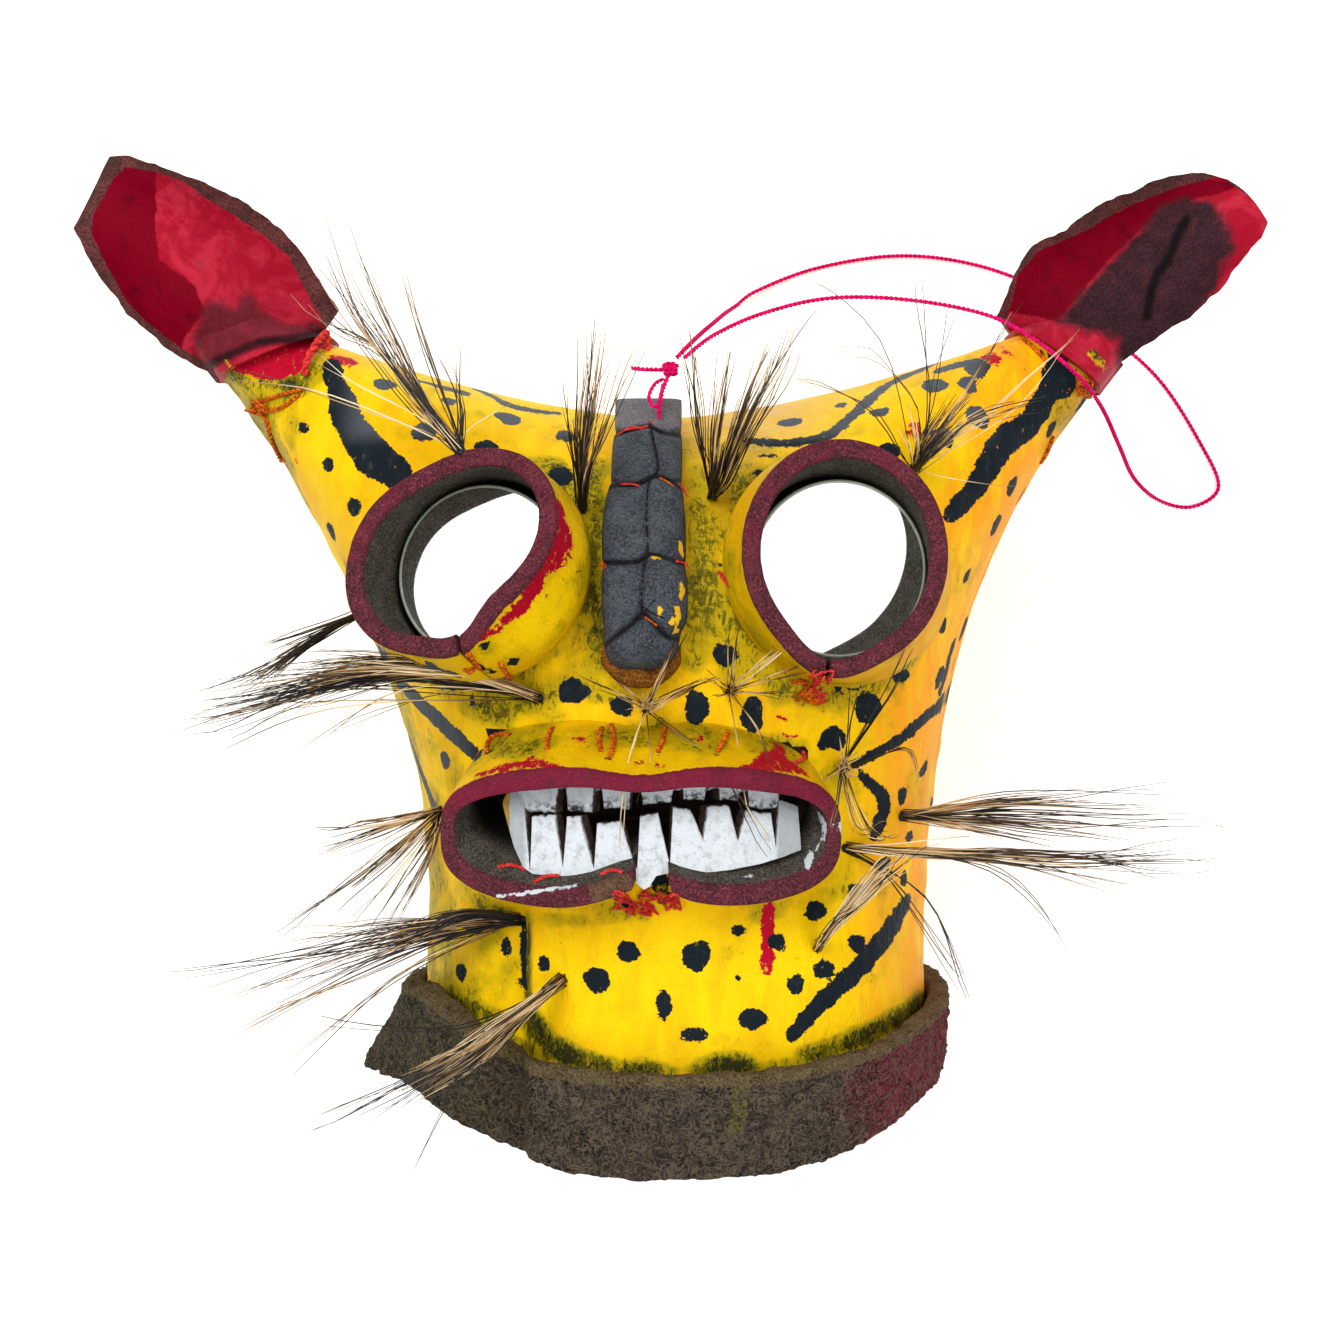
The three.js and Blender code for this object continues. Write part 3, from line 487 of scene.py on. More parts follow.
EYE_BULGE_WIDTH = 0.7
EYE_SIDES = 300
SUNK_IN_HIDE = 1.2
SEAM_HALF_ANGLE = 0.012
SEAM_STEP = 1.1
SEAM_FADE = 0.03
EDGE_ROUND = 1.3


def turn_between(angle, degrees):
    """The angle from a direction in degrees, from minus half a turn to half a turn."""
    gap = angle - math.radians(degrees)
    return math.atan2(math.sin(gap), math.cos(gap))


def across_axis(axis):
    forward = unit(axis)
    right = unit(np.cross([0, 1, 0], forward))
    return right, np.cross(forward, right)


def eye_point(eye, angle, rise, inset):
    right, up = across_axis(eye["normal"])
    tall = np.linalg.norm(eye["rim"] - eye["mirror"])
    share = max(0, (rise - MIRROR_THICK) / (tall - MIRROR_THICK))
    centre = mix(eye["mirror"], eye["rim"], max(0, rise) / tall)
    centre = centre + eye["normal"] * max(-MIRROR_THICK, min(0, rise))
    gap = turn_between(angle, eye["point_at"])
    rim_radius = eye["rim_radius"] + eye["lobe"] * math.cos(2 * (angle - math.radians(eye["lobe_at"])))
    rim_radius += eye["point"] * math.exp(-((gap / EYE_POINT_WIDTH) ** 2))
    beside = turn_between(angle, eye["bulge_at"])
    rim_radius += eye["bulge"] * math.exp(-((beside / EYE_BULGE_WIDTH) ** 2))
    base_radius = MIRROR_RADIUS + MIRROR_ROOM + STRIP
    spread = eye["base_spread"] * (1 - inset / STRIP)
    radius = mix(base_radius + spread, rim_radius, float(smooth(0, 1, share))) - inset
    return centre + right * radius * math.cos(angle) + up * radius * math.sin(angle)


def down_to_hide(point):
    """The same place, lowered straight down until it is a little inside the hide."""
    low = face_height(point[0], point[1]) - SUNK_IN_HIDE
    return np.array([point[0], point[1], min(point[2] - 0.1, low)])


def rim_profile(tall):
    """Section of a thick strip: [(height, inset, depth of the outer wall, depth inside)]."""
    corner = EDGE_ROUND
    outer = [(tall * share, 0.0) for share in (0.12, 0.3, 0.48, 0.64, 0.78)]
    outer += [(tall - 2.4, 0.0), (tall - corner, 0.0), (tall - 0.35 * corner, 0.15 * corner)]
    rim = [(tall - 0.05, 0.6 * corner), (tall, 1.2 * corner), (tall, STRIP / 2)]
    rim += [(tall, STRIP - 1.2 * corner), (tall - 0.05, STRIP - 0.6 * corner)]
    inner = [(height, STRIP - inset) for height, inset in reversed(outer)]
    return outer + rim + inner


def eye_tube_part(eye, seed):
    """A strip bent round the mirror. Its wavy ends meet at the point, one a step above the other."""
    tall = np.linalg.norm(eye["rim"] - eye["mirror"])
    profile = rim_profile(tall)
    start = math.radians(eye["point_at"])
    angles = start + SEAM_HALF_ANGLE + np.linspace(0, 2 * math.pi - 2 * SEAM_HALF_ANGLE, EYE_SIDES)
    sections = []
    for angle in angles:
        wave = np.array([[math.cos(angle) * 30, math.sin(angle) * 30, seed * 50.0]])
        lift = float(waves(wave, (0.55, 14, seed), (0.3, 3, seed + 1))[0])
        swell = float(waves(wave, (0.35, 18, seed + 2))[0])
        along = (angle - angles[0]) / (angles[-1] - angles[0])
        ends = math.exp(-along / SEAM_FADE) - math.exp(-(1 - along) / SEAM_FADE)
        lift += SEAM_STEP * ends * eye["seam_step"]
        section = [down_to_hide(eye_point(eye, angle, 0.0, 0.0))]
        for height, inset in profile:
            share = height / tall
            point = eye_point(eye, angle, height, inset + swell * (0.5 - inset / STRIP) * share)
            section.append(point + eye["normal"] * lift * share ** 2)
        section.append(down_to_hide(eye_point(eye, angle, 0.0, STRIP)))
        sections.append(section)
    points = np.array(sections).reshape(-1, 3)
    depth = [tall, *(tall - height for height, _ in profile), tall]
    inset = [0.0, *(inset for _, inset in profile), STRIP]
    attributes = {"depth": np.tile(depth, EYE_SIDES), "inset": np.tile(inset, EYE_SIDES)}
    return points, capped_faces(EYE_SIDES, len(depth)), attributes


# Shape of the mouth tube
MOUTH_X = -9.3
MOUTH_Y = -54.0
MOUTH_Z = 240.0
MOUTH_HALF_WIDTH = 66.6
MOUTH_HALF_HEIGHT = 21.8
MOUTH_PINCH = 3.0
MOUTH_PINCH_WIDTH = 14.0
LOWER_LIP_RISE = 3.5
LOWER_LIP_DROP = 3.1
LIP_THIN = 0.24
MOUTH_CURVE = 0.0055
MOUTH_SLOPE = math.radians(28)
MOUTH_DEPTH = 48.0
MOUTH_TAPER = 0.0042
MOUTH_ROUNDNESS = 3.0
MOUTH_SIDES = 420
LIP_GAP_ANGLE = 0.0265
LIP_GAP_HALF_ANGLE = 0.0345
LIP_GAP_OPEN_DEPTH = 12.0
LIP_GAP_CLOSED_DEPTH = 20.0
LIP_GAP_X = -5.5
LIP_GAP_HALF = 9.0
LIP_GAP_DEPTH = 3.0
LOWER_LIP_MIDDLE = 4.0
LIP_TOP_THIN_HALF = 24.0
# The lip's wavy edge: how deep the waves reach and which way they lift
LIP_WAVE_DEPTH = 12.0
LIP_OUTWARD = np.array([0, -0.47, 0.88])


def mouth_point(angle, depth, inset):
    across = signed_power(math.cos(angle), 2 / MOUTH_ROUNDNESS)
    upward = signed_power(math.sin(angle), 2 / MOUTH_ROUNDNESS)
    taper = 1 - MOUTH_TAPER * min(max(depth, 0), MOUTH_DEPTH)
    offset = (MOUTH_HALF_WIDTH * taper - inset) * across
    pinch = MOUTH_PINCH * math.exp(-((offset / MOUTH_PINCH_WIDTH) ** 2))
    if upward < 0:
        from_middle = (offset - LOWER_LIP_MIDDLE) / (1.6 * MOUTH_PINCH_WIDTH)
        pinch += LOWER_LIP_RISE * math.exp(-(from_middle ** 2)) - LOWER_LIP_DROP
    return np.array([
        MOUTH_X + offset,
        MOUTH_Y + (MOUTH_HALF_HEIGHT - inset - pinch) * upward + depth * math.sin(MOUTH_SLOPE),
        MOUTH_Z - MOUTH_CURVE * offset ** 2 - depth * math.cos(MOUTH_SLOPE),
    ])


def beside_gap(start, around, depth):
    """Angle of a share of the way round the strip, from one end at its gap to the other."""
    closed = float(smooth(LIP_GAP_OPEN_DEPTH, LIP_GAP_CLOSED_DEPTH, depth))
    gap = mix(LIP_GAP_HALF_ANGLE, SEAM_HALF_ANGLE / 2, closed)
    return start + gap + around * (2 * math.pi - 2 * gap)


def mouth_part():
    corner = EDGE_ROUND
    outer = [(depth, 0.0) for depth in (44, 36, 28, 21, 15, 10, 6, 3)]
    outer += [(corner, 0.0), (0.35 * corner, 0.15 * corner)]
    rim = [(0.05, 0.6 * corner), (0, 1.2 * corner), (0, STRIP / 2), (0, STRIP - 1.2 * corner)]
    rim += [(0.05, STRIP - 0.6 * corner)]
    profile = outer + rim + [(depth, STRIP - inset) for depth, inset in reversed(outer)]
    start = -math.pi / 2 + LIP_GAP_ANGLE
    sections, depths, insides = [], [], []
    for around in np.linspace(0, 1, MOUTH_SIDES):
        angle = beside_gap(start, around, 0)
        wave = np.array([[math.cos(angle) * 60, math.sin(angle) * 24, 7.0]])
        lift = float(waves(wave, (0.7, 16, 21), (0.25, 5, 22))[0])
        section = []
        rim_centre = mouth_point(angle, 0, 0)
        beside = (rim_centre[0] - LIP_GAP_X) / LIP_GAP_HALF
        parted = LIP_GAP_DEPTH * math.exp(-(abs(beside) ** 3)) if math.sin(angle) < 0 else 0.0
        from_middle = (rim_centre[0] - MOUTH_X) / LIP_TOP_THIN_HALF
        top_middle = max(0, math.sin(angle)) * math.exp(-from_middle ** 2)
        thinner = 1 - LIP_THIN * max(abs(math.cos(angle)) ** 6, top_middle)
        for depth, inset in profile:
            depth = mix(parted, MOUTH_DEPTH, depth / MOUTH_DEPTH)
            turned = beside_gap(start, around, depth)
            point = mouth_point(turned, depth, inset * thinner)
            floor = face_height(point[0], point[1]) - SUNK_IN_HIDE
            if point[2] < floor:
                point = slide_up(turned, depth, inset * thinner)
            share = max(0.0, 1 - (depth - parted) / LIP_WAVE_DEPTH)
            section.append(point + LIP_OUTWARD * lift * share)
            depths.append(depth - parted)
            insides.append(inset)
        sections.append(section)
    points = np.array(sections).reshape(-1, 3)
    attributes = {"depth": np.array(depths, float), "inset": np.array(insides, float)}
    return points, capped_faces(MOUTH_SIDES, len(profile)), attributes


def slide_up(angle, depth, inset):
    """The wall point where the mouth tube sinks into the hide, found by halving the depth."""
    shallow, deep = 0.0, depth
    for _ in range(12):
        middle = (shallow + deep) / 2
        point = mouth_point(angle, middle, inset)
        if point[2] < face_height(point[0], point[1]) - SUNK_IN_HIDE:
            deep = middle
        else:
            shallow = middle
    return mouth_point(angle, deep, inset)


# Camera and the pixels' places on the mask
class Surface:
    """Casts the camera's ray through a photo pixel onto the hide and the tubes."""

    def __init__(self, parts):
        points, faces, _ = join_parts([(p, f, {}) for p, f in parts])
        self.tree = BVHTree.FromPolygons([tuple(p) for p in points], faces)

    def at(self, x, y):
        start = np.array([0, 0, CAMERA_HEIGHT])
        through = from_pixels(x, y, 0.0) - start
        hit = self.tree.ray_cast(Vector(start), Vector(unit(through)))
        if hit[0] is None:
            nearest = self.tree.find_nearest(Vector(from_pixels(x, y, 150.0)))
            return np.array(nearest[0]), unit(np.array(nearest[1]))
        normal = unit(np.array(hit[1]))
        return np.array(hit[0]), normal if normal[2] > 0 else -normal


left_tube = eye_tube_part(EYES["left"], 31)
right_tube = eye_tube_part(EYES["right"], 41)
mouth_tube = mouth_part()
surface = Surface([(head_points, head_faces), left_tube[:2], right_tube[:2], mouth_tube[:2]])

# Painted spots in photo pixels: [x, y, width, height]
SPOTS = [
    [304, 428, 12, 12], [328, 465, 13, 16], [354, 507, 16, 18], [331, 531, 11, 18], [385, 384, 24, 14],
    [423, 432, 26, 20], [449, 401, 16, 10], [487, 447, 24, 16], [508, 418, 26, 15], [566, 436, 22, 13],
    [561, 476, 26, 20], [573, 691, 31, 27], [622, 706, 24, 21], [697, 707, 25, 34], [752, 715, 23, 38],
    [725, 655, 24, 24], [472, 702, 7, 14], [445, 760, 11, 18], [409, 606, 8, 10],
    [790, 422, 24, 11], [841, 405, 13, 8], [880, 412, 22, 10], [759, 473, 14, 8], [889, 450, 24, 17],
    [934, 385, 28, 15], [968, 384, 18, 20], [976, 366, 26, 24], [978, 417, 27, 22], [1051, 430, 11, 17],
    [943, 437, 24, 20],
    [1012, 487, 13, 20], [996, 525, 13, 22], [967, 576, 10, 13], [963, 628, 12, 20], [943, 625, 10, 18],
    [940, 677, 13, 20], [902, 676, 20, 12], [868, 708, 26, 33], [924, 769, 10, 15],
    [902, 796, 11, 18], [931, 804, 8, 12], [909, 837, 9, 13], [904, 879, 9, 16], [884, 864, 15, 14],
    [544, 964, 12, 20], [597, 980, 27, 27], [628, 952, 24, 20], [696, 956, 30, 30], [738, 931, 14, 12],
    [777, 942, 20, 18], [664, 1005, 17, 28], [694, 1035, 28, 16], [753, 1019, 28, 22], [737, 978, 7, 6],
    [796, 984, 19, 20], [824, 969, 22, 19], [857, 943, 20, 17], [816, 911, 24, 19], [461, 972, 13, 18],
    [506, 947, 11, 20], [469, 922, 18, 22], [838, 687, 12, 9], [500, 664, 9, 8], [856, 892, 18, 20],
    [834, 738, 26, 24], [822, 744, 14, 12], [430, 664, 12, 8], [452, 688, 10, 7],
]
# Painted strokes in photo pixels: width, then the points that the brush went through
STROKES = [
    [20, (331, 364), (334, 384)], [28, (337, 388), (347, 418), (360, 442)],
    [34, (354, 430), (372, 456), (400, 475)],
    [34, (1062, 372), (1056, 388)],
    [25, (1060, 362), (1046, 396), (1028, 426), (1006, 440), (990, 464), (976, 487), (950, 516)],
    [11, (745, 441), (790, 443), (823, 437), (846, 422), (866, 402), (888, 385), (920, 370), (942, 359),
     (964, 341)],
    [4, (757, 456), (780, 456)],
    [19, (378, 650), (406, 688), (440, 722), (478, 757)],
    [11, (412, 744), (424, 780), (438, 818)],
    [13, (970, 648), (947, 695), (919, 723), (897, 741), (856, 764)],
    [14, (862, 776), (884, 799), (880, 822), (874, 836)],
    [20, (907, 900), (891, 929), (862, 965), (822, 1002), (793, 1035)],
    [7, (400, 655), (430, 668), (462, 676)],
    [7, (525, 922), (524, 950), (526, 988)],
    [8, (402, 366), (447, 380), (481, 391), (515, 407), (559, 414)],
    [9, (479, 646), (489, 646)], [9, (508, 661), (518, 662)], [5, (474, 660), (484, 669), (496, 672)],
    [4, (834, 693), (850, 691), (868, 684)], [3, (838, 678), (852, 676)],
    # Black dots at the stitch holes round the lip and the right eye: painted shade in the holes
    [4, (546, 750), (549, 751)], [4, (605, 759), (612, 760)], [4, (656, 754), (661, 754)],
    [4, (714, 754), (719, 754)],
    [4, (552, 727), (555, 727)], [4, (611, 724), (614, 724)], [4, (664, 727), (667, 727)],
    [4, (727, 732), (731, 732)],
    [5, (486, 754), (491, 752)], [5, (508, 733), (513, 733)], [4, (718, 563), (723, 566)],
    [4, (727, 584), (730, 586)],
    # Black patches in the dark gaps under the teeth: painted shade
    [15, (655, 878), (661, 890), (664, 900)], [12, (664, 874), (664, 892)], [6, (622, 902), (636, 908)],
    [5, (1036, 350), (1050, 356), (1076, 372)],
]
# Red paint, in the same form
RED_STROKES = [
    [13, (768, 905), (768, 935), (767, 972)],
    [20, (552, 504), (558, 530), (555, 556)], [9, (566, 530), (568, 548), (564, 566)],
    [6, (551, 560), (551, 576)],
    [4, (569, 535), (570, 548)], [15, (546, 552), (540, 576), (526, 600), (510, 616)],
    [10, (512, 612), (498, 626), (482, 638)],
    [12, (346, 342), (354, 350)], [12, (984, 334), (997, 340)],
    [24, (234, 362), (262, 359), (290, 353), (314, 344)], [17, (246, 367), (270, 371), (292, 367),
     (306, 358)],
    [12, (322, 346), (338, 344)],
    [8, (476, 776), (505, 768), (535, 764), (567, 771)], [6, (528, 760), (545, 762)],
    [7, (572, 734), (585, 740)], [5, (634, 762), (645, 767)], [4, (652, 764), (662, 766)],
    [4, (693, 744), (703, 737)],
    [14, (756, 766), (776, 756), (788, 768)], [10, (778, 744), (782, 758)], [9, (790, 764), (806, 774)],
    [6, (738, 770), (762, 768), (800, 772)], [4, (776, 716), (786, 721)], [3, (780, 733), (796, 737)],
    [5, (812, 676), (806, 690), (818, 694)], [4, (1000, 346), (1012, 356)],
]


# How far a dab of paint reaches through a fold, and the least that a surface is turned to the camera
DAB_THROUGH = 6
LEAST_FACING = 0.12
STROKE_STEP = 2.5
STROKE_END_WIDTH = 0.62
BACK_SPOT_TRIES = 900
BACK_SPOT_LEVELS = (0.2, 1.88)
BACK_SPOT_GAP = 25
BACK_SPOT_SIZES = (3.2, 5.6)
BACK_SPOT_STRETCH = (0.75, 1.3)
SLOPE_STEP = 0.02


class Disc:
    """One dab of paint: a slightly uneven disc on the surface."""

    def __init__(self, centre, normal, half_width, half_height, wobble, seed):
        self.centre = centre
        self.normal = normal
        right = unit(np.array([1.0, 0, 0]) - normal * normal[0])
        self.right, self.up = right, np.cross(normal, right)
        self.half = (half_width, half_height)
        self.wobble, self.seed = wobble, seed

    def distance(self, points):
        """Distance outside the dab's edge in mm, negative inside it."""
        away = points - self.centre
        across = away @ self.right
        upward = away @ self.up
        through = away @ self.normal
        angle = np.arctan2(upward, across)
        turn = self.seed * 1.7
        uneven = 1 + self.wobble * (0.5 * np.cos(2 * angle + turn) + 0.7 * np.cos(3 * angle - 2 * turn)
                                    + 0.4 * np.cos(5 * angle + 3 * turn))
        share = np.sqrt((across / self.half[0]) ** 2 + (upward / self.half[1]) ** 2) / uneven
        flat = (share - 1) * min(self.half)
        return flat + np.maximum(0, np.abs(through) - DAB_THROUGH)


def place_disc(x, y, width, height, wobble, seed):
    centre, normal = surface.at(x, y)
    scale = (CAMERA_HEIGHT - centre[2]) / PIXELS_PER_SLOPE
    flat_x = math.sqrt(max(LEAST_FACING, 1 - normal[0] ** 2))
    flat_y = math.sqrt(max(LEAST_FACING, 1 - normal[1] ** 2))
    return Disc(centre, normal, width * scale / 2 / flat_x, height * scale / 2 / flat_y, wobble, seed)


def stroke_discs(strokes):
    """Dabs close to each other along each stroke, narrower at its ends and slightly ragged."""
    discs = []
    for number, (width, *path) in enumerate(strokes):
        length = sum(math.dist(a, b) for a, b in zip(path, path[1:]))
        line = spline(path, max(2, int(length / STROKE_STEP)))
        for place, (x, y) in enumerate(line):
            share = place / (len(line) - 1)
            taper = STROKE_END_WIDTH + (1 - STROKE_END_WIDTH) * math.sin(math.pi * (share * 0.9 + 0.05))
            ragged = 1 + 0.10 * math.sin(place * 1.9 + number) + 0.07 * math.sin(place * 0.7 + 2 * number)
            size = width * taper * ragged
            discs.append(place_disc(x, y, size, size, 0, place))
    return discs


def back_spots():
    """Spots on the side and back of the hide, spread evenly where the photo can't see."""
    rng = np.random.default_rng(7)
    discs = []
    for _ in range(BACK_SPOT_TRIES):
        level = rng.uniform(*BACK_SPOT_LEVELS)
        angle = rng.uniform(math.pi * 0.97, math.pi * 2.03)
        point = head_point(np.array(level), np.array(angle), 0.0)
        beside = head_point(np.array(level), np.array(angle + SLOPE_STEP), 0.0) - point
        above = head_point(np.array(level + SLOPE_STEP), np.array(angle), 0.0) - point
        normal = unit(np.cross(beside, above))
        if all(np.linalg.norm(point - disc.centre) > BACK_SPOT_GAP for disc in discs):
            size = rng.uniform(*BACK_SPOT_SIZES)
            other_size = size * rng.uniform(*BACK_SPOT_STRETCH)
            discs.append(Disc(point, normal, size, other_size, 0.08, len(discs)))
    return discs


def paint_distance(points, discs, limit=12.0):
    nearest = np.full(len(points), limit)
    for disc in discs:
        reach = max(disc.half) * 1.3 + limit
        near = np.where(np.sum((points - disc.centre) ** 2, 1) < reach ** 2)[0]
        if len(near):
            nearest[near] = np.minimum(nearest[near], disc.distance(points[near]))
    return nearest


black_discs = [place_disc(x, y, w, h, 0.09, i) for i, (x, y, w, h) in enumerate(SPOTS)]
black_discs += stroke_discs(STROKES)
red_discs = stroke_discs(RED_STROKES)
black_back = black_discs + back_spots()


def line_distance(pixels, path, steps=40):
    """Pixel distance from each place to a curve through points."""
    line = spline(path, steps)
    nearest = np.full(len(pixels), np.inf)
    for point in line:
        nearest = np.minimum(nearest, np.sum((pixels - point) ** 2, 1))
    return np.sqrt(nearest)


def patch_distance(pixels, corners):
    """Pixel distance to the outline of a patch, negative inside it."""
    corners = np.array(corners, float)
    inside = np.zeros(len(pixels), bool)
    nearest = np.full(len(pixels), np.inf)
    x, y = pixels[:, 0], pixels[:, 1]
    for start, end in zip(corners, np.roll(corners, -1, 0)):
        crosses = (start[1] > y) != (end[1] > y)
        rise = end[1] - start[1] if end[1] != start[1] else 1e-9
        inside ^= crosses & (x < start[0] + (y - start[1]) / rise * (end[0] - start[0]))
        edge = end - start
        share = np.clip(((pixels - start) @ edge) / max(edge @ edge, 1e-9), 0, 1)
        nearest = np.minimum(nearest, np.linalg.norm(pixels - start - share[:, None] * edge, axis=1))
    return np.where(inside, -nearest, nearest)


# Dark green dirt rubbed into the yellow, with painted shade along the sides of the nose and at the feet of
# the tubes, in photo pixels: [strength, half width, points]
DIRT_AND_SHADE_SMUDGES = [
    [0.75, 13, (596, 470), (592, 540), (590, 600), (600, 660)],
    [0.62, 17, (700, 480), (704, 540), (700, 600), (694, 660)],
    [0.34, 16, (640, 690), (600, 690), (580, 660), (590, 610)],
    [0.45, 22, (720, 560), (716, 620), (740, 668)],
    [0.55, 12, (735, 520), (732, 580), (748, 630), (790, 672)],
    [0.40, 8, (590, 540), (588, 600), (566, 640), (524, 672)],
    [0.34, 12, (500, 752), (560, 736), (640, 730), (720, 734), (780, 750)],
    [0.20, 12, (490, 690), (530, 716), (600, 726)],
    [0.30, 9, (470, 905), (540, 920), (640, 916)],
    [0.30, 12, (760, 912), (820, 900), (846, 860)],
    [0.85, 5, (527, 925), (528, 990), (532, 1030)],
    [0.60, 7, (440, 1000), (500, 1034), (560, 1058), (620, 1069), (700, 1073), (780, 1065), (850, 1046),
     (925, 996)],
    [0.95, 12, (530, 1020), (548, 1044), (575, 1058), (606, 1068)],
    [0.85, 9, (626, 1069), (656, 1070)],
    [0.92, 13, (700, 1072), (724, 1066), (746, 1068)],
    [0.85, 12, (806, 1056), (850, 1042), (900, 1018), (922, 1002)],
    [0.75, 12, (446, 998), (474, 1012), (500, 1022)],
    [0.80, 8, (232, 374), (248, 384)], [0.80, 9, (264, 382), (298, 386)],
    [0.36, 14, (440, 960), (438, 900), (430, 840)],
    [0.30, 26, (480, 880), (486, 930), (500, 980)],
    [0.42, 14, (500, 745), (580, 738), (660, 738), (740, 742), (800, 752)],
    [0.45, 16, (410, 800), (400, 720), (382, 660)],
    [0.55, 9, (258, 396), (270, 430), (286, 468)],
    [0.50, 14, (318, 362), (300, 384), (250, 380)],
    [0.55, 11, (1060, 372), (1080, 392), (1094, 404)],
    [0.28, 9, (480, 640), (500, 664), (540, 686)],
    [0.50, 12, (556, 470), (574, 500), (590, 520)],
    [0.35, 20, (700, 440), (760, 452), (740, 476)],
    [0.40, 9, (820, 690), (870, 680), (906, 660)],
]


def shade_and_grime_at(points):
    """How much dark green goes on the yellow, from 0 to 1: dirt, painted shade round the feet of the eye
    and mouth tubes and along the nose, and darker over the lower left cheek and towards the far sides.
    """
    smudge = np.zeros(len(points))
    # Painted shade: a dark ring round the foot of each eye tube
    for eye in EYES.values():
        away = points - eye["mirror"]
        height = away @ eye["normal"]
        radius = np.linalg.norm(away - height[:, None] * eye["normal"], axis=1)
        smudge = np.maximum(smudge, 0.5 * (1 - smooth(0, 9, np.abs(radius - 41))) * (height < 8))
    # Painted shade round the foot of the mouth tube
    under = np.hypot((points[:, 0] + 9.3) / 72, (points[:, 1] + 50) / 30)
    smudge = np.maximum(smudge, 0.22 * (1 - smooth(0, 0.22, np.abs(under - 1))))
    # Darker over the lower left cheek, beside the pleat
    cheek = smooth(-38, -80, points[:, 0]) * smooth(-56, -90, points[:, 1])
    smudge = np.maximum(smudge, 0.36 * cheek)
    # Darker towards the far left and right sides
    smudge = np.maximum(smudge, 0.5 * smooth(125, 150, np.abs(points[:, 0])))
    pixels = to_pixels(points)
    front = smooth(70, 95, points[:, 2])
    # Smudges of green dirt, and painted shade along the nose and at the tube feet
    for strength, half_width, *path in DIRT_AND_SHADE_SMUDGES:
        away = line_distance(pixels, path)
        smudge = np.maximum(smudge, strength * front * (1 - smooth(0.35 * half_width, 1.5 * half_width, away)))
    return np.clip(smudge, 0, 1)


def warm_at(points):
    """Orange tint of the right side and the paler crown, from 0 to 1."""
    side = smooth(50, 90, points[:, 0] - 0.35 * np.maximum(0, points[:, 1]))
    nose = 0.6 * np.exp(-((points[:, 0] - 12) / 16) ** 2 - ((points[:, 1] - 66) / 20) ** 2)
    return np.clip(np.maximum(side * 0.9, nose), 0, 1)


def worn_and_sheen_at(points):
    """How far the black paint turns grey, from 0 to 1: worn on the left cheek, and a painted sheen on the
    crest.
    """
    cheek = smooth(-60, -76, points[:, 0]) * smooth(16, 0, points[:, 1]) * smooth(-64, -50, points[:, 1])
    beside = np.abs(points[:, 0])
    # Painted sheen on the black stripes of the crest
    crest = smooth(76, 84, points[:, 1]) * smooth(20, 34, beside) * smooth(118, 105, beside)
    return np.clip(0.7 * cheek + 0.8 * crest, 0, 1)


def soft_patch(points, middle, size):
    """1 at the middle of a patch given in photo pixels, and less towards its edge."""
    away = (to_pixels(points) - np.array(middle)) / np.array(size)
    return np.exp(-np.sum(away ** 2, 1))


def paint_attributes(points, discs=None):
    right_bridge = soft_patch(points, (704, 575), (15, 58))
    left_bridge = soft_patch(points, (596, 580), (8, 80))
    return {
        "black": paint_distance(points, discs or black_discs),
        "red": paint_distance(points, red_discs),
        "grime": shade_and_grime_at(points),
        "warm": warm_at(points),
        "worn_and_sheen": worn_and_sheen_at(points),
        # Painted sheen: a pale patch high on the crown
        "crown_sheen": soft_patch(points, (752, 410), (70, 36)) * smooth(90, 112, points[:, 2]),
        # Painted shade in the creases beside the nose bridge
        "bridge_crease_shade": np.maximum(right_bridge, 0.7 * left_bridge),
    }


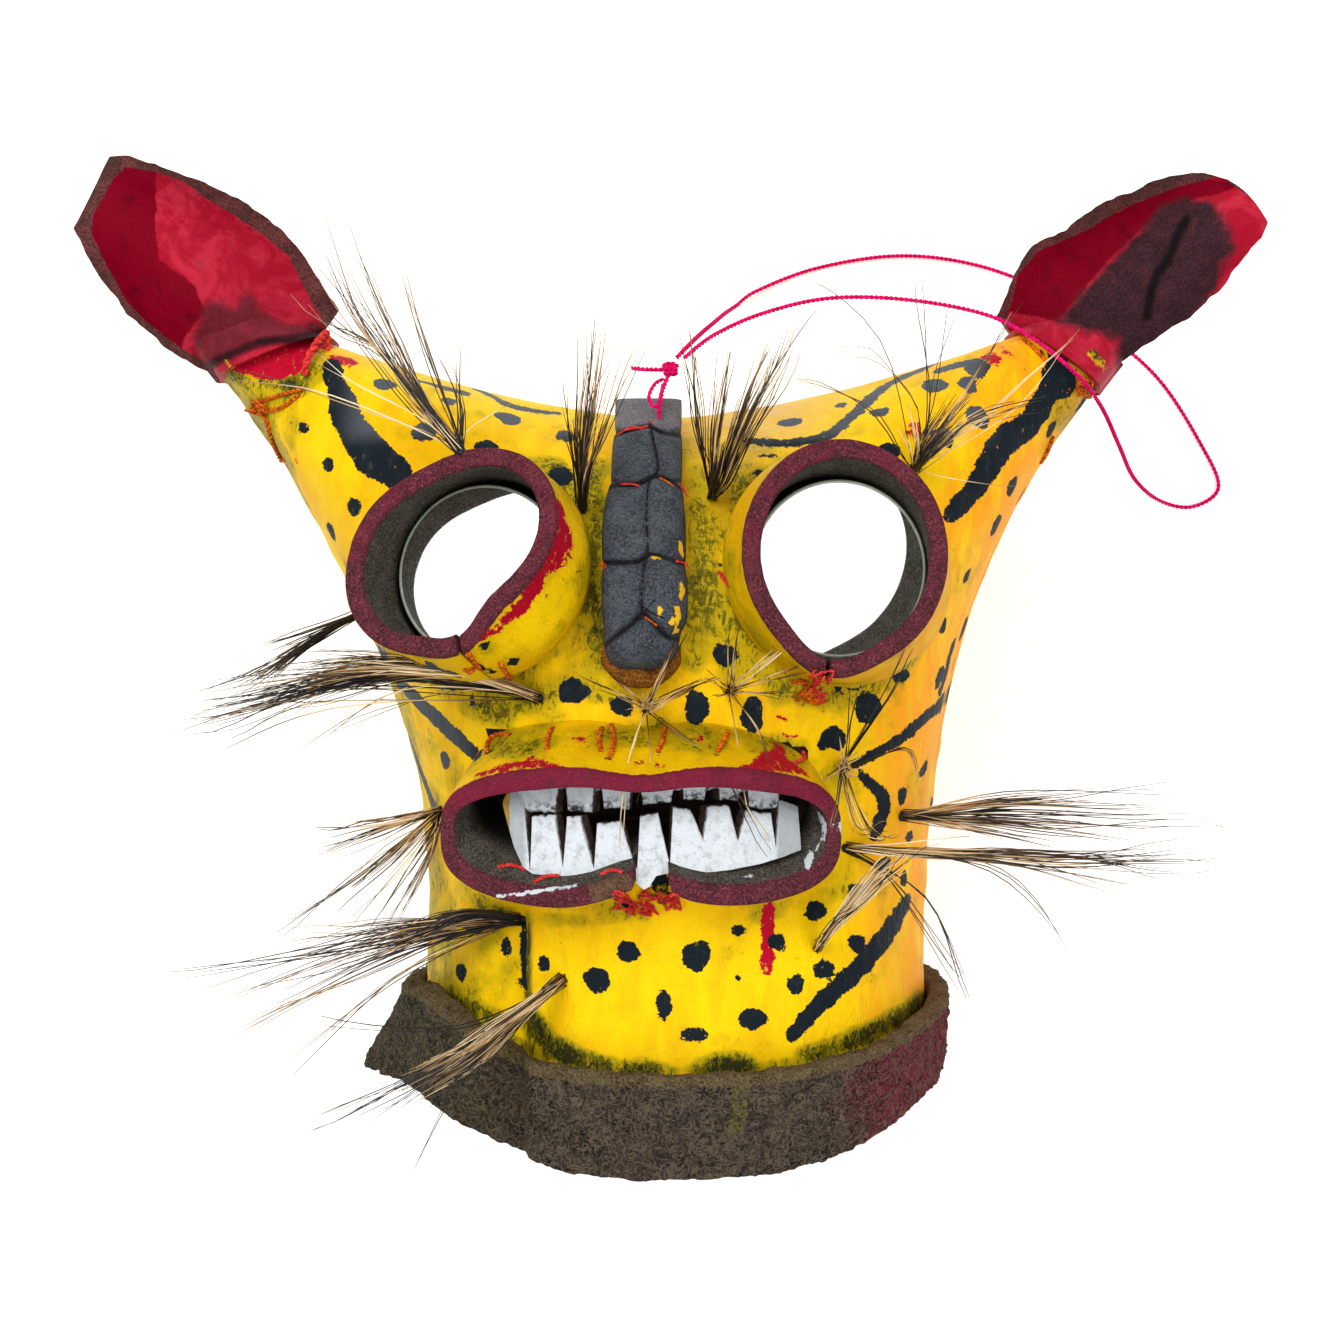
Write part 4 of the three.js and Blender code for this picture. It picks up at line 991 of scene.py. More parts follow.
# Node materials
class Shader:
    """Node material with short calls. The sizes of noise and bumps are in mm."""

    def __init__(self, name):
        self.material = bpy.data.materials.new(name)
        self.material.use_nodes = True
        self.tree = self.material.node_tree
        self.tree.nodes.clear()
        self.output = self.tree.nodes.new("ShaderNodeOutputMaterial")
        self.place = self.node("ShaderNodeTexCoord").outputs["Object"]

    def put(self, value, socket):
        """Links a value from another node to a socket, or sets a constant on it."""
        if isinstance(value, bpy.types.NodeSocket):
            self.tree.links.new(value, socket)
        elif value is not None:
            socket.default_value = value

    def node(self, kind, settings=None, **inputs):
        """A node with its settings and inputs. An input without a name of its own is i and its number."""
        node = self.tree.nodes.new(kind)
        for key, value in (settings or {}).items():
            setattr(node, key, value)
        for key, value in inputs.items():
            self.put(value, node.inputs[int(key[1:]) if key[1:].isdigit() else key])
        return node

    def value(self, key):
        return self.node("ShaderNodeAttribute", {"attribute_name": key}).outputs["Fac"]

    def math(self, operation, first, second=0.0, third=0.0):
        node = self.node("ShaderNodeMath", {"operation": operation}, i0=first, i1=second, i2=third)
        return node.outputs[0]

    def times(self, first, second):
        return self.math("MULTIPLY", first, second)

    def plus(self, first, second):
        return self.math("ADD", first, second)

    def scaled(self, value, factor, offset):
        return self.math("MULTIPLY_ADD", value, factor, offset)

    def step(self, value, start, end):
        """0 before start and 1 after end, with a smooth change between."""
        limits = {"Value": value, "From Min": start, "From Max": end}
        return self.node("ShaderNodeMapRange", {"interpolation_type": "SMOOTHSTEP"}, **limits).outputs[0]

    def noise(self, size_mm, detail=3.0, rough=0.55, stretch=None, warp=0.0):
        place = self.place
        if stretch:
            place = self.node("ShaderNodeMapping", Vector=place, Scale=stretch).outputs[0]
        return self.node("ShaderNodeTexNoise", Vector=place, Scale=1000 / size_mm, Detail=detail,
                         Roughness=rough, Distortion=warp).outputs["Fac"]

    def blend(self, share, first, second):
        return self.node("ShaderNodeMix", {"data_type": "RGBA"}, i0=share, i6=first, i7=second).outputs[2]

    def coat(self, colour, other, strength, share):
        """Another colour over a colour, where share says."""
        return self.blend(share if strength == 1 else self.times(share, strength), colour, other)

    def spots(self, limits, *noise, **shape):
        """Noise cut to spots between two limits."""
        return self.step(self.noise(*noise, **shape), *limits)

    def mottle(self, colour, other, strength, limits, *noise, **shape):
        """Spots of another colour over a colour."""
        return self.coat(colour, other, strength, self.spots(limits, *noise, **shape))

    def rough_edge(self, size_mm, amount):
        """An uneven edge, in mm around zero."""
        return self.scaled(self.noise(size_mm, 4.0, 0.65), 2 * amount, -amount)

    def edged(self, key, size_mm, amount):
        """An attribute in mm with an uneven edge."""
        return self.plus(self.value(key), self.rough_edge(size_mm, amount))

    def suede(self, nap, dark):
        """Fuzzy nap in two tones."""
        share = self.scaled(self.noise(0.85, 2.5, 0.75), 0.85, self.times(self.noise(7), 0.3))
        return self.blend(self.step(share, 0.44, 0.70), dark, nap)

    def ramp(self, value, stops):
        node = self.node("ShaderNodeValToRGB", Fac=value)
        elements = node.color_ramp.elements
        while len(elements) < len(stops):
            elements.new(0.5)
        for element, (position, colour) in zip(elements, stops):
            element.position = position
            element.color = colour
        return node.outputs["Color"]

    def bump(self, height, distance_mm, strength, before=None):
        return self.node("ShaderNodeBump", Height=height, Strength=strength, Distance=distance_mm * MM,
                         Normal=before).outputs[0]

    def relief(self, *layers):
        """Bumps over each other, each as size, detail and roughness of its noise, height and strength."""
        normal = None
        for size_mm, detail, rough, height_mm, strength in layers:
            normal = self.bump(self.noise(size_mm, detail, rough), height_mm, strength, normal)
        return normal

    def finish(self, colour, roughness, normal=None, metallic=0.0, specular=0.5):
        inputs = {"Base Color": colour, "Roughness": roughness, "Normal": normal, "Metallic": metallic,
                  "Specular IOR Level": specular}
        shader = self.node("ShaderNodeBsdfPrincipled", **inputs)
        self.tree.links.new(shader.outputs[0], self.output.inputs[0])
        return self.material


YELLOW = (0.90, 0.575, 0.001, 1)
YELLOW_DEEP = (0.80, 0.43, 0.001, 1)
YELLOW_PALE = (0.86, 0.60, 0.012, 1)
ORANGE = (0.95, 0.33, 0.006, 1)
# Pale tan of a painted sheen on the crown
CROWN_SHEEN_TAN = (0.62, 0.40, 0.14, 1)
# Olive, green and dark tones of dirt and of painted shade
SHADE_AND_GRIME_OLIVE = (0.34, 0.27, 0.004, 1)
SHADE_AND_GRIME_GREEN = (0.090, 0.088, 0.004, 1)
SHADE_AND_GRIME_DARK = (0.013, 0.015, 0.006, 1)
PAINT_BLACK = (0.007, 0.012, 0.017, 1)
# Grey of worn black paint and of its painted sheen on the crest
PAINT_WORN_AND_SHEEN = (0.085, 0.098, 0.108, 1)
PAINT_RED = (0.42, 0.002, 0.020, 1)
DAUB_WHITE = (0.66, 0.70, 0.73, 1)
CRIMSON = (0.24, 0.010, 0.040, 1)
RIM_PALE = (0.34, 0.100, 0.115, 1)
RIM_BLOTCH = (0.060, 0.020, 0.022, 1)
INSIDE_PALE = (0.23, 0.21, 0.17, 1)
# Near black of painted shade deep inside the mouth
INSIDE_SHADE = (0.010, 0.008, 0.007, 1)
GLASS = ((0.90, 0.93, 0.92, 1), (0.96, 0.97, 0.97, 1))
# Pale green glass edge, its lighter tone a painted glint
GLASS_EDGE_AND_GLINT = ((0.20, 0.24, 0.16, 1), (0.46, 0.50, 0.40, 1))
NOSE_DUST = (0.13, 0.145, 0.16, 1)
# Painted shade in the nose's sewn grooves
NOSE_GROOVE_SHADE = (0.006, 0.007, 0.009, 1)
NOSE_SPECK = (0.32, 0.34, 0.36, 1)
NOSE_YELLOW = (0.80, 0.46, 0.01, 1)
TAN_DIRT = (0.035, 0.014, 0.008, 1)
TOOTH_WHITE = (0.66, 0.70, 0.735, 1)
TOOTH_STAIN = (0.36, 0.37, 0.38, 1)
TOOTH_GREY = (0.27, 0.29, 0.30, 1)
TOOTH_PIT = (0.08, 0.06, 0.055, 1)
TOOTH_SOIL = (0.030, 0.024, 0.022, 1)
TOOTH_BROWN = ((0.055, 0.028, 0.018, 1), (0.008, 0.006, 0.006, 1))
TOOTH_YELLOW = ((0.55, 0.30, 0.03, 1), (0.16, 0.10, 0.03, 1))
# Lighter ear red, a painted sheen on the lit side of the fold
EAR_RED_LIT = ((0.35, 0.006, 0.022, 1), (0.47, 0.020, 0.045, 1))
EAR_CRACK = (0.34, 0.004, 0.018, 1)
EAR_SMUDGE = (0.13, 0.025, 0.032, 1)
# Darker ear red, painted shade on the shaded side of the fold
EAR_RED_SHADED = ((0.18, 0.0004, 0.010, 1), (0.085, 0.001, 0.007, 1))
# Red flecks in the ears' painted shade
EAR_SHADE_RED_FLECK = (0.17, 0.014, 0.026, 1)
# Painted shadow line along the ears' base crease
EAR_CREASE_SHADOW = (0.006, 0.005, 0.007, 1)
EAR_DIRT = ((0.62, 0.34, 0.006, 1), (0.030, 0.036, 0.012, 1))
EAR_BROWN = (0.045, 0.028, 0.022, 1)
COLLAR_PURPLE = (0.060, 0.034, 0.038, 1)
COLLAR_FURROW = (0.008, 0.006, 0.006, 1)
COLLAR_DRIP_GREEN = (0.26, 0.22, 0.02, 1)
COLLAR_SCUFF = (0.22, 0.170, 0.115, 1)
COLLAR_FIBRE = (0.24, 0.180, 0.110, 1)
FLOOR_WHITE = (0.93, 0.93, 0.93, 1)
# Naps of suede, each the light tone and the dark one
MAROON = ((0.155, 0.030, 0.044, 1), (0.040, 0.014, 0.018, 1))
BARE_RIM_BROWN = ((0.17, 0.085, 0.055, 1), (0.05, 0.028, 0.020, 1))
TUBE_INSIDE = ((0.105, 0.090, 0.072, 1), (0.030, 0.026, 0.020, 1))
# Raw suede of the inside, darkened to near black as painted shade
HELMET_INSIDE_SHADED = ((0.030, 0.018, 0.011, 1), (0.008, 0.005, 0.004, 1))
NOSE_BLACK = ((0.072, 0.083, 0.098, 1), (0.017, 0.021, 0.028, 1))
# Light grey of a painted sheen on the nose strip's top end
TAB_SHEEN_GREY = ((0.21, 0.20, 0.21, 1), (0.11, 0.105, 0.11, 1))
TAN = ((0.34, 0.13, 0.014, 1), (0.09, 0.03, 0.008, 1))
# Matt maroon suede of the ears' painted shade
EAR_SHADE_SUEDE = ((0.058, 0.021, 0.027, 1), (0.024, 0.011, 0.014, 1))
EAR_BORDER = ((0.17, 0.050, 0.048, 1), (0.050, 0.018, 0.020, 1))
COLLAR_BROWN = ((0.108, 0.082, 0.061, 1), (0.009, 0.007, 0.006, 1))
COLLAR_MOSS = ((0.070, 0.064, 0.032, 1), (0.010, 0.011, 0.008, 1))
COLLAR_MAROON = ((0.25, 0.022, 0.048, 1), (0.050, 0.008, 0.014, 1))
COLLAR_TOP = ((0.21, 0.150, 0.060, 1), (0.050, 0.036, 0.018, 1))
PAINT_GLOSS = 0.05
SUEDE_GLOSS = 0.08
# Depth inside a tube's rim at which its outer paint starts
RIM_DEPTH = 2.2


def yellow_paint(shader):
    """Colour of the yellow coat with its black and red paint, orange tint and dirt, with painted shade in
    the dirt and a painted sheen on the crown and the crest.
    """
    streaks = shader.noise(9, 4.0, 0.6, stretch=(1.0, 0.25, 0.6), warp=0.6)
    tone = shader.scaled(shader.noise(42), 0.6, shader.times(streaks, 0.5))
    colour = shader.blend(shader.step(tone, 0.42, 0.72), YELLOW, YELLOW_DEEP)
    colour = shader.mottle(colour, YELLOW_PALE, 0.5, (0.5, 0.8), 5, 5.0, 0.7)
    warm = shader.times(shader.value("warm"), shader.step(streaks, 0.25, 0.6))
    colour = shader.blend(warm, colour, ORANGE)
    # Dirt and painted shade: a thin film, then green and dark rubs in it, specks, and painted shade in the
    # creases of the nose bridge
    smudge = shader.plus(shader.value("grime"), shader.scaled(shader.noise(16, 4.0, 0.6), 1.5, -0.75))
    film = shader.times(shader.spots((0.50, 0.72), 11, 5.0, 0.7), 0.35)
    film = shader.math("MAXIMUM", shader.step(smudge, 0.05, 0.45), film)
    colour = shader.coat(colour, SHADE_AND_GRIME_OLIVE, 0.72, film)
    rubbed = shader.noise(2.6, 5.0, 0.74, stretch=(0.9, 0.45, 0.9), warp=1.4)
    rubbed = shader.step(shader.scaled(smudge, 0.34, rubbed), 0.66, 0.76)
    colour = shader.coat(colour, SHADE_AND_GRIME_GREEN, 0.85, rubbed)
    scribble = shader.noise(1.5, 4.0, 0.72, stretch=(0.8, 0.4, 0.8), warp=2.0)
    scribble = shader.step(shader.scaled(smudge, 0.36, scribble), 0.78, 0.86)
    colour = shader.coat(colour, SHADE_AND_GRIME_DARK, 0.9, scribble)
    colour = shader.mottle(colour, SHADE_AND_GRIME_GREEN, 0.5, (0.66, 0.72), 1.3, 3.0, 0.7)
    # Painted shade: dark green crease lines beside the nose bridge
    creases = shader.spots((0.50, 0.60), 2.6, 4.0, 0.6, stretch=(0.22, 1.5, 1.0), warp=0.7)
    colour = shader.coat(colour, SHADE_AND_GRIME_GREEN, 0.72, shader.times(creases, shader.value("bridge_crease_shade")))
    # Painted sheen: pale tan patches high on the crown, where its glossy top catches the light
    crown_sheen_mask = shader.times(shader.value("crown_sheen"), shader.spots((0.32, 0.54), 4, 5.0, 0.7))
    colour = shader.blend(crown_sheen_mask, colour, CROWN_SHEEN_TAN)
    # Red and black paint with uneven edges, dry brush marks and scratches
    edge = shader.plus(shader.rough_edge(3.4, 1.2), shader.rough_edge(1.2, 1.1))
    red = shader.step(shader.plus(shader.value("red"), shader.times(edge, 1.5)), 0.3, -0.1)
    dry = shader.spots((0.60, 0.68), 2.2, 5.0, 0.8, stretch=(1.0, 0.5, 1.0))
    colour = shader.blend(shader.times(red, shader.scaled(dry, -0.75, 1.0)), colour, PAINT_RED)
    # The black greys where it is scuffed and worn, and as a painted sheen on the crest
    scuffs = shader.spots((0.54, 0.80), 2.6, 5.0, 0.72, stretch=(1, 0.4, 1))
    worn_and_sheen = shader.plus(shader.times(scuffs, 0.38), shader.value("worn_and_sheen"))
    black = shader.step(shader.plus(shader.value("black"), edge), 0.14, -0.12)
    scratch = shader.spots((0.66, 0.72), 1.8, 4.0, 0.75, stretch=(1.0, 0.5, 1.0))
    black = shader.times(black, shader.scaled(scratch, -0.8, 1.0))
    return shader.blend(black, colour, shader.blend(worn_and_sheen, PAINT_BLACK, PAINT_WORN_AND_SHEEN))


def tube_material():
    """A strip of hide: painted outside, maroon on its cut rim, raw suede inside."""
    shader = Shader("hide_strip")
    rim = shader.mottle(shader.suede(*MAROON), RIM_PALE, 0.6, (0.56, 0.66), 0.8, 2.0, 0.8)
    rim = shader.coat(rim, CRIMSON, 0.6, shader.step(shader.edged("crimson", 9, 0.5), 0.35, 0.9))
    rim = shader.mottle(rim, RIM_BLOTCH, 0.5, (0.50, 0.70), 8, 5.0, 0.68)
    bare = shader.step(shader.edged("bare_rim", 4, 1.6), 0.5, -0.5)
    rim = shader.blend(bare, rim, shader.suede(*BARE_RIM_BROWN))
    raw = shader.mottle(shader.suede(*TUBE_INSIDE), INSIDE_PALE, 0.6, (0.54, 0.66), 0.9, 2.0, 0.8)
    # Painted shade: deep inside the mouth tube its inner wall goes near black
    deep = shader.times(shader.step(shader.value("depth"), 13, 26), shader.value("hollow"))
    raw = shader.blend(deep, raw, INSIDE_SHADE)
    edge = shader.rough_edge(3.0, 1.5)
    depth = shader.plus(shader.value("depth"), edge)
    inset = shader.value("inset")
    below_rim = shader.step(depth, RIM_DEPTH - 0.2, RIM_DEPTH + 0.3)
    painted = shader.times(below_rim, shader.step(inset, 1.2, 0.6))
    colour = shader.blend(painted, rim, yellow_paint(shader))
    inner_edge = shader.plus(inset, shader.times(edge, 0.25))
    inside = shader.times(shader.step(inner_edge, STRIP - 1.3, STRIP - 0.8), shader.step(depth, 0.8, 2.6))
    colour = shader.blend(inside, colour, raw)
    colour = shader.blend(shader.step(shader.edged("white", 2.0, 1.0), 0.2, -0.1), colour, DAUB_WHITE)
    normal = shader.relief((0.8, 4.0, 0.8, 0.7, 0.9), (1.8, 4.0, 0.7, 0.6, 0.8))
    return shader.finish(colour, shader.scaled(painted, -0.40, 0.92), normal, specular=PAINT_GLOSS)


def helmet_material():
    shader = Shader("painted_hide")
    # Inside faces take raw suede darkened to near black, as painted shade
    inside = shader.step(shader.value("inner"), 0.05, 0.12)
    colour = shader.blend(inside, yellow_paint(shader), shader.suede(*HELMET_INSIDE_SHADED))
    wrinkle = shader.noise(6.5, 4.0, 0.62, stretch=(1.0, 0.45, 0.8), warp=1.0)
    brush = shader.noise(2.4, 3.0, 0.6, stretch=(1.0, 0.3, 0.7))
    normal = shader.bump(brush, 0.45, 0.6, shader.bump(wrinkle, 1.6, 0.6))
    normal = shader.bump(shader.noise(1.1, 4.0, 0.6), 0.22, 0.7, normal)
    gloss = shader.scaled(inside, 0.30, shader.scaled(shader.noise(12), 0.20, 0.42))
    return shader.finish(colour, gloss, normal, specular=PAINT_GLOSS)


def mirror_material():
    shader = Shader("mirror_glass")
    haze = shader.scaled(shader.noise(30), 0.05, 0.015)
    return shader.finish(shader.blend(shader.noise(18, 2.0), *GLASS), haze, metallic=1.0)


def mirror_edge_material():
    shader = Shader("mirror_glass_edge")
    # The pale green of the glass edge, its lighter tone a painted glint on the bevel
    colour = shader.blend(shader.noise(4), *GLASS_EDGE_AND_GLINT)
    return shader.finish(colour, 0.25, shader.relief((1.2, 3.0, 0.55, 0.2, 0.5)))


def nose_material():
    shader = Shader("black_suede")
    colour = shader.mottle(shader.suede(*NOSE_BLACK), NOSE_DUST, 0.45, (0.50, 0.8), 5, 5.0, 0.7)
    # Painted sheen: the strip's thin top end goes light grey
    tab_sheen = shader.times(shader.value("tab_sheen"), shader.value("tab_sheen"))
    colour = shader.coat(colour, shader.suede(*TAB_SHEEN_GREY), 0.85, tab_sheen)
    # Painted shade darkens the sewn grooves
    colour = shader.coat(colour, NOSE_GROOVE_SHADE, 0.7, shader.step(shader.value("groove"), 0.7, 2.2))
    colour = shader.mottle(colour, NOSE_SPECK, 0.5, (0.65, 0.71), 0.75, 2.0, 0.8)
    colour = shader.blend(shader.step(shader.edged("fleck", 1.6, 0.8), 0.12, -0.1), colour, NOSE_YELLOW)
    normal = shader.relief((2.5, 4.0, 0.65, 0.9, 0.8), (0.6, 4.0, 0.75, 0.5, 1.0))
    return shader.finish(colour, 0.8, normal, specular=0.22)


def flange_material():
    shader = Shader("tan_rough_leather")
    colour = shader.mottle(shader.suede(*TAN), TAN_DIRT, 0.6, (0.5, 0.72), 4, 4.0, 0.7)
    return shader.finish(colour, 0.95, shader.relief((0.9, 4.0, 0.8, 0.9, 1.0)), specular=SUEDE_GLOSS)


def teeth_material():
    """White paint with stains, brown along the cut edges and yellow at the strip's left end."""
    shader = Shader("painted_teeth")
    colour = shader.mottle(TOOTH_WHITE, TOOTH_STAIN, 1, (0.46, 0.72), 3.2, 6.0, 0.8)
    colour = shader.coat(colour, TOOTH_GREY, 0.7, shader.value("grey"))
    colour = shader.mottle(colour, TOOTH_PIT, 0.7, (0.60, 0.70), 1.2, 4.0, 0.85)
    brown = shader.mottle(*TOOTH_BROWN, 1, (0.4, 0.7), 2.0, 4.0, 0.7)
    colour = shader.coat(colour, brown, 0.9, shader.step(shader.edged("edge", 2.4, 4.0), 1.6, -1.0))
    soil = shader.times(shader.spots((0.42, 0.6), 2.4, 5.0, 0.7), shader.value("stained"))
    soil = shader.times(soil, shader.step(shader.value("edge"), 14, 3))
    colour = shader.blend(soil, colour, TOOTH_SOIL)
    colour = shader.blend(shader.step(shader.value("wall"), 0.10, 0.22), colour, brown)
    cut_end = shader.step(shader.edged("left", 3.0, 2.0), 7.5, 6.0)
    cut_end = shader.times(cut_end, shader.math("SUBTRACT", 1.0, shader.value("stained")))
    colour = shader.blend(cut_end, colour, shader.blend(shader.noise(3, 4.0), *TOOTH_YELLOW))
    return shader.finish(colour, 0.6, shader.relief((1.0, 5.0, 0.75, 0.6, 0.9)), specular=0.3)


def ear_material(name, shade_amount):
    """Red glossy paint inside a border of bare maroon-brown suede. The red is lighter on the lit side of
    the fold and darker on its shaded side, as painted sheen and painted shade, with a darker zone of
    painted shade in the cup and a painted shadow line along the base crease.
    """
    shader = Shader(name)
    # Painted sheen: the lighter red of the lit side of the fold
    red = shader.mottle(*EAR_RED_LIT, 1, (0.42, 0.62), 14, 6.0, 0.68, warp=1.0)
    red = shader.mottle(red, EAR_CRACK, 0.45, (0.56, 0.66), 3.6, 5.0, 0.75, warp=1.5)
    red = shader.mottle(red, EAR_SMUDGE, 0.6, (0.54, 0.76), 8, 6.0, 0.72)
    # Painted shade: the darker red of the fold's shaded side
    shaded_red = shader.mottle(*EAR_RED_SHADED, 1, (0.5, 0.78), 9, 5.0, 0.7)
    red = shader.blend(shader.step(shader.edged("deep", 6, 1.8), 0.5, -0.5), red, shaded_red)
    # Painted shade in the cup and above the base crease, drawn as matt maroon suede with red flecks
    dark = shader.times(shader.step(shader.edged("dark", 6, 4.0), 2.2, -2.2), shade_amount)
    plain = shader.mottle(shader.suede(*EAR_SHADE_SUEDE), EAR_SHADE_RED_FLECK, 0.45, (0.54, 0.78), 7, 5.0, 0.7)
    red = shader.blend(dark, red, plain)
    # A painted shadow line along the base crease
    red = shader.coat(red, EAR_CREASE_SHADOW, 0.93, shader.step(shader.edged("crease_shadow", 2.5, 0.7), 3.0, 0.6))
    smudge = shader.mottle(*EAR_DIRT, 1, (0.46, 0.60), 4, 5.0, 0.7)
    red = shader.blend(shader.step(shader.edged("flap_dirt", 5, 2.6), 0.5, -0.5), red, smudge)
    border = shader.mottle(shader.suede(*EAR_BORDER), EAR_BROWN, 0.6, (0.45, 0.62), 9, 4.0, 0.65)
    bare = shader.step(shader.edged("painted", 3.0, 0.7), -0.2, 0.2)
    normal = shader.relief((0.8, 4.0, 0.75, 0.5, 0.7), (4.5, 4.0, 0.6, 1.3, 0.6))
    matt = shader.math("MAXIMUM", bare, dark)
    gloss = shader.scaled(matt, 0.5, shader.scaled(shader.noise(10), 0.2, 0.24))
    return shader.finish(shader.blend(bare, red, border), gloss, normal, specular=0.5 * PAINT_GLOSS)


def collar_material():
    shader = Shader("rough_collar")
    colour = shader.mottle(shader.suede(*COLLAR_BROWN), COLLAR_PURPLE, 0.35, (0.40, 0.62), 30)
    colour = shader.mottle(colour, COLLAR_FURROW, 0.75, (0.46, 0.36), 3.6, 5.0, 0.75, (0.5, 1.0, 1.0), 0.8)
    moss = shader.step(shader.edged("moss", 20, 0.5), 0.3, 0.9)
    colour = shader.coat(colour, shader.suede(*COLLAR_MOSS), 0.85, moss)
    worn_red = shader.scaled(shader.spots((0.36, 0.52), 6, 5.0, 0.75), 0.45, 0.45)
    red = shader.times(shader.step(shader.edged("maroon", 16, 24.0), 9.0, -16.0), worn_red)
    colour = shader.blend(red, colour, shader.suede(*COLLAR_MAROON))
    top = shader.step(shader.edged("top", 3.0, 0.35), 0.35, 0.65)
    colour = shader.coat(colour, shader.suede(*COLLAR_TOP), 0.85, top)
    drip = shader.step(shader.edged("drip", 2.5, 2.4), 0.4, -0.4)
    drip = shader.times(drip, shader.spots((0.46, 0.60), 2.0, 4.0, 0.8))
    colour = shader.coat(colour, COLLAR_DRIP_GREEN, 0.55, drip)
    colour = shader.mottle(colour, COLLAR_SCUFF, 0.45, (0.58, 0.66), 1.6, 3.0, 0.8)
    curl = shader.math("ABSOLUTE", shader.math("SUBTRACT", shader.noise(6.0, 2.0, 0.6, warp=2.2), 0.5))
    colour = shader.coat(colour, COLLAR_FIBRE, 0.45, shader.step(curl, 0.050, 0.020))
    normal = shader.relief((4.0, 5.0, 0.7, 1.8, 0.8), (0.9, 5.0, 0.8, 1.2, 1.0))
    return shader.finish(colour, 0.97, normal, specular=SUEDE_GLOSS)


# Colours of a bristle from its root to its tip
BLACK_BRISTLE = [
    (0.0, (0.006, 0.006, 0.008, 1)), (0.8, (0.010, 0.009, 0.010, 1)), (1.0, (0.035, 0.026, 0.022, 1)),
]
# The other kinds: the value of the kind attribute from which each one holds, and its colours
BRISTLE_KINDS = {
    0.12: [(0.0, (0.006, 0.006, 0.008, 1)), (0.42, (0.016, 0.012, 0.011, 1)),
     (0.68, (0.09, 0.050, 0.028, 1)),
           (0.88, (0.40, 0.25, 0.11, 1)), (1.0, (0.30, 0.18, 0.09, 1))],
    0.37: [(0.06, (0.012, 0.008, 0.006, 1)), (0.22, (0.24, 0.12, 0.040, 1)), (0.42, (0.85, 0.62, 0.32, 1)),
           (0.58, (0.55, 0.32, 0.12, 1)), (0.70, (0.030, 0.018, 0.012, 1)),
           (1.0, (0.006, 0.005, 0.006, 1))],
    0.75: [(0.0, (0.20, 0.10, 0.035, 1)), (0.20, (0.82, 0.62, 0.34, 1)), (0.75, (0.90, 0.72, 0.44, 1)),
           (0.95, (0.36, 0.21, 0.09, 1))],
}


def hair_material():
    """Bristles: black, black with pale tips, banded, or pale with darker tips."""
    shader = Shader("boar_bristle")
    along = shader.value("along")
    shifted = shader.scaled(shader.value("tone"), 0.14, along)
    kind = shader.value("kind")
    colour = shader.ramp(along, BLACK_BRISTLE)
    for start, stops in BRISTLE_KINDS.items():
        colour = shader.blend(shader.step(kind, start, start + 0.01), colour, shader.ramp(shifted, stops))
    return shader.finish(colour, 0.45, specular=0.3)


def thread_material(name, colour, dark):
    shader = Shader(name)
    mixed = shader.mottle(dark, colour, 1, (0.40, 0.68), 1.6, 4.0, 0.7)
    fibres = shader.noise(0.35, 3.0, 0.7, stretch=(1, 1, 0.35))
    return shader.finish(mixed, 0.75, shader.bump(fibres, 0.2, 0.8), specular=SUEDE_GLOSS)


HELMET = helmet_material()
TUBE = tube_material()
MIRROR = mirror_material()
MIRROR_EDGE = mirror_edge_material()
NOSE = nose_material()
FLANGE = flange_material()
TEETH = teeth_material()
COLLAR = collar_material()
HAIR = hair_material()
PINK = thread_material("pink_cord", (0.93, 0.004, 0.205, 1), (0.56, 0.001, 0.090, 1))
ORANGE_THREAD = thread_material("orange_thread", (0.88, 0.20, 0.008, 1), (0.34, 0.05, 0.005, 1))
RED_THREAD = thread_material("red_thread", (0.84, 0.075, 0.050, 1), (0.48, 0.020, 0.022, 1))
CRUMB_THREAD = thread_material("yellow_crumb_thread", (0.45, 0.36, 0.01, 1), (0.06, 0.07, 0.01, 1))
DARK_THREAD = thread_material("dark_thread", (0.030, 0.026, 0.028, 1), (0.008, 0.008, 0.010, 1))


def dress(piece, slot, *nodes):
    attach(piece, "root")
    if nodes:
        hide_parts(*nodes)
    return piece


def dress_parts(name, parts, material, slot, *nodes):
    """One piece made of several parts."""
    points, faces, attributes = join_parts(parts)
    return dress(make_object(name, points, faces, material, attributes), slot, *nodes)


# Helmet
CAVITY_COLUMNS = 96
MOUTH_CUT_DEPTHS = (-12, 10, 32, 62)
MOUTH_CUT_SIDES = 120


def cavity_object():
    levels = np.concatenate([np.linspace(-0.12, 1, 24, endpoint=False), np.linspace(1, 1.86, 20)])
    angles = even_angles(CAVITY_COLUMNS)
    points, faces = head_mesh(head_point(levels[:, None], angles[None, :], -HIDE))
    return make_object("cavity", points, faces, None, in_metres=False)


def mouth_cut_object():
    angles = even_angles(MOUTH_CUT_SIDES)
    rings = [[mouth_point(angle, depth, STRIP + 1) for angle in angles] for depth in MOUTH_CUT_DEPTHS]
    points, faces = loft_mesh(np.array(rings))
    return make_object("mouth_cut", points, faces, None, in_metres=False)


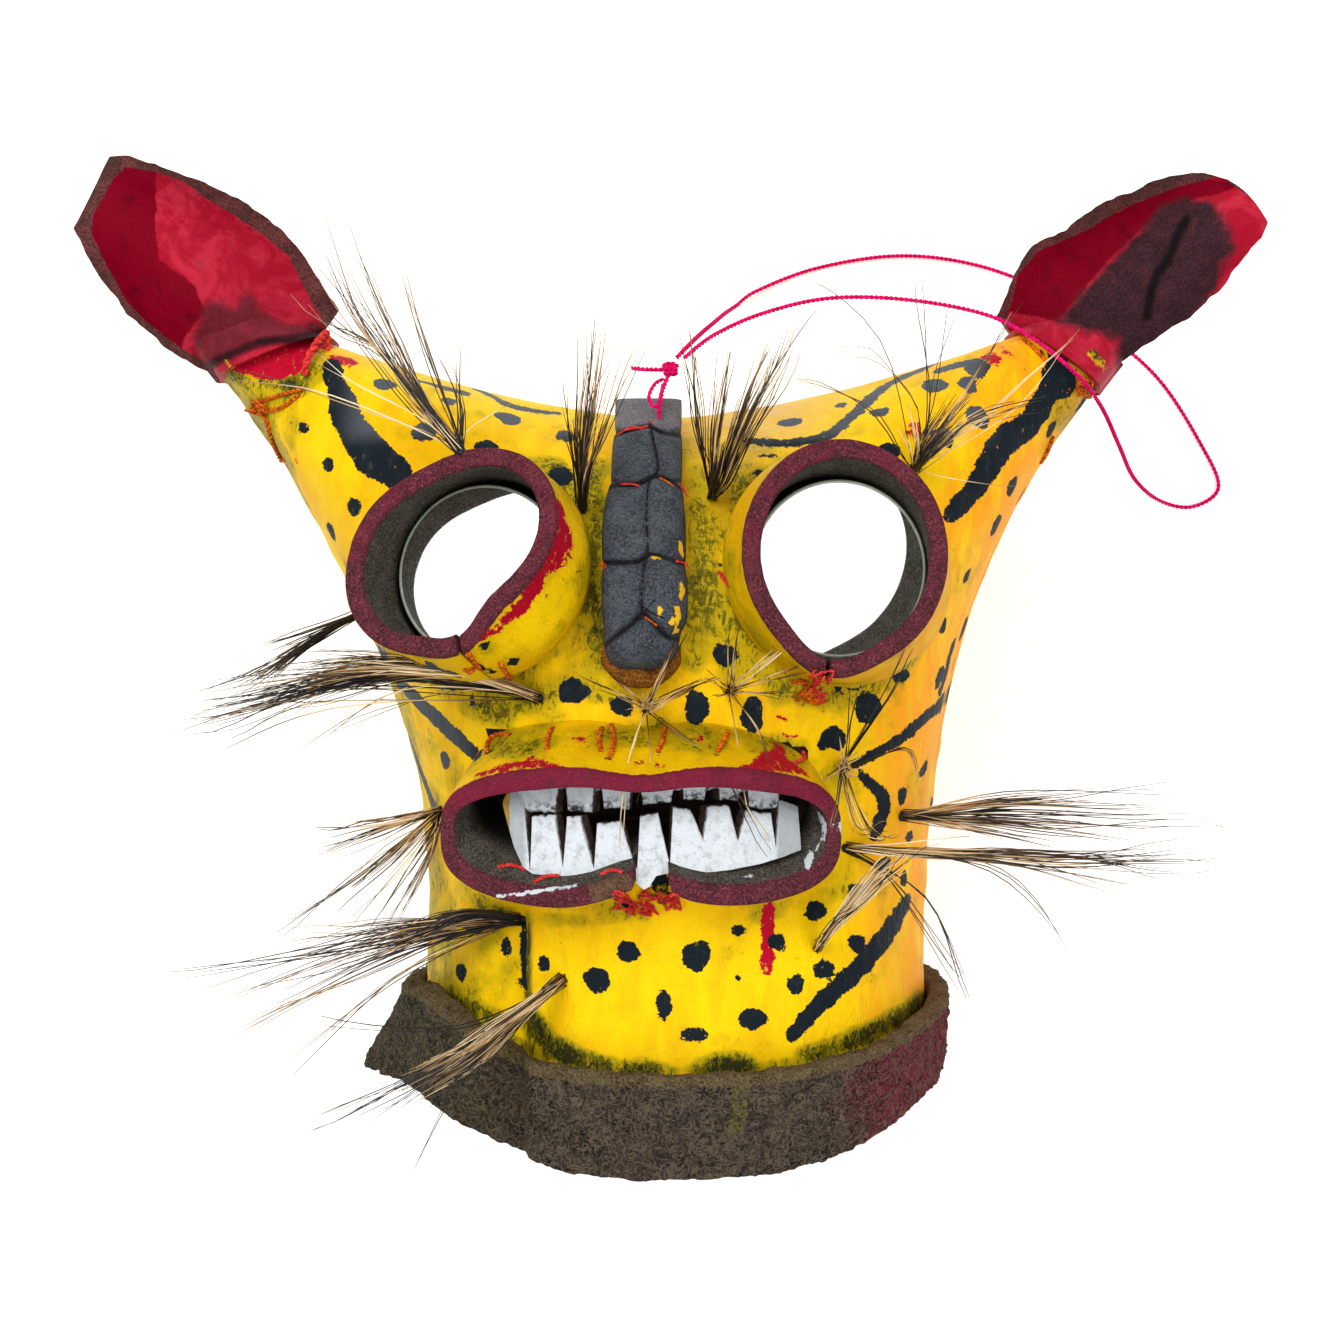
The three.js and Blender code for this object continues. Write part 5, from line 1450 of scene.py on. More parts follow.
def in_mouth(points):
    """Which points are on the rim of the mouth opening, inside the lip's strip."""
    offset = points[:, 0] - MOUTH_X
    depth = (MOUTH_Z - MOUTH_CURVE * offset ** 2 - points[:, 2]) / math.cos(MOUTH_SLOPE)
    away = np.abs(points[:, 1] - MOUTH_Y - depth * math.sin(MOUTH_SLOPE))
    taper = 1 - MOUTH_TAPER * np.clip(depth, 0, MOUTH_DEPTH)
    inside = (np.abs(offset) < MOUTH_HALF_WIDTH * taper - 5) & (away < MOUTH_HALF_HEIGHT - 5)
    return inside & (points[:, 2] > MID_Z)


def in_eye(points):
    """Which points are inside an eye tube, round its mirror."""
    inside = np.zeros(len(points), bool)
    for eye in EYES.values():
        away = points - eye["mirror"]
        away[:, 2] = -(away[:, :2] @ eye["normal"][:2]) / eye["normal"][2]
        inside |= (np.linalg.norm(away, axis=1) < MIRROR_RADIUS + STRIP / 2) & (points[:, 2] > MID_Z)
    return inside


def build_helmet():
    helmet = make_object("hide_helmet", head_points, head_faces, HELMET, in_metres=False)
    cut_with(helmet, cavity_object())
    cut_with(helmet, mouth_cut_object())
    for ear in EARS.values():
        cut_with(helmet, slab_object(ear, EAR_CUT, 150))
    points = points_of(helmet.data)
    gap = np.array([head_tree.find_nearest(Vector(p))[3] for p in points])
    attributes = paint_attributes(points, black_back)
    # The inside of the hide, and the hide round the mouth and eye openings, get the near-black inside
    # colour: painted shade
    hidden = (gap > 0.5) | in_mouth(points) | in_eye(points)
    attributes["inner"] = hidden.astype(float)
    finish_cut(helmet, attributes, 42)
    return dress(helmet, "painted_hide", "helmet_shell")


# Eye tubes, mirrors and mouth
# Where the lip's rim is bare brown leather, as an outline in photo pixels
BARE_RIM = [(588, 876), (622, 870), (640, 884), (642, 902), (612, 900), (590, 902)]
# How much of the green dirt and painted shade the eye tubes' outer walls take
EYE_TUBE_SHADE_AND_GRIME = 0.4
MM_PER_LIP_PIXEL = 0.33
# A distance in mm at which a patch no longer shows
FAR = 9.0


def build_tube(name, part, node, daubs=None):
    """An eye's tube, or the mouth's, which has daubs of white paint."""
    points, faces, attributes = part
    attributes = dict(attributes, **paint_attributes(points))
    mouth = daubs is not None
    pixels = to_pixels(points)
    down = pixels[:, 1]
    white = np.full(len(points), FAR)
    if mouth:
        white = paint_distance(points, stroke_discs(daubs))
        crimson = smooth(840, 790, down) * (down > 740) * 0.9
        bare = patch_distance(pixels, BARE_RIM) * MM_PER_LIP_PIXEL
    else:
        attributes["grime"] = EYE_TUBE_SHADE_AND_GRIME * attributes["grime"]
        crimson = smooth(580, 560, down) * 0.45
        bare = np.full(len(points), FAR)
    attributes["white"] = white
    # Only the mouth tube gets painted shade deep inside
    attributes["hollow"] = np.full(len(points), float(mouth))
    attributes["crimson"] = np.clip(crimson, 0, 1)
    attributes["bare_rim"] = bare
    return dress(make_object(name, points, faces, TUBE, attributes, sharp=50), "maroon_suede", node)


def build_mirror(side):
    eye = EYES[side]
    right, up = across_axis(eye["glass_normal"])
    rings = []
    radius = eye["glass_radius"]
    outline = [(0.0, 1.0), (radius - 6, 1.0), (radius - MIRROR_BORDER, 1.0), (radius - MIRROR_BEVEL, 1.0),
               (radius, 0.68), (radius, -1.0), (0.0, -1.0)]
    angles = np.arange(MIRROR_SIDES) / MIRROR_SIDES * 2 * math.pi
    circle = right * np.cos(angles)[:, None] + up * np.sin(angles)[:, None]
    for ring_radius, height in outline:
        lift = eye["glass_normal"] * height * MIRROR_THICK / 2
        rings.append(eye["glass"] + circle * max(ring_radius, 0.02) + lift)
    points = np.array(rings).reshape(-1, 3)
    faces = capped_faces(len(outline), MIRROR_SIDES)
    piece = make_object(f"{side}_mirror_glass", points, faces, MIRROR, sharp=25)
    piece.data.materials.append(MIRROR_EDGE)
    centre = (eye["glass"] + SHIFT) * MM
    # The bevel ring and the edge take the edge colour with its painted glint
    for face in piece.data.polygons:
        flat = Vector(face.normal).dot(Vector(eye["glass_normal"]))
        away = np.linalg.norm(np.array(face.center) - centre)
        if flat < 0.9 or away > (radius - MIRROR_BORDER) * MM:
            face.material_index = 1
    return dress(piece, "mirror", f"{side}_mirror")


# Daubs of white paint inside the lower left and right of the mouth tube, in the form of the strokes
MOUTH_DAUBS = [
    [4, (497, 896), (520, 894), (548, 889), (576, 885)], [4, (816, 812), (824, 822), (823, 840),
     (817, 850)],
    [7, (812, 850), (807, 866)], [4, (734, 872), (752, 876)],
]

# Teeth, as photo pixels: the cut free edge with its gaps, then the line where the strip meets the gum
LOWER_FREE_EDGE = [
    (503, 800), (508, 790), (523, 788), (530, 872), (532, 816), (555, 815), (563, 868), (567, 817),
    (580, 816),
    (594, 868), (597, 823), (621, 822), (637, 870), (640, 815), (658, 813), (670, 865), (673, 808),
    (690, 809),
    (703, 838), (708, 806), (729, 806), (738, 840), (746, 811), (771, 813), (776, 848), (779, 800),
    (798, 806),
    (801, 846),
]
LOWER_GUM_LINE = [
    (503, 806), (507, 822), (514, 847), (523, 867), (533, 874), (563, 876), (595, 878), (633, 880),
    (644, 890),
    (650, 886), (656, 876), (673, 872), (700, 873), (730, 870), (760, 864), (783, 857), (801, 850),
]
UPPER_FREE_EDGE = [
    (513, 806), (520, 811), (555, 813), (558, 790), (566, 789), (568, 811), (592, 812), (594, 792),
    (602, 790),
    (604, 808), (629, 809), (631, 792), (641, 791), (643, 804), (671, 803), (673, 792), (683, 790),
    (684, 800),
    (704, 799), (706, 790), (719, 789), (720, 800), (738, 800), (740, 792), (748, 791), (749, 808),
    (777, 809),
    (780, 792), (790, 796),
]
UPPER_GUM_LINE = [(513, 786), (560, 784), (620, 780), (645, 776), (690, 779), (740, 783), (790, 790)]
TOOTH_THICK = 4.0
TOOTH_STEP = 0.7
TOOTH_ROWS = 20
WALL_SHIFT = 2.4
UPPER_TOOTH_GREY = 0.35
TOOTH_LEAST = 1.5
TOOTH_ROUND = 0.7
TOOTH_MIDDLE = 650


def at_depth(pixel_x, pixel_y, depth):
    """A pixel's place on a layer of the mouth at a depth inside the rim."""
    z = MOUTH_Z - depth * math.cos(MOUTH_SLOPE)
    offset = (pixel_x - MIDDLE_PIXEL) * (CAMERA_HEIGHT - z) / PIXELS_PER_SLOPE - MOUTH_X
    z = z - MOUTH_CURVE * offset ** 2
    scale = (CAMERA_HEIGHT - z) / PIXELS_PER_SLOPE
    return np.stack([(pixel_x - MIDDLE_PIXEL) * scale, (MIDDLE_PIXEL - pixel_y) * scale, z], -1)


def build_teeth(name, node, free_edge, gum_line, gum_depth, free_depth):
    free_x, free_y = np.array(free_edge, float).T
    gum_x, gum_y = np.array(gum_line, float).T
    x = np.arange(free_x[0], free_x[-1], TOOTH_STEP)
    x = np.unique(np.concatenate([x, free_x]))
    free, gum = np.interp(x, free_x, free_y), np.interp(x, gum_x, gum_y)
    side = np.sign(np.mean(gum - free))
    free = np.where((gum - free) * side < TOOTH_LEAST, gum - TOOTH_LEAST * side, free)
    wave = np.stack([x, np.zeros_like(x), np.zeros_like(x)], 1)
    free = free + 0.9 * noise(wave, 5, 63) + 0.5 * noise(wave, 2, 64)
    towards = -np.clip((x - TOOTH_MIDDLE) / 60, -1, 1) * WALL_SHIFT
    front, back, edges = [], [], []
    for share in np.linspace(0, 1, TOOTH_ROWS):
        y = mix(gum, free, share)
        tall = np.abs(y - gum) / 60
        depth = mix(gum_depth, free_depth, tall)
        rounding = TOOTH_ROUND * max(0, share - 0.9) / 0.1
        front.append(at_depth(x, y, depth + rounding))
        behind = at_depth(x, y, depth + TOOTH_THICK)
        behind[:, 0] += towards
        behind[:, 1] += 0.5
        back.append(behind)
        edges.append(np.abs(free - y))
    rings = np.concatenate([np.array(front), np.array(back)[::-1]])
    points = rings.transpose(1, 0, 2).reshape(-1, 3)
    size = 2 * TOOTH_ROWS
    faces = capped_faces(len(x), size)
    lower = side > 0
    grey = smooth(529, 522, x) + smooth(774, 780, x) if lower else UPPER_TOOTH_GREY * np.ones_like(x)
    attributes = {
        "wall": np.tile([0.0] * TOOTH_ROWS + [1.0] * TOOTH_ROWS, len(x)),
        "left": np.repeat(x - x[0], size),
        "grey": np.repeat(grey, size),
        "stained": np.full(len(points), 0.0 if lower else 1.0),
        "edge": np.concatenate([np.array(edges), np.array(edges)[::-1]]).T.reshape(-1),
    }
    points = points + unit([0, 0.3, 1]) * (0.45 * layered_noise(points, 5, 61))[:, None]
    piece = make_object(name, points, faces, TEETH, attributes, sharp=55)
    return dress(piece, "painted_teeth", node)


# Nose, down its length: [y, z of its top, middle x, half width]
NOSE_LINE = [
    [-0.3, 218.5, -9.5, 5.4], [0.5, 221.6, -9.4, 7.8], [2.3, 224.4, -9.4, 9.8], [4.8, 225.8, -9.3, 11.2],
    [9.4, 226.3, -9.1, 12.0], [12.0, 225.6, -8.7, 12.2], [16.5, 226.6, -8.0, 13.4], [26, 225.5, -8.1, 13.7],
    [33.4, 222, -8.3, 13.2], [35.2, 220.8, -8.3, 12.8], [37.2, 220.8, -8.4, 13.3], [50, 215.5, -8.4, 13.3],
    [60.6, 208.2, -8.0, 12.0],
    [62.8, 206.2, -7.8, 11.3], [65, 205.4, -7.7, 11.4], [73, 197, -7.6, 11.5], [79.4, 188.8, -7.4, 11.2],
    [81.5, 186.2, -7.2, 10.7], [84, 182.4, -7.2, 11.0], [94, 169.5, -7.2, 11.0],
]
NOSE_ROWS = 190
NOSE_COLUMNS = 72
NOSE_CROWN = 1.3
NOSE_SHOULDER = 3.4
NOSE_SHOULDER_FROM = 0.6
# Shares of the way down each wall of the strip
NOSE_WALL = (0.15, 0.3, 0.5, 0.75, 1.0)
TAB_FROM_Y = 74.0
TAB_THICK = 7.0
NOSE_THICK = 24.0
# Past this y the strip stands free of the hide
NOSE_LEAVES_Y = 84
# Sewn grooves in photo pixels
NOSE_SEAM = [
    (649, 424), (655, 450), (657, 470), (648, 484), (646, 520), (647, 548), (643, 570), (641, 600),
    (642, 614),
]
NOSE_PINCHES = [
    [(612, 438), (620, 433), (634, 429), (649, 426), (662, 432), (684, 437)],
    [(608, 489), (618, 485), (638, 484), (654, 476), (668, 480), (688, 493)],
    [(598, 562), (612, 563), (638, 561), (650, 554), (666, 558), (690, 566)],
]
NOSE_VEE = [(604, 646), (616, 636), (632, 624), (643, 614), (656, 626), (668, 637), (682, 640)]
# Half width in pixels, depth in mm, then the points
NOSE_GROOVES = [[2.6, 1.8, *NOSE_SEAM], [2.9, 2.6, *NOSE_VEE]]
NOSE_GROOVES += [[2.9, 2.5, *path] for path in NOSE_PINCHES]
# Yellow paint on the nose, in photo pixels: [x, y, width, height]
NOSE_FLECKS = [
    [681, 547, 6, 18], [682, 591, 6, 14], [660, 612, 6, 9], [678, 616, 7, 15], [672, 622, 6, 9],
    [676, 630, 5, 10], [660, 480, 7, 3], [672, 486, 8, 4], [656, 557, 18, 4],
]
# Half widths in mm for each pixel, and the height that the flecks lie at
FLECK_SCALE = 0.16
FLECK_Z = 222


def nose_dome(across):
    """How far the strip's upper side falls towards its edges, which are at -1 and 1."""
    shoulder = np.maximum(0, (np.abs(across) - NOSE_SHOULDER_FROM) / (1 - NOSE_SHOULDER_FROM))
    return NOSE_CROWN * across ** 2 + NOSE_SHOULDER * shoulder ** 2.4


def nose_ring(row):
    """Places on the strip's upper side across it, before the grooves, and along both walls."""
    y, top_z, middle_x, half = row
    across = np.linspace(-1, 1, NOSE_COLUMNS)
    upper = np.stack([middle_x + across * half, np.full(NOSE_COLUMNS, y), top_z - nose_dome(across)], 1)
    thick = mix(NOSE_THICK, TAB_THICK, float(smooth(TAB_FROM_Y - 4, 93, y)))
    nose_edge = NOSE_CROWN + NOSE_SHOULDER
    walls = []
    for sign in (1, -1):
        for share in NOSE_WALL:
            x = middle_x + sign * half * (1 + 0.05 * math.sin(share * 3))
            low = top_z - nose_edge - (thick - nose_edge) * share
            if y < NOSE_LEAVES_Y:
                low = max(low, face_height(x, y) - SUNK_IN_HIDE)
            walls.append([x, y, low])
    count = len(NOSE_WALL)
    return np.concatenate([upper, walls[:count], walls[count:][::-1]])


def build_nose():
    line = np.array(NOSE_LINE)
    rows = spline(line, NOSE_ROWS - 1)
    points = np.array([nose_ring(row) for row in rows]).reshape(-1, 3)
    faces = capped_faces(NOSE_ROWS, NOSE_COLUMNS + 2 * len(NOSE_WALL))
    pixels = to_pixels(points)
    groove = np.zeros(len(points))
    for half_width, depth, *path in NOSE_GROOVES:
        groove = np.maximum(groove, depth * np.exp(-((line_distance(pixels, path) / half_width) ** 2)))
    top = np.interp(points[:, 1], line[:, 0], line[:, 1])
    upper = smooth(16, 8, top - points[:, 2])
    points = points - (groove * upper)[:, None] * np.array([0, 0, 1])
    points = points + (0.5 * layered_noise(points, 9, 71))[:, None] * np.array([0.4, 0, 1])
    up = np.array([0, 0, 1.0])
    flecks = [Disc(from_pixels(x, y, FLECK_Z), up, wide * FLECK_SCALE, tall * FLECK_SCALE, 0.3, x)
              for x, y, wide, tall in NOSE_FLECKS]
    # Where the top end of the strip gets its painted sheen
    tab_sheen = smooth(436, 424, pixels[:, 1])
    attributes = {"fleck": paint_distance(points, flecks), "groove": groove, "tab_sheen": tab_sheen}
    piece = make_object("nose_suede", points, faces, NOSE, attributes, sharp=70)
    return dress(piece, "black_suede", "nose_strip")


FLANGE_X = -9.2
FLANGE_HALF_WIDTH = 13.2
FLANGE_TOP_Z = 218.6
FLANGE_SAG = 4.2
FLANGE_FRONT_Y = -6.3
FLANGE_SWEEP = 8
FLANGE_BACK_Y = 7.8
FLANGE_HALF_THICK = 2.6
FLANGE_COLUMNS = 60
FLANGE_ROWS = 14


def build_flange():
    sections = []
    half = FLANGE_HALF_THICK
    for across in np.linspace(-1, 1, FLANGE_COLUMNS):
        x = FLANGE_X + FLANGE_HALF_WIDTH * across
        top = FLANGE_TOP_Z - FLANGE_SAG * across ** 2
        front = FLANGE_FRONT_Y + FLANGE_SWEEP * abs(across) ** 2.5
        ring = [[x, front + half - half * math.cos(turn), top + 0.8 - half + half * math.sin(turn)]
                for turn in np.linspace(-math.pi / 2, math.pi / 2, FLANGE_ROWS)]
        sections.append(ring + [[x, FLANGE_BACK_Y, top], [x, FLANGE_BACK_Y, top - 2 * half]])
    points = np.array(sections).reshape(-1, 3)
    rough = 0.5 * layered_noise(points, 2.4, 81)
    points = points + np.stack([np.zeros(len(points)), -np.abs(rough), rough], 1)
    faces = capped_faces(FLANGE_COLUMNS, FLANGE_ROWS + 2)
    piece = make_object("nose_flange_leather", points, faces, FLANGE, sharp=60)
    return dress(piece, "tan_leather", "nose_flange")


# Ears: distance along the ear, then its two edges across
EARS = {
    "left": {
        "base": np.array([-144.1, 119.1, EAR_Z]), "along": np.array([-0.769, 0.639, 0]),
        "seam": np.array([-0.326, 0.945, 0]), "lean": 0.02, "tip_bulge": 1, "tip_slant": 3.3,
        "stations": [[-8, -12, 24], [2, -19, 27.5], [10, -23.5, 31], [25, -26.5, 34], [49, -26, 31],
                     [70, -21, 24.5], [84, -16.5, 18.5], [89, -15, 14.5]],
    },
    "right": {
        "base": np.array([140.8, 119.1, EAR_Z]), "along": np.array([0.79, 0.614, 0]),
        "seam": np.array([0.551, 0.835, 0]), "lean": 0.06, "tip_bulge": 3, "tip_slant": -1,
        "stations": [[-8, -12, 21.5], [2.6, -18, 27.3], [17, -21, 33], [29, -21.5, 30.5], [45, -23, 29],
                     [58, -22, 26], [70, -19, 22.5], [83, -16.5, 16], [89, -13, 8]],
    },
}
EAR_THICK = 5.0
EAR_CUT = 4.0
EAR_SOCK = 3.5
EAR_CUP = 15.0
EAR_SINK = 9.0
EAR_ROWS = 90
EAR_COLUMNS = 60
EAR_TIP_FROM = 62
EAR_TIP_TO = 89
# Places across the ear crowd towards its edges, up to this share of a quarter turn
EAR_CROWDING = 0.93
TOUCH_GAP = 0.3


def ear_side(ear):
    side = np.array([ear["along"][1], -ear["along"][0], 0])
    return side if side[1] > 0 else -side


def ear_blade(ear, seed):
    stations = np.array(ear["stations"], float)
    reach_line = np.linspace(stations[0, 0], stations[-1, 0], EAR_ROWS)
    low = np.interp(reach_line, stations[:, 0], stations[:, 1])
    high = np.interp(reach_line, stations[:, 0], stations[:, 2])
    side = ear_side(ear)
    still = np.zeros_like(reach_line)
    edge_places = np.stack([reach_line, still, still + seed * 10.0], 1)
    low = low - 0.7 * noise(edge_places, 6, seed) - 0.3 * noise(edge_places, 2.0, seed + 1)
    high = high + 0.7 * noise(edge_places, 7, seed + 2) + 0.3 * noise(edge_places, 2.2, seed + 3)
    crowded = np.sin(np.linspace(-1, 1, EAR_COLUMNS) * math.pi / 2 * EAR_CROWDING)
    across = crowded / math.sin(math.pi / 2 * EAR_CROWDING)
    front, back = [], []
    for reach, low_edge, high_edge in zip(reach_line, low, high):
        tip = float(smooth(EAR_TIP_FROM, EAR_TIP_TO, reach))
        bulge = tip * (ear["tip_bulge"] * (1 - across ** 2) + ear["tip_slant"] * across)
        cup = EAR_CUP * mix(0.35, 1, float(smooth(0, 40, reach))) * (1 - 0.7 * tip)
        place = ear["base"] + ear["along"] * (reach + bulge)[:, None]
        place = place + side * mix(low_edge, high_edge, (across + 1) / 2)[:, None]
        lift = ear["lean"] * reach - EAR_SINK + cup * np.abs(across) ** 2.2
        place[:, 2] += lift
        front.append(place)
        back.append(place - np.array([0, 0, EAR_THICK]))
    front, back = np.array(front), np.array(back)
    dents = waves(front.reshape(-1, 3), (1.1, 17, seed + 5), (0.5, 6, seed + 6))
    edge_calm = np.minimum(1, 4 * (1 - np.abs(across)))[None, :]
    front[..., 2] += dents.reshape(front.shape[:2]) * edge_calm
    return loft_mesh(np.concatenate([front, back[:, ::-1]], axis=1))


# Paint on the ears, as outlines in photo pixels. The deep and dark outlines mark painted shade, on the
# shaded side of the fold and in the cup, and the crease line a painted shadow along the base fold.
EAR_PAINT = {
    "left": {
        "painted": [(126, 167), (155, 172), (185, 182), (207, 199), (235, 216), (262, 234), (290, 257),
         (300, 280),
                    (322, 320), (345, 345), (320, 420), (240, 420), (212, 366), (179, 347), (147, 322),
                    (127, 302),
                    (105, 262), (91, 232), (93, 215), (114, 178)],
        "deep": [(110, 150), (155, 160), (158, 258), (193, 284), (206, 312), (187, 334), (179, 360),
         (60, 280),
                 (70, 180)],
        "dark": [(191, 339), (206, 302), (236, 306), (250, 294), (264, 313), (290, 325), (330, 322),
         (330, 336),
                 (290, 338), (252, 344), (222, 362), (206, 364)],
        "crease_shadow": [(208, 366), (225, 357), (246, 348), (262, 342), (288, 340), (312, 335), (334, 332)],
        "flap_dirt": [(226, 360), (240, 372), (262, 381), (290, 376), (306, 362), (318, 366), (292, 410),
         (236, 400)],
    },
    "right": {
        "painted": [(1012, 300), (1018, 275), (1037, 252), (1087, 230), (1120, 210), (1152, 197),
         (1177, 187),
                    (1220, 176), (1234, 186), (1252, 198), (1276, 214), (1276, 240), (1200, 330),
                    (1110, 400),
                    (1000, 340)],
        "deep": [(1000, 310), (1018, 270), (1037, 250), (1152, 195), (1200, 176), (1240, 186), (1190, 202),
         (1145, 225),
                 (1110, 260), (1087, 287), (1057, 322)],
        "dark": [(1160, 206), (1186, 198), (1206, 200), (1220, 212), (1230, 232), (1234, 250), (1223, 264),
                 (1216, 290), (1177, 345), (1118, 372), (1116, 338), (1057, 324), (1070, 305), (1087, 287),
                 (1110, 260),
                 (1132, 240), (1145, 225)],
        "crease_shadow": [(1186, 220), (1177, 237), (1170, 255), (1157, 275), (1151, 292), (1147, 316)],
        "flap_dirt": [(1088, 352), (1095, 352), (1106, 362), (1107, 372), (1098, 366)],
    },
}


def ear_attributes(ear, points, side_name):
    pixels = to_pixels(points)
    scale = (CAMERA_HEIGHT - EAR_Z) / PIXELS_PER_SLOPE
    attributes = {}
    for key in ("painted", "deep", "dark", "flap_dirt"):
        attributes[key] = patch_distance(pixels, EAR_PAINT[side_name][key]) * scale
    attributes["crease_shadow"] = line_distance(pixels, EAR_PAINT[side_name]["crease_shadow"]) * scale
    away = points - ear["base"]
    reach = away @ ear["along"]
    behind = smooth(EAR_Z - 22, EAR_Z - 26, points[:, 2]) * smooth(4, 10, reach)
    attributes["painted"] = attributes["painted"] + 40 * behind
    return attributes


def slab_object(ear, start, end):
    """A block across the ear's seam, from one distance along it to another."""
    size = np.array([end - start, 150, 170]) / 2
    corners = np.array([[x, y, z] for x in (-1, 1) for y in (-1, 1) for z in (-1, 1)]) * size
    turn = math.atan2(ear["seam"][1], ear["seam"][0])
    spin = np.array([[math.cos(turn), -math.sin(turn), 0], [math.sin(turn), math.cos(turn), 0], [0, 0, 1]])
    corners = corners @ spin.T + ear["base"] + ear["seam"] * (start + end) / 2
    faces = [(0, 1, 3, 2), (4, 6, 7, 5), (0, 4, 5, 1), (2, 3, 7, 6), (0, 2, 6, 4), (1, 5, 7, 3)]
    return make_object("slab", corners, faces, None, in_metres=False)


def build_ear(side_name, material, seed):
    ear = EARS[side_name]
    around = head_mesh(relieved_head(TOUCH_GAP + EAR_SOCK))
    sock = make_object(f"{side_name}_ear_leather", *around, material, in_metres=False)
    cut_with(sock, slab_object(ear, -6, 8), "INTERSECT")
    stub = make_object("stub", *head_mesh(relieved_head(TOUCH_GAP)), None, in_metres=False)
    cut_with(stub, slab_object(ear, 4.3, 150))
    blade = make_object("blade", *ear_blade(ear, seed), None, in_metres=False)
    cut_with(sock, blade, "UNION")
    cut_with(sock, stub)
    mesh = sock.data
    mesh.materials.clear()
    mesh.materials.append(material)
    finish_cut(sock, ear_attributes(ear, points_of(mesh), side_name), 48)
    return dress(sock, "red_leather", f"{side_name}_ear")


# Collar
COLLAR_LEVEL = 0.12
COLLAR_SIDES = 900
# Yellow-green paint that ran onto the collar, in photo pixels
COLLAR_DRIP = [(744, 1084), (738, 1102), (740, 1116), (732, 1134)]


def nearness(angle, degrees, width):
    return np.exp(-(((angle - math.radians(degrees)) / width) ** 2))


def collar_points(angle, height, outside):
    """Points of the collar's wall. Height is 0 at its lower edge and 1 at its top, outside 0 to 1."""
    neck = head_point(np.full_like(angle, COLLAR_LEVEL), angle, 0.0)
    front = np.maximum(0, np.sin(angle))
    back = np.maximum(0, -np.sin(angle))
    flared = nearness(angle, 188, 0.42)
    lift = 10.5 * nearness(angle, 143, 0.34)
    thick = mix(7.6, 6.2, smooth(0, 0.5, back))
    flare = 20 * flared * (1 - height) ** 1.3
    grow = 0.45 + 8 * front * height + flare + outside * thick
    points = np.stack([head_point(np.array(COLLAR_LEVEL), a, g) for a, g in zip(angle, grow)])
    underlay = np.where(neck[:, 2] < MID_Z, 1.5 * (1 - outside), 0)
    points[:, 2] = np.maximum(points[:, 2], underlay)
    top = -113 - 20 * front ** 2 + lift
    tall = mix(27, 36, front ** 2) + 6 * flared + lift
    points[:, 1] = top - (1 - height) * tall
    return points


def build_collar():
    angles = even_angles(COLLAR_SIDES)
    outer = [(height, 1.0) for height in np.linspace(0.03, 0.975, 26)]
    top = [(0.992, 0.9), (1.0, 0.78), (1.0, 0.66), (1.0, 0.54), (1.0, 0.42), (1.0, 0.30), (0.995, 0.12)]
    inner = [(0.95, 0.0), (0.7, 0.0), (0.35, 0.0), (0.05, 0.0)]
    bottom = [(0.0, 0.15), (0.0, 0.4), (0.0, 0.65), (0.008, 0.9)]
    profile = outer + top + inner + bottom
    columns = [collar_points(angles, height, outside) for height, outside in profile]
    grid = np.array(columns).transpose(1, 0, 2)
    flat = grid.reshape(-1, 3)
    outward = unit(flat * [1, 0, 1] - np.array([0, 0, MID_Z]))
    edge = np.tile([1.0 if h < 0.12 or h > 0.93 else 0.4 for h, _ in profile], COLLAR_SIDES)
    skin = np.tile([o for _, o in profile], COLLAR_SIDES)
    fuzz = 0.7 * noise(flat, 3.2, 93) + 0.75 * noise(flat, 1.7, 94)
    push = (0.9 * noise(flat, 15, 91) + fuzz) * skin * smooth(2, 12, flat[:, 2])
    rise = waves(flat, (1.3, 9, 95), (0.8, 2.6, 96), (0.6, 1.5, 97)) * (edge - 0.35)
    left = smooth(-70, -100, flat[:, 0])
    rise = rise * (1 + 1.2 * left)
    points = flat + outward * push[:, None] + np.array([0, 1, 0]) * rise[:, None]
    points[:, 2] = np.maximum(points[:, 2], 0.0)
    faces = grid_faces(COLLAR_SIDES, len(profile), wrap_rows=True)
    top_value = np.tile([float(smooth(0.80, 0.97, h)) for h, _ in profile], COLLAR_SIDES)
    pixels = to_pixels(points)
    maroon = np.where(points[:, 2] > 60, (852 - pixels[:, 0]) * 0.36, 20.0)
    moss = smooth(620, 420, pixels[:, 0])
    drip = line_distance(pixels, COLLAR_DRIP) * 0.36 - 3.0 + np.where(points[:, 2] > 60, 0, 40)
    attributes = {"top": top_value, "maroon": maroon, "moss": moss, "drip": drip}
    piece = make_object("collar_suede", points, faces, COLLAR, attributes)
    return dress(piece, "collar_leather", "collar")


build_helmet()
build_tube("left_eye_strip", left_tube, "left_eye_tube")
build_tube("right_eye_strip", right_tube, "right_eye_tube")
build_tube("mouth_strip", mouth_tube, "mouth_lip", MOUTH_DAUBS)
for eye_side in EYES:
    build_mirror(eye_side)
build_teeth("lower_teeth_strip", "lower_teeth", LOWER_FREE_EDGE, LOWER_GUM_LINE, 8, 14)
build_teeth("upper_teeth_strip", "upper_teeth", UPPER_FREE_EDGE, UPPER_GUM_LINE, 14.5, 16)
build_nose()
build_flange()
build_ear("left", ear_material("left_ear_paint", 0.7), 101)
build_ear("right", ear_material("right_ear_paint", 1.0), 121)
build_collar()

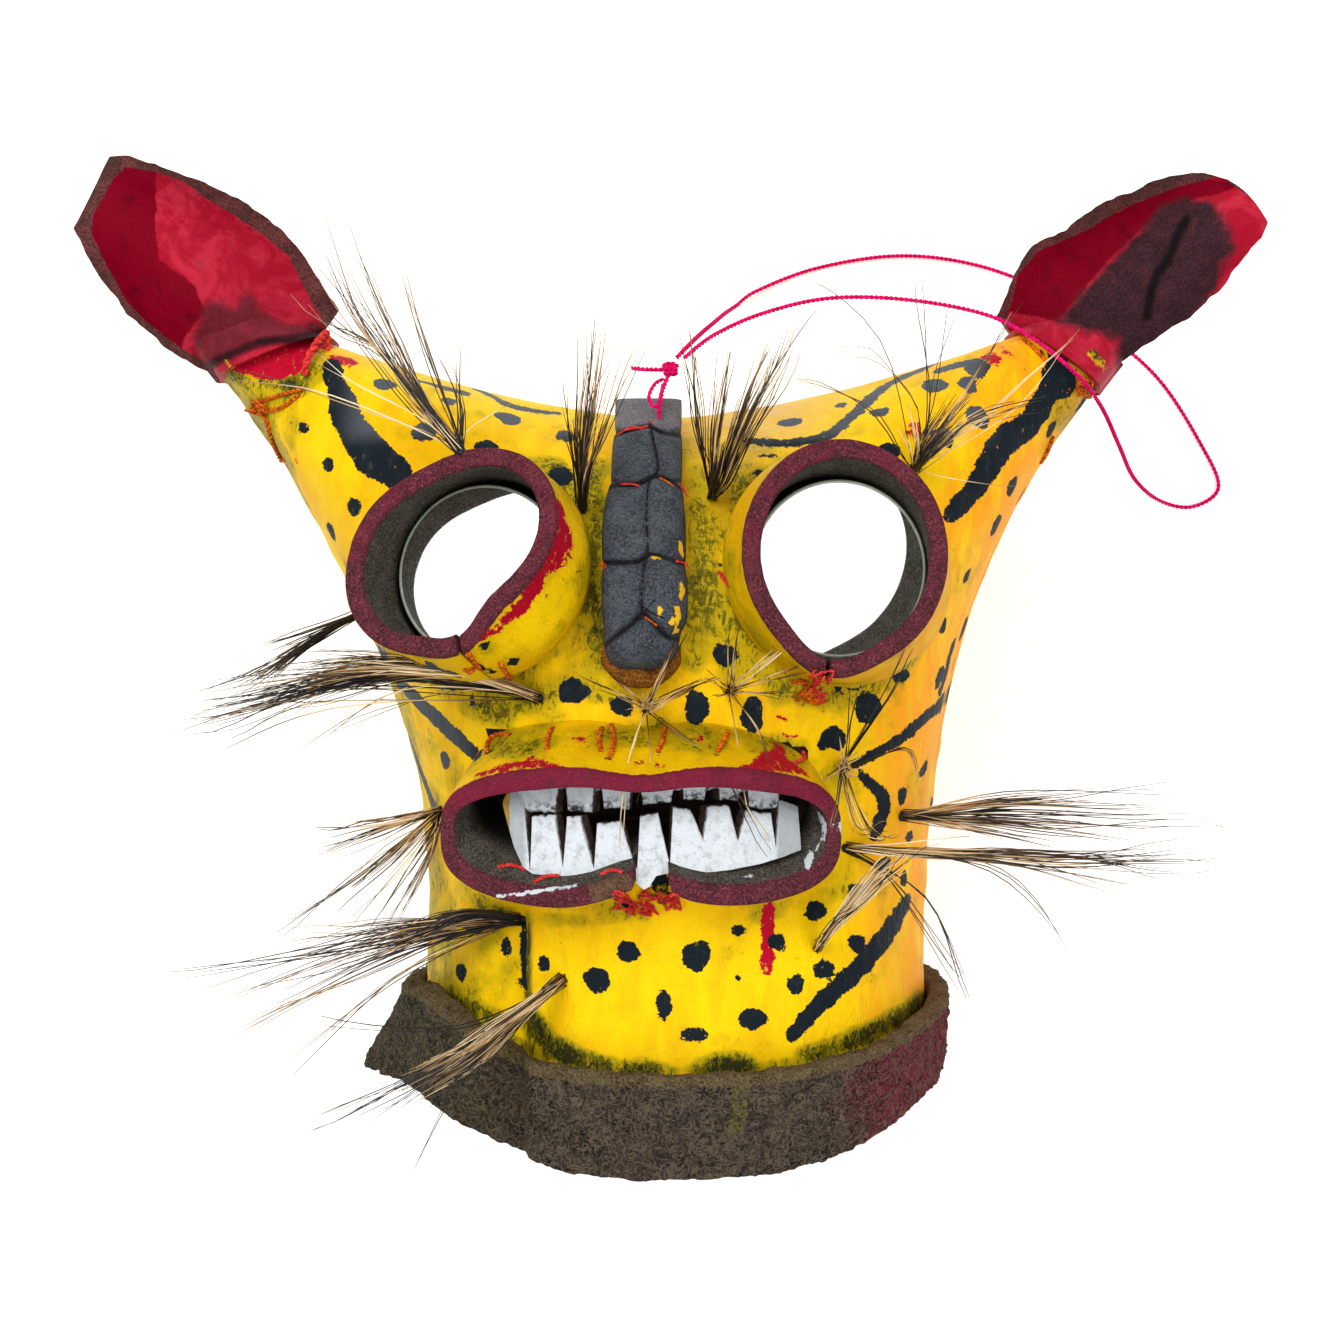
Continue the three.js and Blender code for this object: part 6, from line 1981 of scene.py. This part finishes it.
# Tufts: the pixel of the root and the height of the tips, then bundles of hairs as [number, kind
# (0 black, 0.25 pale at the tips, 0.5 banded, 1 pale), spread of the tips in pixels, share that the
# shortest hair reaches, then the pixels that the bundle passes]
TUFTS = {
    "left_brow_tuft": ((461, 452), 214, [
        [15, 0.3, 19, 0.5, (409, 389), (356, 307), (322, 222)],
        [8, 0.2, 17, 0.5, (409, 389), (379, 336), (311, 253)],
        [6, 0.5, 10, 0.7, (386, 357), (334, 327), (284, 266)],
        [9, 0.25, 10, 0.6, (425, 400), (393, 330), (347, 222)],
        [5, 0.25, 10, 0.7, (440, 390), (410, 300), (393, 259)], [6, 0, 8, 0.5, (459, 400), (436, 348)],
        [5, 0, 8, 0.5, (462, 410), (459, 345)], [22, 1, 9, 0.35, (430, 415), (404, 385)],
        [2, 1, 3, 0.95, (413, 427), (306, 389), (234, 375)],
        [2, 1, 3, 0.95, (418, 418), (347, 380), (309, 355)],
        [1, 1, 0, 0.98, (470, 426), (515, 403)]]),
    "nose_left_tuft": ((581, 511), 238, [
        [44, 0.17, 14, 0.45, (583, 450), (590, 390), (596, 318)],
        [16, 0.2, 13, 0.5, (590, 455), (627, 358)],
        [14, 0, 9, 0.4, (580, 460), (578, 420)], [3, 0, 6, 0.8, (570, 450), (560, 383)],
        [2, 0, 5, 0.9, (600, 440), (648, 337)]]),
    "nose_right_tuft": ((712, 497), 234, [
        [9, 0, 6, 0.6, (700, 430), (689, 325)], [20, 0.2, 12, 0.5, (715, 430), (728, 345)],
        [34, 0.22, 16, 0.45, (723, 483), (745, 430), (771, 377), (787, 331)],
        [12, 0.25, 10, 0.5, (740, 410), (764, 346)],
        [16, 0, 9, 0.4, (716, 470), (722, 440)], [1, 0, 0, 0.98, (760, 390), (820, 310)],
        [1, 1, 0, 0.98, (745, 420), (775, 378), (820, 383)], [2, 0, 3, 0.9, (695, 430), (681, 358)]]),
    "right_brow_tuft": ((915, 468), 210, [
        [62, 0, 14, 0.42, (928, 446), (962, 404)], [14, 0.4, 12, 0.45, (930, 440), (962, 404)],
        [2, 0, 4, 0.9, (928, 400), (918, 263)], [2, 0, 4, 0.9, (935, 400), (952, 293)],
        [6, 0.5, 8, 0.6, (960, 400), (1025, 300)], [15, 0.5, 10, 0.55, (975, 420), (1051, 400)],
        [3, 1, 6, 0.9, (1000, 410), (1080, 330)], [2, 0.25, 5, 0.9, (905, 459), (877, 411), (827, 385),
         (797, 378)],
        [2, 0, 5, 0.9, (920, 415), (899, 376), (870, 352), (826, 352)],
        [1, 0, 0, 0.98, (888, 356), (833, 293), (816, 278)],
        [1, 1, 0, 0.98, (938, 476), (1018, 487)], [8, 1, 12, 0.5, (916, 445), (908, 415)]]),
    "left_cheek_tuft": ((540, 698), 224, [
        [92, 0.5, 15, 0.5, (466, 677), (398, 672), (336, 679), (274, 693), (202, 708)],
        [34, 1, 8, 0.5, (466, 675), (398, 668), (330, 672)],
        [22, 0.5, 10, 0.7, (470, 672), (370, 660), (262, 664)],
        [20, 0, 12, 0.75, (400, 676), (300, 692), (196, 716)], [2, 0.5, 3, 0.95, (450, 690), (330, 740)],
        [2, 0.5, 5, 0.9, (330, 705), (221, 739)], [3, 0.5, 6, 0.8, (400, 690), (293, 758)],
        [3, 0, 6, 0.9, (330, 690), (174, 728)]]),
    "left_eye_side_tuft": ((352, 616), 168, [
        [38, 0, 7, 0.45, (312, 640), (272, 668), (235, 690)], [12, 0, 8, 0.6, (310, 632), (267, 646)],
        [4, 0, 8, 0.8, (290, 655), (200, 690)]]),
    "muzzle_middle_tuft": ((646, 708), 240, [
        [44, 1, 16, 0.4, (646, 702)], [7, 0.5, 6, 0.7, (679, 634)], [9, 0.5, 7, 0.7, (715, 675)],
        [4, 0.5, 6, 0.7, (610, 670)], [4, 0.5, 6, 0.7, (581, 677)],
        [3, 0.5, 3, 0.9, (700, 750), (736, 796), (774, 853)],
        [2, 1, 2, 0.95, (628, 768), (622, 846)], [1, 0.5, 0, 0.98, (650, 760), (637, 804)]]),
    "muzzle_right_tuft": ((730, 691), 240, [
        [26, 0.5, 18, 0.4, (730, 686)], [5, 1, 7, 0.8, (798, 639)], [4, 0.5, 5, 0.8, (817, 665)],
        [4, 0.5, 5, 0.8, (789, 696)], [2, 0.5, 3, 0.9, (757, 727), (772, 768)],
        [1, 1, 1, 0.98, (741, 765), (750, 812), (774, 853)], [3, 0.5, 6, 0.8, (736, 620)]]),
    "right_cheek_upper_tuft": ((843, 767), 236, [
        [44, 1, 20, 0.4, (846, 764)], [4, 0, 7, 0.8, (880, 700), (912, 639)], [3, 0, 5, 0.9, (857, 691)],
        [4, 0.25, 6, 0.8, (905, 749), (917, 784)], [3, 0.5, 5, 0.9, (858, 827), (889, 827)],
        [4, 0.5, 5, 0.8, (872, 835), (896, 835)], [3, 0.5, 4, 0.9, (834, 829)],
        [3, 0.5, 4, 0.9, (820, 784)]]),
    "right_cheek_tuft": ((844, 848), 192, [
        [38, 0.5, 8, 0.5, (927, 853), (1015, 855), (1123, 860), (1221, 858)],
        [14, 1, 8, 0.4, (900, 852), (965, 850)],
        [6, 0.25, 6, 0.7, (1000, 862), (1132, 887)], [6, 0, 6, 0.8, (1050, 856), (1181, 865)],
        [3, 0, 5, 0.8, (995, 870), (1074, 968)], [3, 0, 5, 0.8, (927, 900), (971, 1002)],
        [4, 0, 6, 0.8, (897, 885), (966, 983)]]),
    "right_side_tuft": ((900, 816), 166, [
        [14, 0.5, 9, 0.5, (1010, 800), (1240, 792)], [12, 0.5, 8, 0.5, (1000, 806), (1162, 801)],
        [12, 0.25, 8, 0.5, (1020, 815), (1245, 821)], [12, 0.5, 8, 0.5, (1000, 822), (1123, 836)],
        [12, 0.5, 8, 0.5, (980, 830), (1074, 850)], [10, 0.5, 9, 0.6, (980, 806), (1074, 797)],
        [8, 0, 14, 0.7, (1000, 815), (1180, 815)]]),
    "right_chin_tuft": ((817, 948), 234, [
        [54, 0.85, 14, 0.4, (844, 914), (878, 875), (902, 855)], [4, 0, 5, 0.8, (860, 900), (927, 846)],
        [3, 0, 6, 0.6, (835, 920), (870, 905)]]),
    "left_mouth_tuft": ((442, 811), 178, [
        [9, 0.5, 7, 0.6, (380, 822), (312, 830)], [10, 0.5, 9, 0.6, (385, 830), (315, 854)],
        [24, 0.5, 14, 0.5, (400, 850), (336, 907)], [12, 0.25, 8, 0.5, (425, 850), (370, 931)],
        [8, 0.25, 7, 0.6, (428, 860), (379, 955)], [4, 0.5, 10, 0.8, (370, 870), (270, 940)]]),
    "left_jaw_tuft": ((524, 919), 190, [
        [84, 0.1, 11, 0.4, (466, 914), (418, 931), (370, 945)],
        [30, 0.5, 20, 0.5, (440, 928), (360, 955), (262, 1000)],
        [5, 0, 6, 0.8, (370, 945), (159, 974)], [5, 0.25, 8, 0.8, (380, 950), (183, 1007)],
        [7, 0.25, 8, 0.75, (390, 960), (202, 1056)], [5, 0.25, 6, 0.8, (400, 975), (283, 1075)],
        [6, 0.25, 7, 0.7, (400, 920), (274, 936)], [10, 0.5, 9, 0.6, (400, 930), (288, 955)]]),
    "chin_tuft": ((563, 979), 236, [
        [96, 0.5, 18, 0.4, (514, 1017), (466, 1056), (399, 1094)],
        [50, 1, 15, 0.45, (520, 1012), (466, 1050), (420, 1076)],
        [8, 0, 6, 0.8, (466, 1050), (307, 1123)], [5, 0, 6, 0.8, (450, 1065), (336, 1132)],
        [2, 0, 4, 0.9, (470, 1060), (408, 1180)], [2, 0, 4, 0.9, (500, 1040), (430, 1108)],
        [3, 0, 6, 0.9, (450, 1030), (300, 1010)]]),
}
HAIR_POINTS = 11
HAIR_SIDES = 4
HAIR_RADIUS = 0.22
HAIR_STEPS = 24
HAIR_SPREAD = 0.62
HAIR_WAVE = 0.016
HAIR_KIND_SPREAD = 0.13


def hair_part(line, radius, tone, kind):
    shares = np.linspace(0, 1, HAIR_POINTS)
    widths = radius * (1 - 0.6 * shares ** 4)
    points, faces, _ = tube_part(line, widths, HAIR_SIDES)
    along = np.repeat(shares, HAIR_SIDES)
    count = len(points)
    return points, faces, {"along": along, "tone": np.full(count, tone), "kind": np.full(count, kind)}


def bundle_hair(rng, root, tip_z, spread, shortest, path):
    """One hair that follows its bundle's path, swinging out from it towards its tip."""
    swing = rng.normal(0, HAIR_SPREAD, 2) * spread
    reach = rng.uniform(shortest, 1.0)
    swings = rng.normal(0, 1, (2, 2)) * HAIR_WAVE
    phase = rng.uniform(0, 2 * math.pi, 2)
    start = to_pixels(root)
    through = path if len(path) > 1 else [(start + path[0]) / 2, path[0]]
    curve = spline([start, *through], HAIR_STEPS)
    length = np.sum(np.linalg.norm(np.diff(curve, axis=0), axis=1))
    arch = rng.normal(3.0, 2.0)
    rise = rng.normal(0, 4)
    shares = np.linspace(0, 1, HAIR_STEPS + 1)
    line = []
    for share in np.linspace(0, reach, HAIR_POINTS):
        place = np.array([np.interp(share, shares, curve[:, axis]) for axis in (0, 1)])
        place = place + swing * share ** 0.85
        for axis in (0, 1):
            wave = swings[axis, 0] * math.sin(5 * share + phase[axis])
            wave += swings[axis, 1] * math.sin(9 * share)
            place[axis] += wave * length * share
        z = mix(root[2], tip_z + rise, share ** 0.8) + arch * math.sin(math.pi * share)
        line.append(from_pixels(place[0], place[1], z))
    line[0] = root
    return np.array(line)


def build_tuft(name, root_pixel, tip_z, bundles, seed):
    rng = np.random.default_rng(seed)
    foot, _ = surface.at(*root_pixel)
    parts = []
    for count, kind, spread, shortest, *path in bundles:
        for _ in range(count):
            root = foot + np.append(rng.normal(0, 0.8, 2), rng.uniform(-0.8, 0.2))
            line = bundle_hair(rng, root, tip_z, spread, shortest, [np.array(p, float) for p in path])
            hair_kind = float(np.clip(kind + rng.normal(0, HAIR_KIND_SPREAD), 0, 1))
            radius = HAIR_RADIUS * rng.uniform(0.6, 1.15)
            parts.append(hair_part(line, radius, rng.uniform(-1, 1), hair_kind))
    knob = np.array([foot - [0, 0, 0.9], foot + [0, 0, 0.2], foot + [0.2, 0.2, 1.2]])
    parts.append(tube_part(knob, [1.9, 1.5, 0.6], 10, along=0.0, tone=0.0, kind=0.0))
    return dress_parts(f"{name}_hairs", parts, HAIR, "bristle", name)


for number, (tuft_name, (root_pixel, tip_z, bundles)) in enumerate(TUFTS.items()):
    build_tuft(tuft_name, root_pixel, tip_z, bundles, 500 + number)

# Hanging cord
CORD_DIAMETER = 1.5
CORD_PITCH = 3.6
CORD_KNOT = [0.5, 104, 168]
CORD_TIE = [[-3.4, 86, 182.5], [-3.2, 90, 178.5], [-2.6, 95, 173.5], [-1.2, 99.5, 169.5], CORD_KNOT]
CORD_TAIL = [CORD_KNOT, [-4.5, 104.2, 167.2], [-9, 104.6, 164.5], [-13, 105.4, 161]]
# The small loop below the knot: pixels and height
CORD_LOOP = [
    (664, 379, 178), (655, 384, 181), (649, 397, 184), (655, 407, 187), (661, 398, 186), (663, 384, 182),
]
CORD_ROUTE = [
    [2.8, 108.4, 166.6], [7, 114, 156], [12, 122, 126], [17, 131, 82], [22, 140, 38], [27.5, 147, 9],
    [36, 153.8, 2.2], [60, 163, 1.1], [92, 168, 1.1], [122, 165, 1.1], [150, 155, 1.1], [176, 138, 1.1],
    [199, 118, 1.1], [216, 92, 1.1], [223.5, 74, 1.1], [213, 66, 1.4], [199, 68, 6], [184, 75, 34],
    [170, 84, 84], [158, 93.5, 124], [148.5, 101.5, 143], [140, 108.5, 149], [129, 117.5, 147],
    [113, 127, 139], [86, 133.5, 129], [58, 134, 129], [34, 127.5, 138], [16, 118, 152],
    [5.5, 108.6, 164.5],
]


def build_cord():
    line = spline(CORD_ROUTE, 560)
    parts = twisted_parts(line, CORD_DIAMETER, CORD_PITCH)
    cord = dress_parts("pink_hanging_cord", parts, PINK, "cord", "hanging_cord")
    tie = twisted_parts(spline(CORD_TIE, 40), CORD_DIAMETER, CORD_PITCH)
    tail = twisted_parts(spline(CORD_TAIL, 40), CORD_DIAMETER, CORD_PITCH)
    wraps = []
    centre = np.array(CORD_KNOT)
    for turn_at, size, tilt in ((0.0, 2.0, 0.4), (1.3, 2.2, -0.5), (-1.2, 1.9, 0.1)):
        turns = np.linspace(0, 2 * math.pi, 26)
        ring = np.stack([np.cos(turns) * size, np.sin(turns) * size * tilt, np.sin(turns) * size * 0.8], 1)
        wraps += twisted_parts(centre + ring + np.array([0, turn_at, 0]), CORD_DIAMETER, CORD_PITCH)
    turns = np.array([from_pixels(x, y, z) for x, y, z in spline(CORD_LOOP, 40)])
    loop = twisted_parts(turns, 1.3, CORD_PITCH)
    knot = dress_parts("pink_knot", tie + tail + wraps + loop, PINK, "cord", "cord_knot")


build_cord()


# Stitches and threads. Each is a path of photo pixels on the mask's surface.
def surface_line(path, lift, steps=14):
    line = []
    for share, (x, y) in enumerate(spline(path, steps)):
        point, normal = surface.at(x, y)
        arch = math.sin(math.pi * share / steps)
        line.append(point + normal * (lift * (0.35 + 0.65 * arch)))
    return np.array(line)


def build_threads(name, material, paths, diameter, lift=0.8):
    parts = []
    for path in paths:
        parts += twisted_parts(surface_line(path, lift), diameter, diameter * 2.6, steps_per_turn=8)
    return dress_parts(name, parts, material, "cord")


ORANGE_STITCHES = [
    [(553, 728), (549, 738), (547, 750)], [(611, 725), (614, 742), (610, 758)],
    [(665, 728), (663, 742), (658, 753)],
    [(728, 733), (723, 744), (717, 753)], [(511, 735), (498, 736), (490, 742), (487, 753)],
    [(468, 652), (473, 660), (480, 668)], [(500, 662), (505, 670), (511, 678)],
    [(476, 664), (470, 670), (464, 668)],
    [(302, 390), (280, 396), (258, 402)], [(300, 395), (282, 408), (260, 412)],
    [(268, 425), (276, 445), (286, 468)], [(262, 414), (268, 420), (270, 428)],
    [(1090, 382), (1100, 390), (1088, 396), (1080, 390)], [(1076, 376), (1086, 380), (1096, 378)],
    [(1040, 462), (1046, 450), (1052, 436)], [(1022, 338), (1036, 352), (1046, 362)],
    [(602, 728), (599, 740), (601, 752)],
]
RED_STITCHES = [
    [(718, 572), (725, 577), (729, 585)],
    [(498, 868), (512, 867), (528, 871)], [(534, 883), (548, 878), (560, 877)],
    [(601, 876), (612, 872), (622, 873)],
    [(794, 764), (803, 760), (803, 751)],
]
EAR_STITCH = [
    [(346, 328), (330, 338), (318, 354), (307, 377)], [(340, 326), (349, 329), (347, 336), (339, 334)],
]
# Tangled thread ends: [left, top, right, bottom of the tangle in photo pixels, number of loops]
ORANGE_TANGLES = [
    (798, 676, 822, 698, 9), (254, 400, 268, 414, 7), (1080, 380, 1102, 398, 6), (640, 894, 652, 910, 4),
]
RED_TANGLES = [(800, 674, 824, 700, 6), (620, 890, 650, 911, 12), (660, 891, 675, 909, 8),
               (910, 424, 924, 436, 4), (1082, 384, 1100, 400, 4)]
CRUMBS = [(655, 884, 668, 898, 5)]


def tangle_paths(boxes, seed):
    rng = np.random.default_rng(seed)
    paths = []
    for left, top, right, bottom, count in boxes:
        for _ in range(count):
            middle = np.array([rng.uniform(left, right), rng.uniform(top, bottom)])
            swing = rng.uniform(-1, 1, (4, 2)) * np.array([right - left, bottom - top]) * 0.42
            paths.append([tuple(middle + step) for step in swing])
    return paths


def nose_height(x, y):
    """Where a camera ray through a pixel meets the nose strip's upper side."""
    line = np.array(NOSE_LINE)
    z = 210.0
    for _ in range(6):
        place = from_pixels(x, y, z)
        middle_x, half = (np.interp(place[1], line[:, 0], line[:, k]) for k in (2, 3))
        across = np.clip(abs(place[0] - middle_x) / half, 0, 1)
        z = np.interp(place[1], line[:, 0], line[:, 1]) - nose_dome(across)
    return from_pixels(x, y, z)


def nose_thread(path, lift, diameter, steps=26):
    line = np.array([nose_height(x, y) for x, y in spline(path, steps)])
    return twisted_parts(line + np.array([0, 0, lift]), diameter, diameter * 2.7)


# Threads on the nose, in photo pixels
NOSE_CRIMSON = [
    [(617, 435), (626, 430), (638, 428), (648, 426)], [(620, 433), (632, 427), (645, 429)],
    [(652, 424), (650, 418), (655, 412)], [(679, 484), (684, 490), (687, 496)],
    [(676, 561), (684, 563), (689, 567)],
    [(602, 562), (606, 566), (604, 570)], [(620, 484), (632, 484), (640, 486)],
]
NOSE_ORANGE = [
    [(645, 617), (652, 622), (657, 626)], [(660, 478), (668, 482), (674, 487)], [(600, 565), (605, 568)],
]


def build_nose_stitches():
    """Threads that pinch the nose strip into segments, with crossed ends at its tip."""
    dark, red, orange = [], [], []
    for path in NOSE_PINCHES:
        dark += nose_thread(path[1:-1], -1.2, 0.8)
        dark += nose_thread([(x + 1, y - 2.5) for x, y in path[1:-1]], -1.6, 0.7)
    dark += nose_thread(NOSE_VEE[1:-1], -1.6, 0.9)
    dark += nose_thread([(x, y + 3) for x, y in NOSE_VEE[1:4]], -1.8, 0.7)
    dark += nose_thread([(x + 0.8, y) for x, y in NOSE_SEAM], -0.9, 0.8, 60)
    dark += nose_thread([(638, 602), (650, 612), (664, 618)], 0.3, 0.5)
    dark += nose_thread([(655, 600), (646, 610), (640, 620)], 0.3, 0.5)
    for path in NOSE_CRIMSON:
        red += nose_thread(path, -0.6, 0.65)
    for path in NOSE_ORANGE:
        orange += nose_thread(path, -0.6, 0.65)
    threads = (("nose_dark_thread", dark, DARK_THREAD), ("nose_red_thread", red, RED_THREAD),
               ("nose_orange_thread", orange, ORANGE_THREAD))
    for name, parts, material in threads:
        dress_parts(name, parts, material, "cord")


build_threads("orange_stitches", ORANGE_THREAD, ORANGE_STITCHES, 1.5)
build_threads("orange_thread_ends", ORANGE_THREAD, tangle_paths(ORANGE_TANGLES, 61), 0.8, 1.6)
build_threads("red_stitches", RED_THREAD, RED_STITCHES, 1.2)
build_threads("red_thread_ends", RED_THREAD, tangle_paths(RED_TANGLES, 62), 0.8, 1.6)
build_threads("yellow_crumbs", CRUMB_THREAD, tangle_paths(CRUMBS, 63), 0.9, 1.2)
build_threads("ear_stitch", RED_THREAD, EAR_STITCH, 2.6, 5.0)
build_nose_stitches()

# Floor, light and camera
FLOOR_LIGHT = 0.30
FLOOR_HALF = 3
FLOOR_Z = -0.0004
LIGHTS_AIM = Vector((0, 0, 0.1))
# The sky's brightness: from the first height of the direction to the second it goes from dim to bright
SKY_RISE = (("From Min", 0.52), ("From Max", 0.72), ("To Min", 0.34), ("To Max", 1.26))

floor_corners = [(FLOOR_HALF * x, FLOOR_HALF * y, 0) for x, y in ((-1, -1), (1, -1), (1, 1), (-1, 1))]
floor_mesh = bpy.data.meshes.new("floor")
floor_mesh.from_pydata(floor_corners, [], [(0, 1, 2, 3)])
floor = bpy.data.objects.new("floor", floor_mesh)
floor.location.z = FLOOR_Z
bpy.context.scene.collection.objects.link(floor)
floor_shader = Shader("pale_floor")
floor_mesh.materials.append(floor_shader.finish(FLOOR_WHITE, 0.85, specular=0.1))
floor_paint = floor_shader.tree.nodes["Principled BSDF"]
floor_paint.inputs["Emission Color"].default_value = (1, 1, 1, 1)
floor_paint.inputs["Emission Strength"].default_value = FLOOR_LIGHT


def add_area(name, place, size, power):
    light = bpy.data.lights.new(name, "AREA")
    light.shape = "DISK"
    light.size = size
    light.energy = power
    lamp = bpy.data.objects.new(name, light)
    lamp.location = place
    lamp.rotation_euler = (LIGHTS_AIM - Vector(place)).to_track_quat("-Z", "Y").to_euler()
    bpy.context.scene.collection.objects.link(lamp)


add_area("upper_left_key", (-0.5, 0.7, 1.4), 0.9, 13)
add_area("right_fill", (0.7, -0.5, 1.3), 1.0, 5)
world = bpy.data.worlds.new("studio")
world.use_nodes = True
background = world.node_tree.nodes["Background"]
background.inputs[0].default_value = (1, 1, 1, 1)
# Brighter straight overhead, as under a large soft box
sky = world.node_tree.nodes.new("ShaderNodeTexCoord")
split = world.node_tree.nodes.new("ShaderNodeSeparateXYZ")
above = world.node_tree.nodes.new("ShaderNodeMapRange")
world.node_tree.links.new(sky.outputs["Generated"], split.inputs[0])
world.node_tree.links.new(split.outputs["Z"], above.inputs["Value"])
for socket, value in SKY_RISE:
    above.inputs[socket].default_value = value
world.node_tree.links.new(above.outputs[0], background.inputs[1])
bpy.context.scene.world = world
bpy.context.scene.view_settings.view_transform = "Standard"
bpy.context.scene.view_settings.look = "None"

camera_data = bpy.data.cameras.new("camera")
camera_data.lens = LENS
camera_data.sensor_width = SENSOR
camera = bpy.data.objects.new("camera", camera_data)
camera.location = Vector((np.array([0, 0, CAMERA_HEIGHT]) + SHIFT) * MM)
bpy.context.scene.collection.objects.link(camera)
bpy.context.scene.camera = camera

bpy.context.view_layer.update()
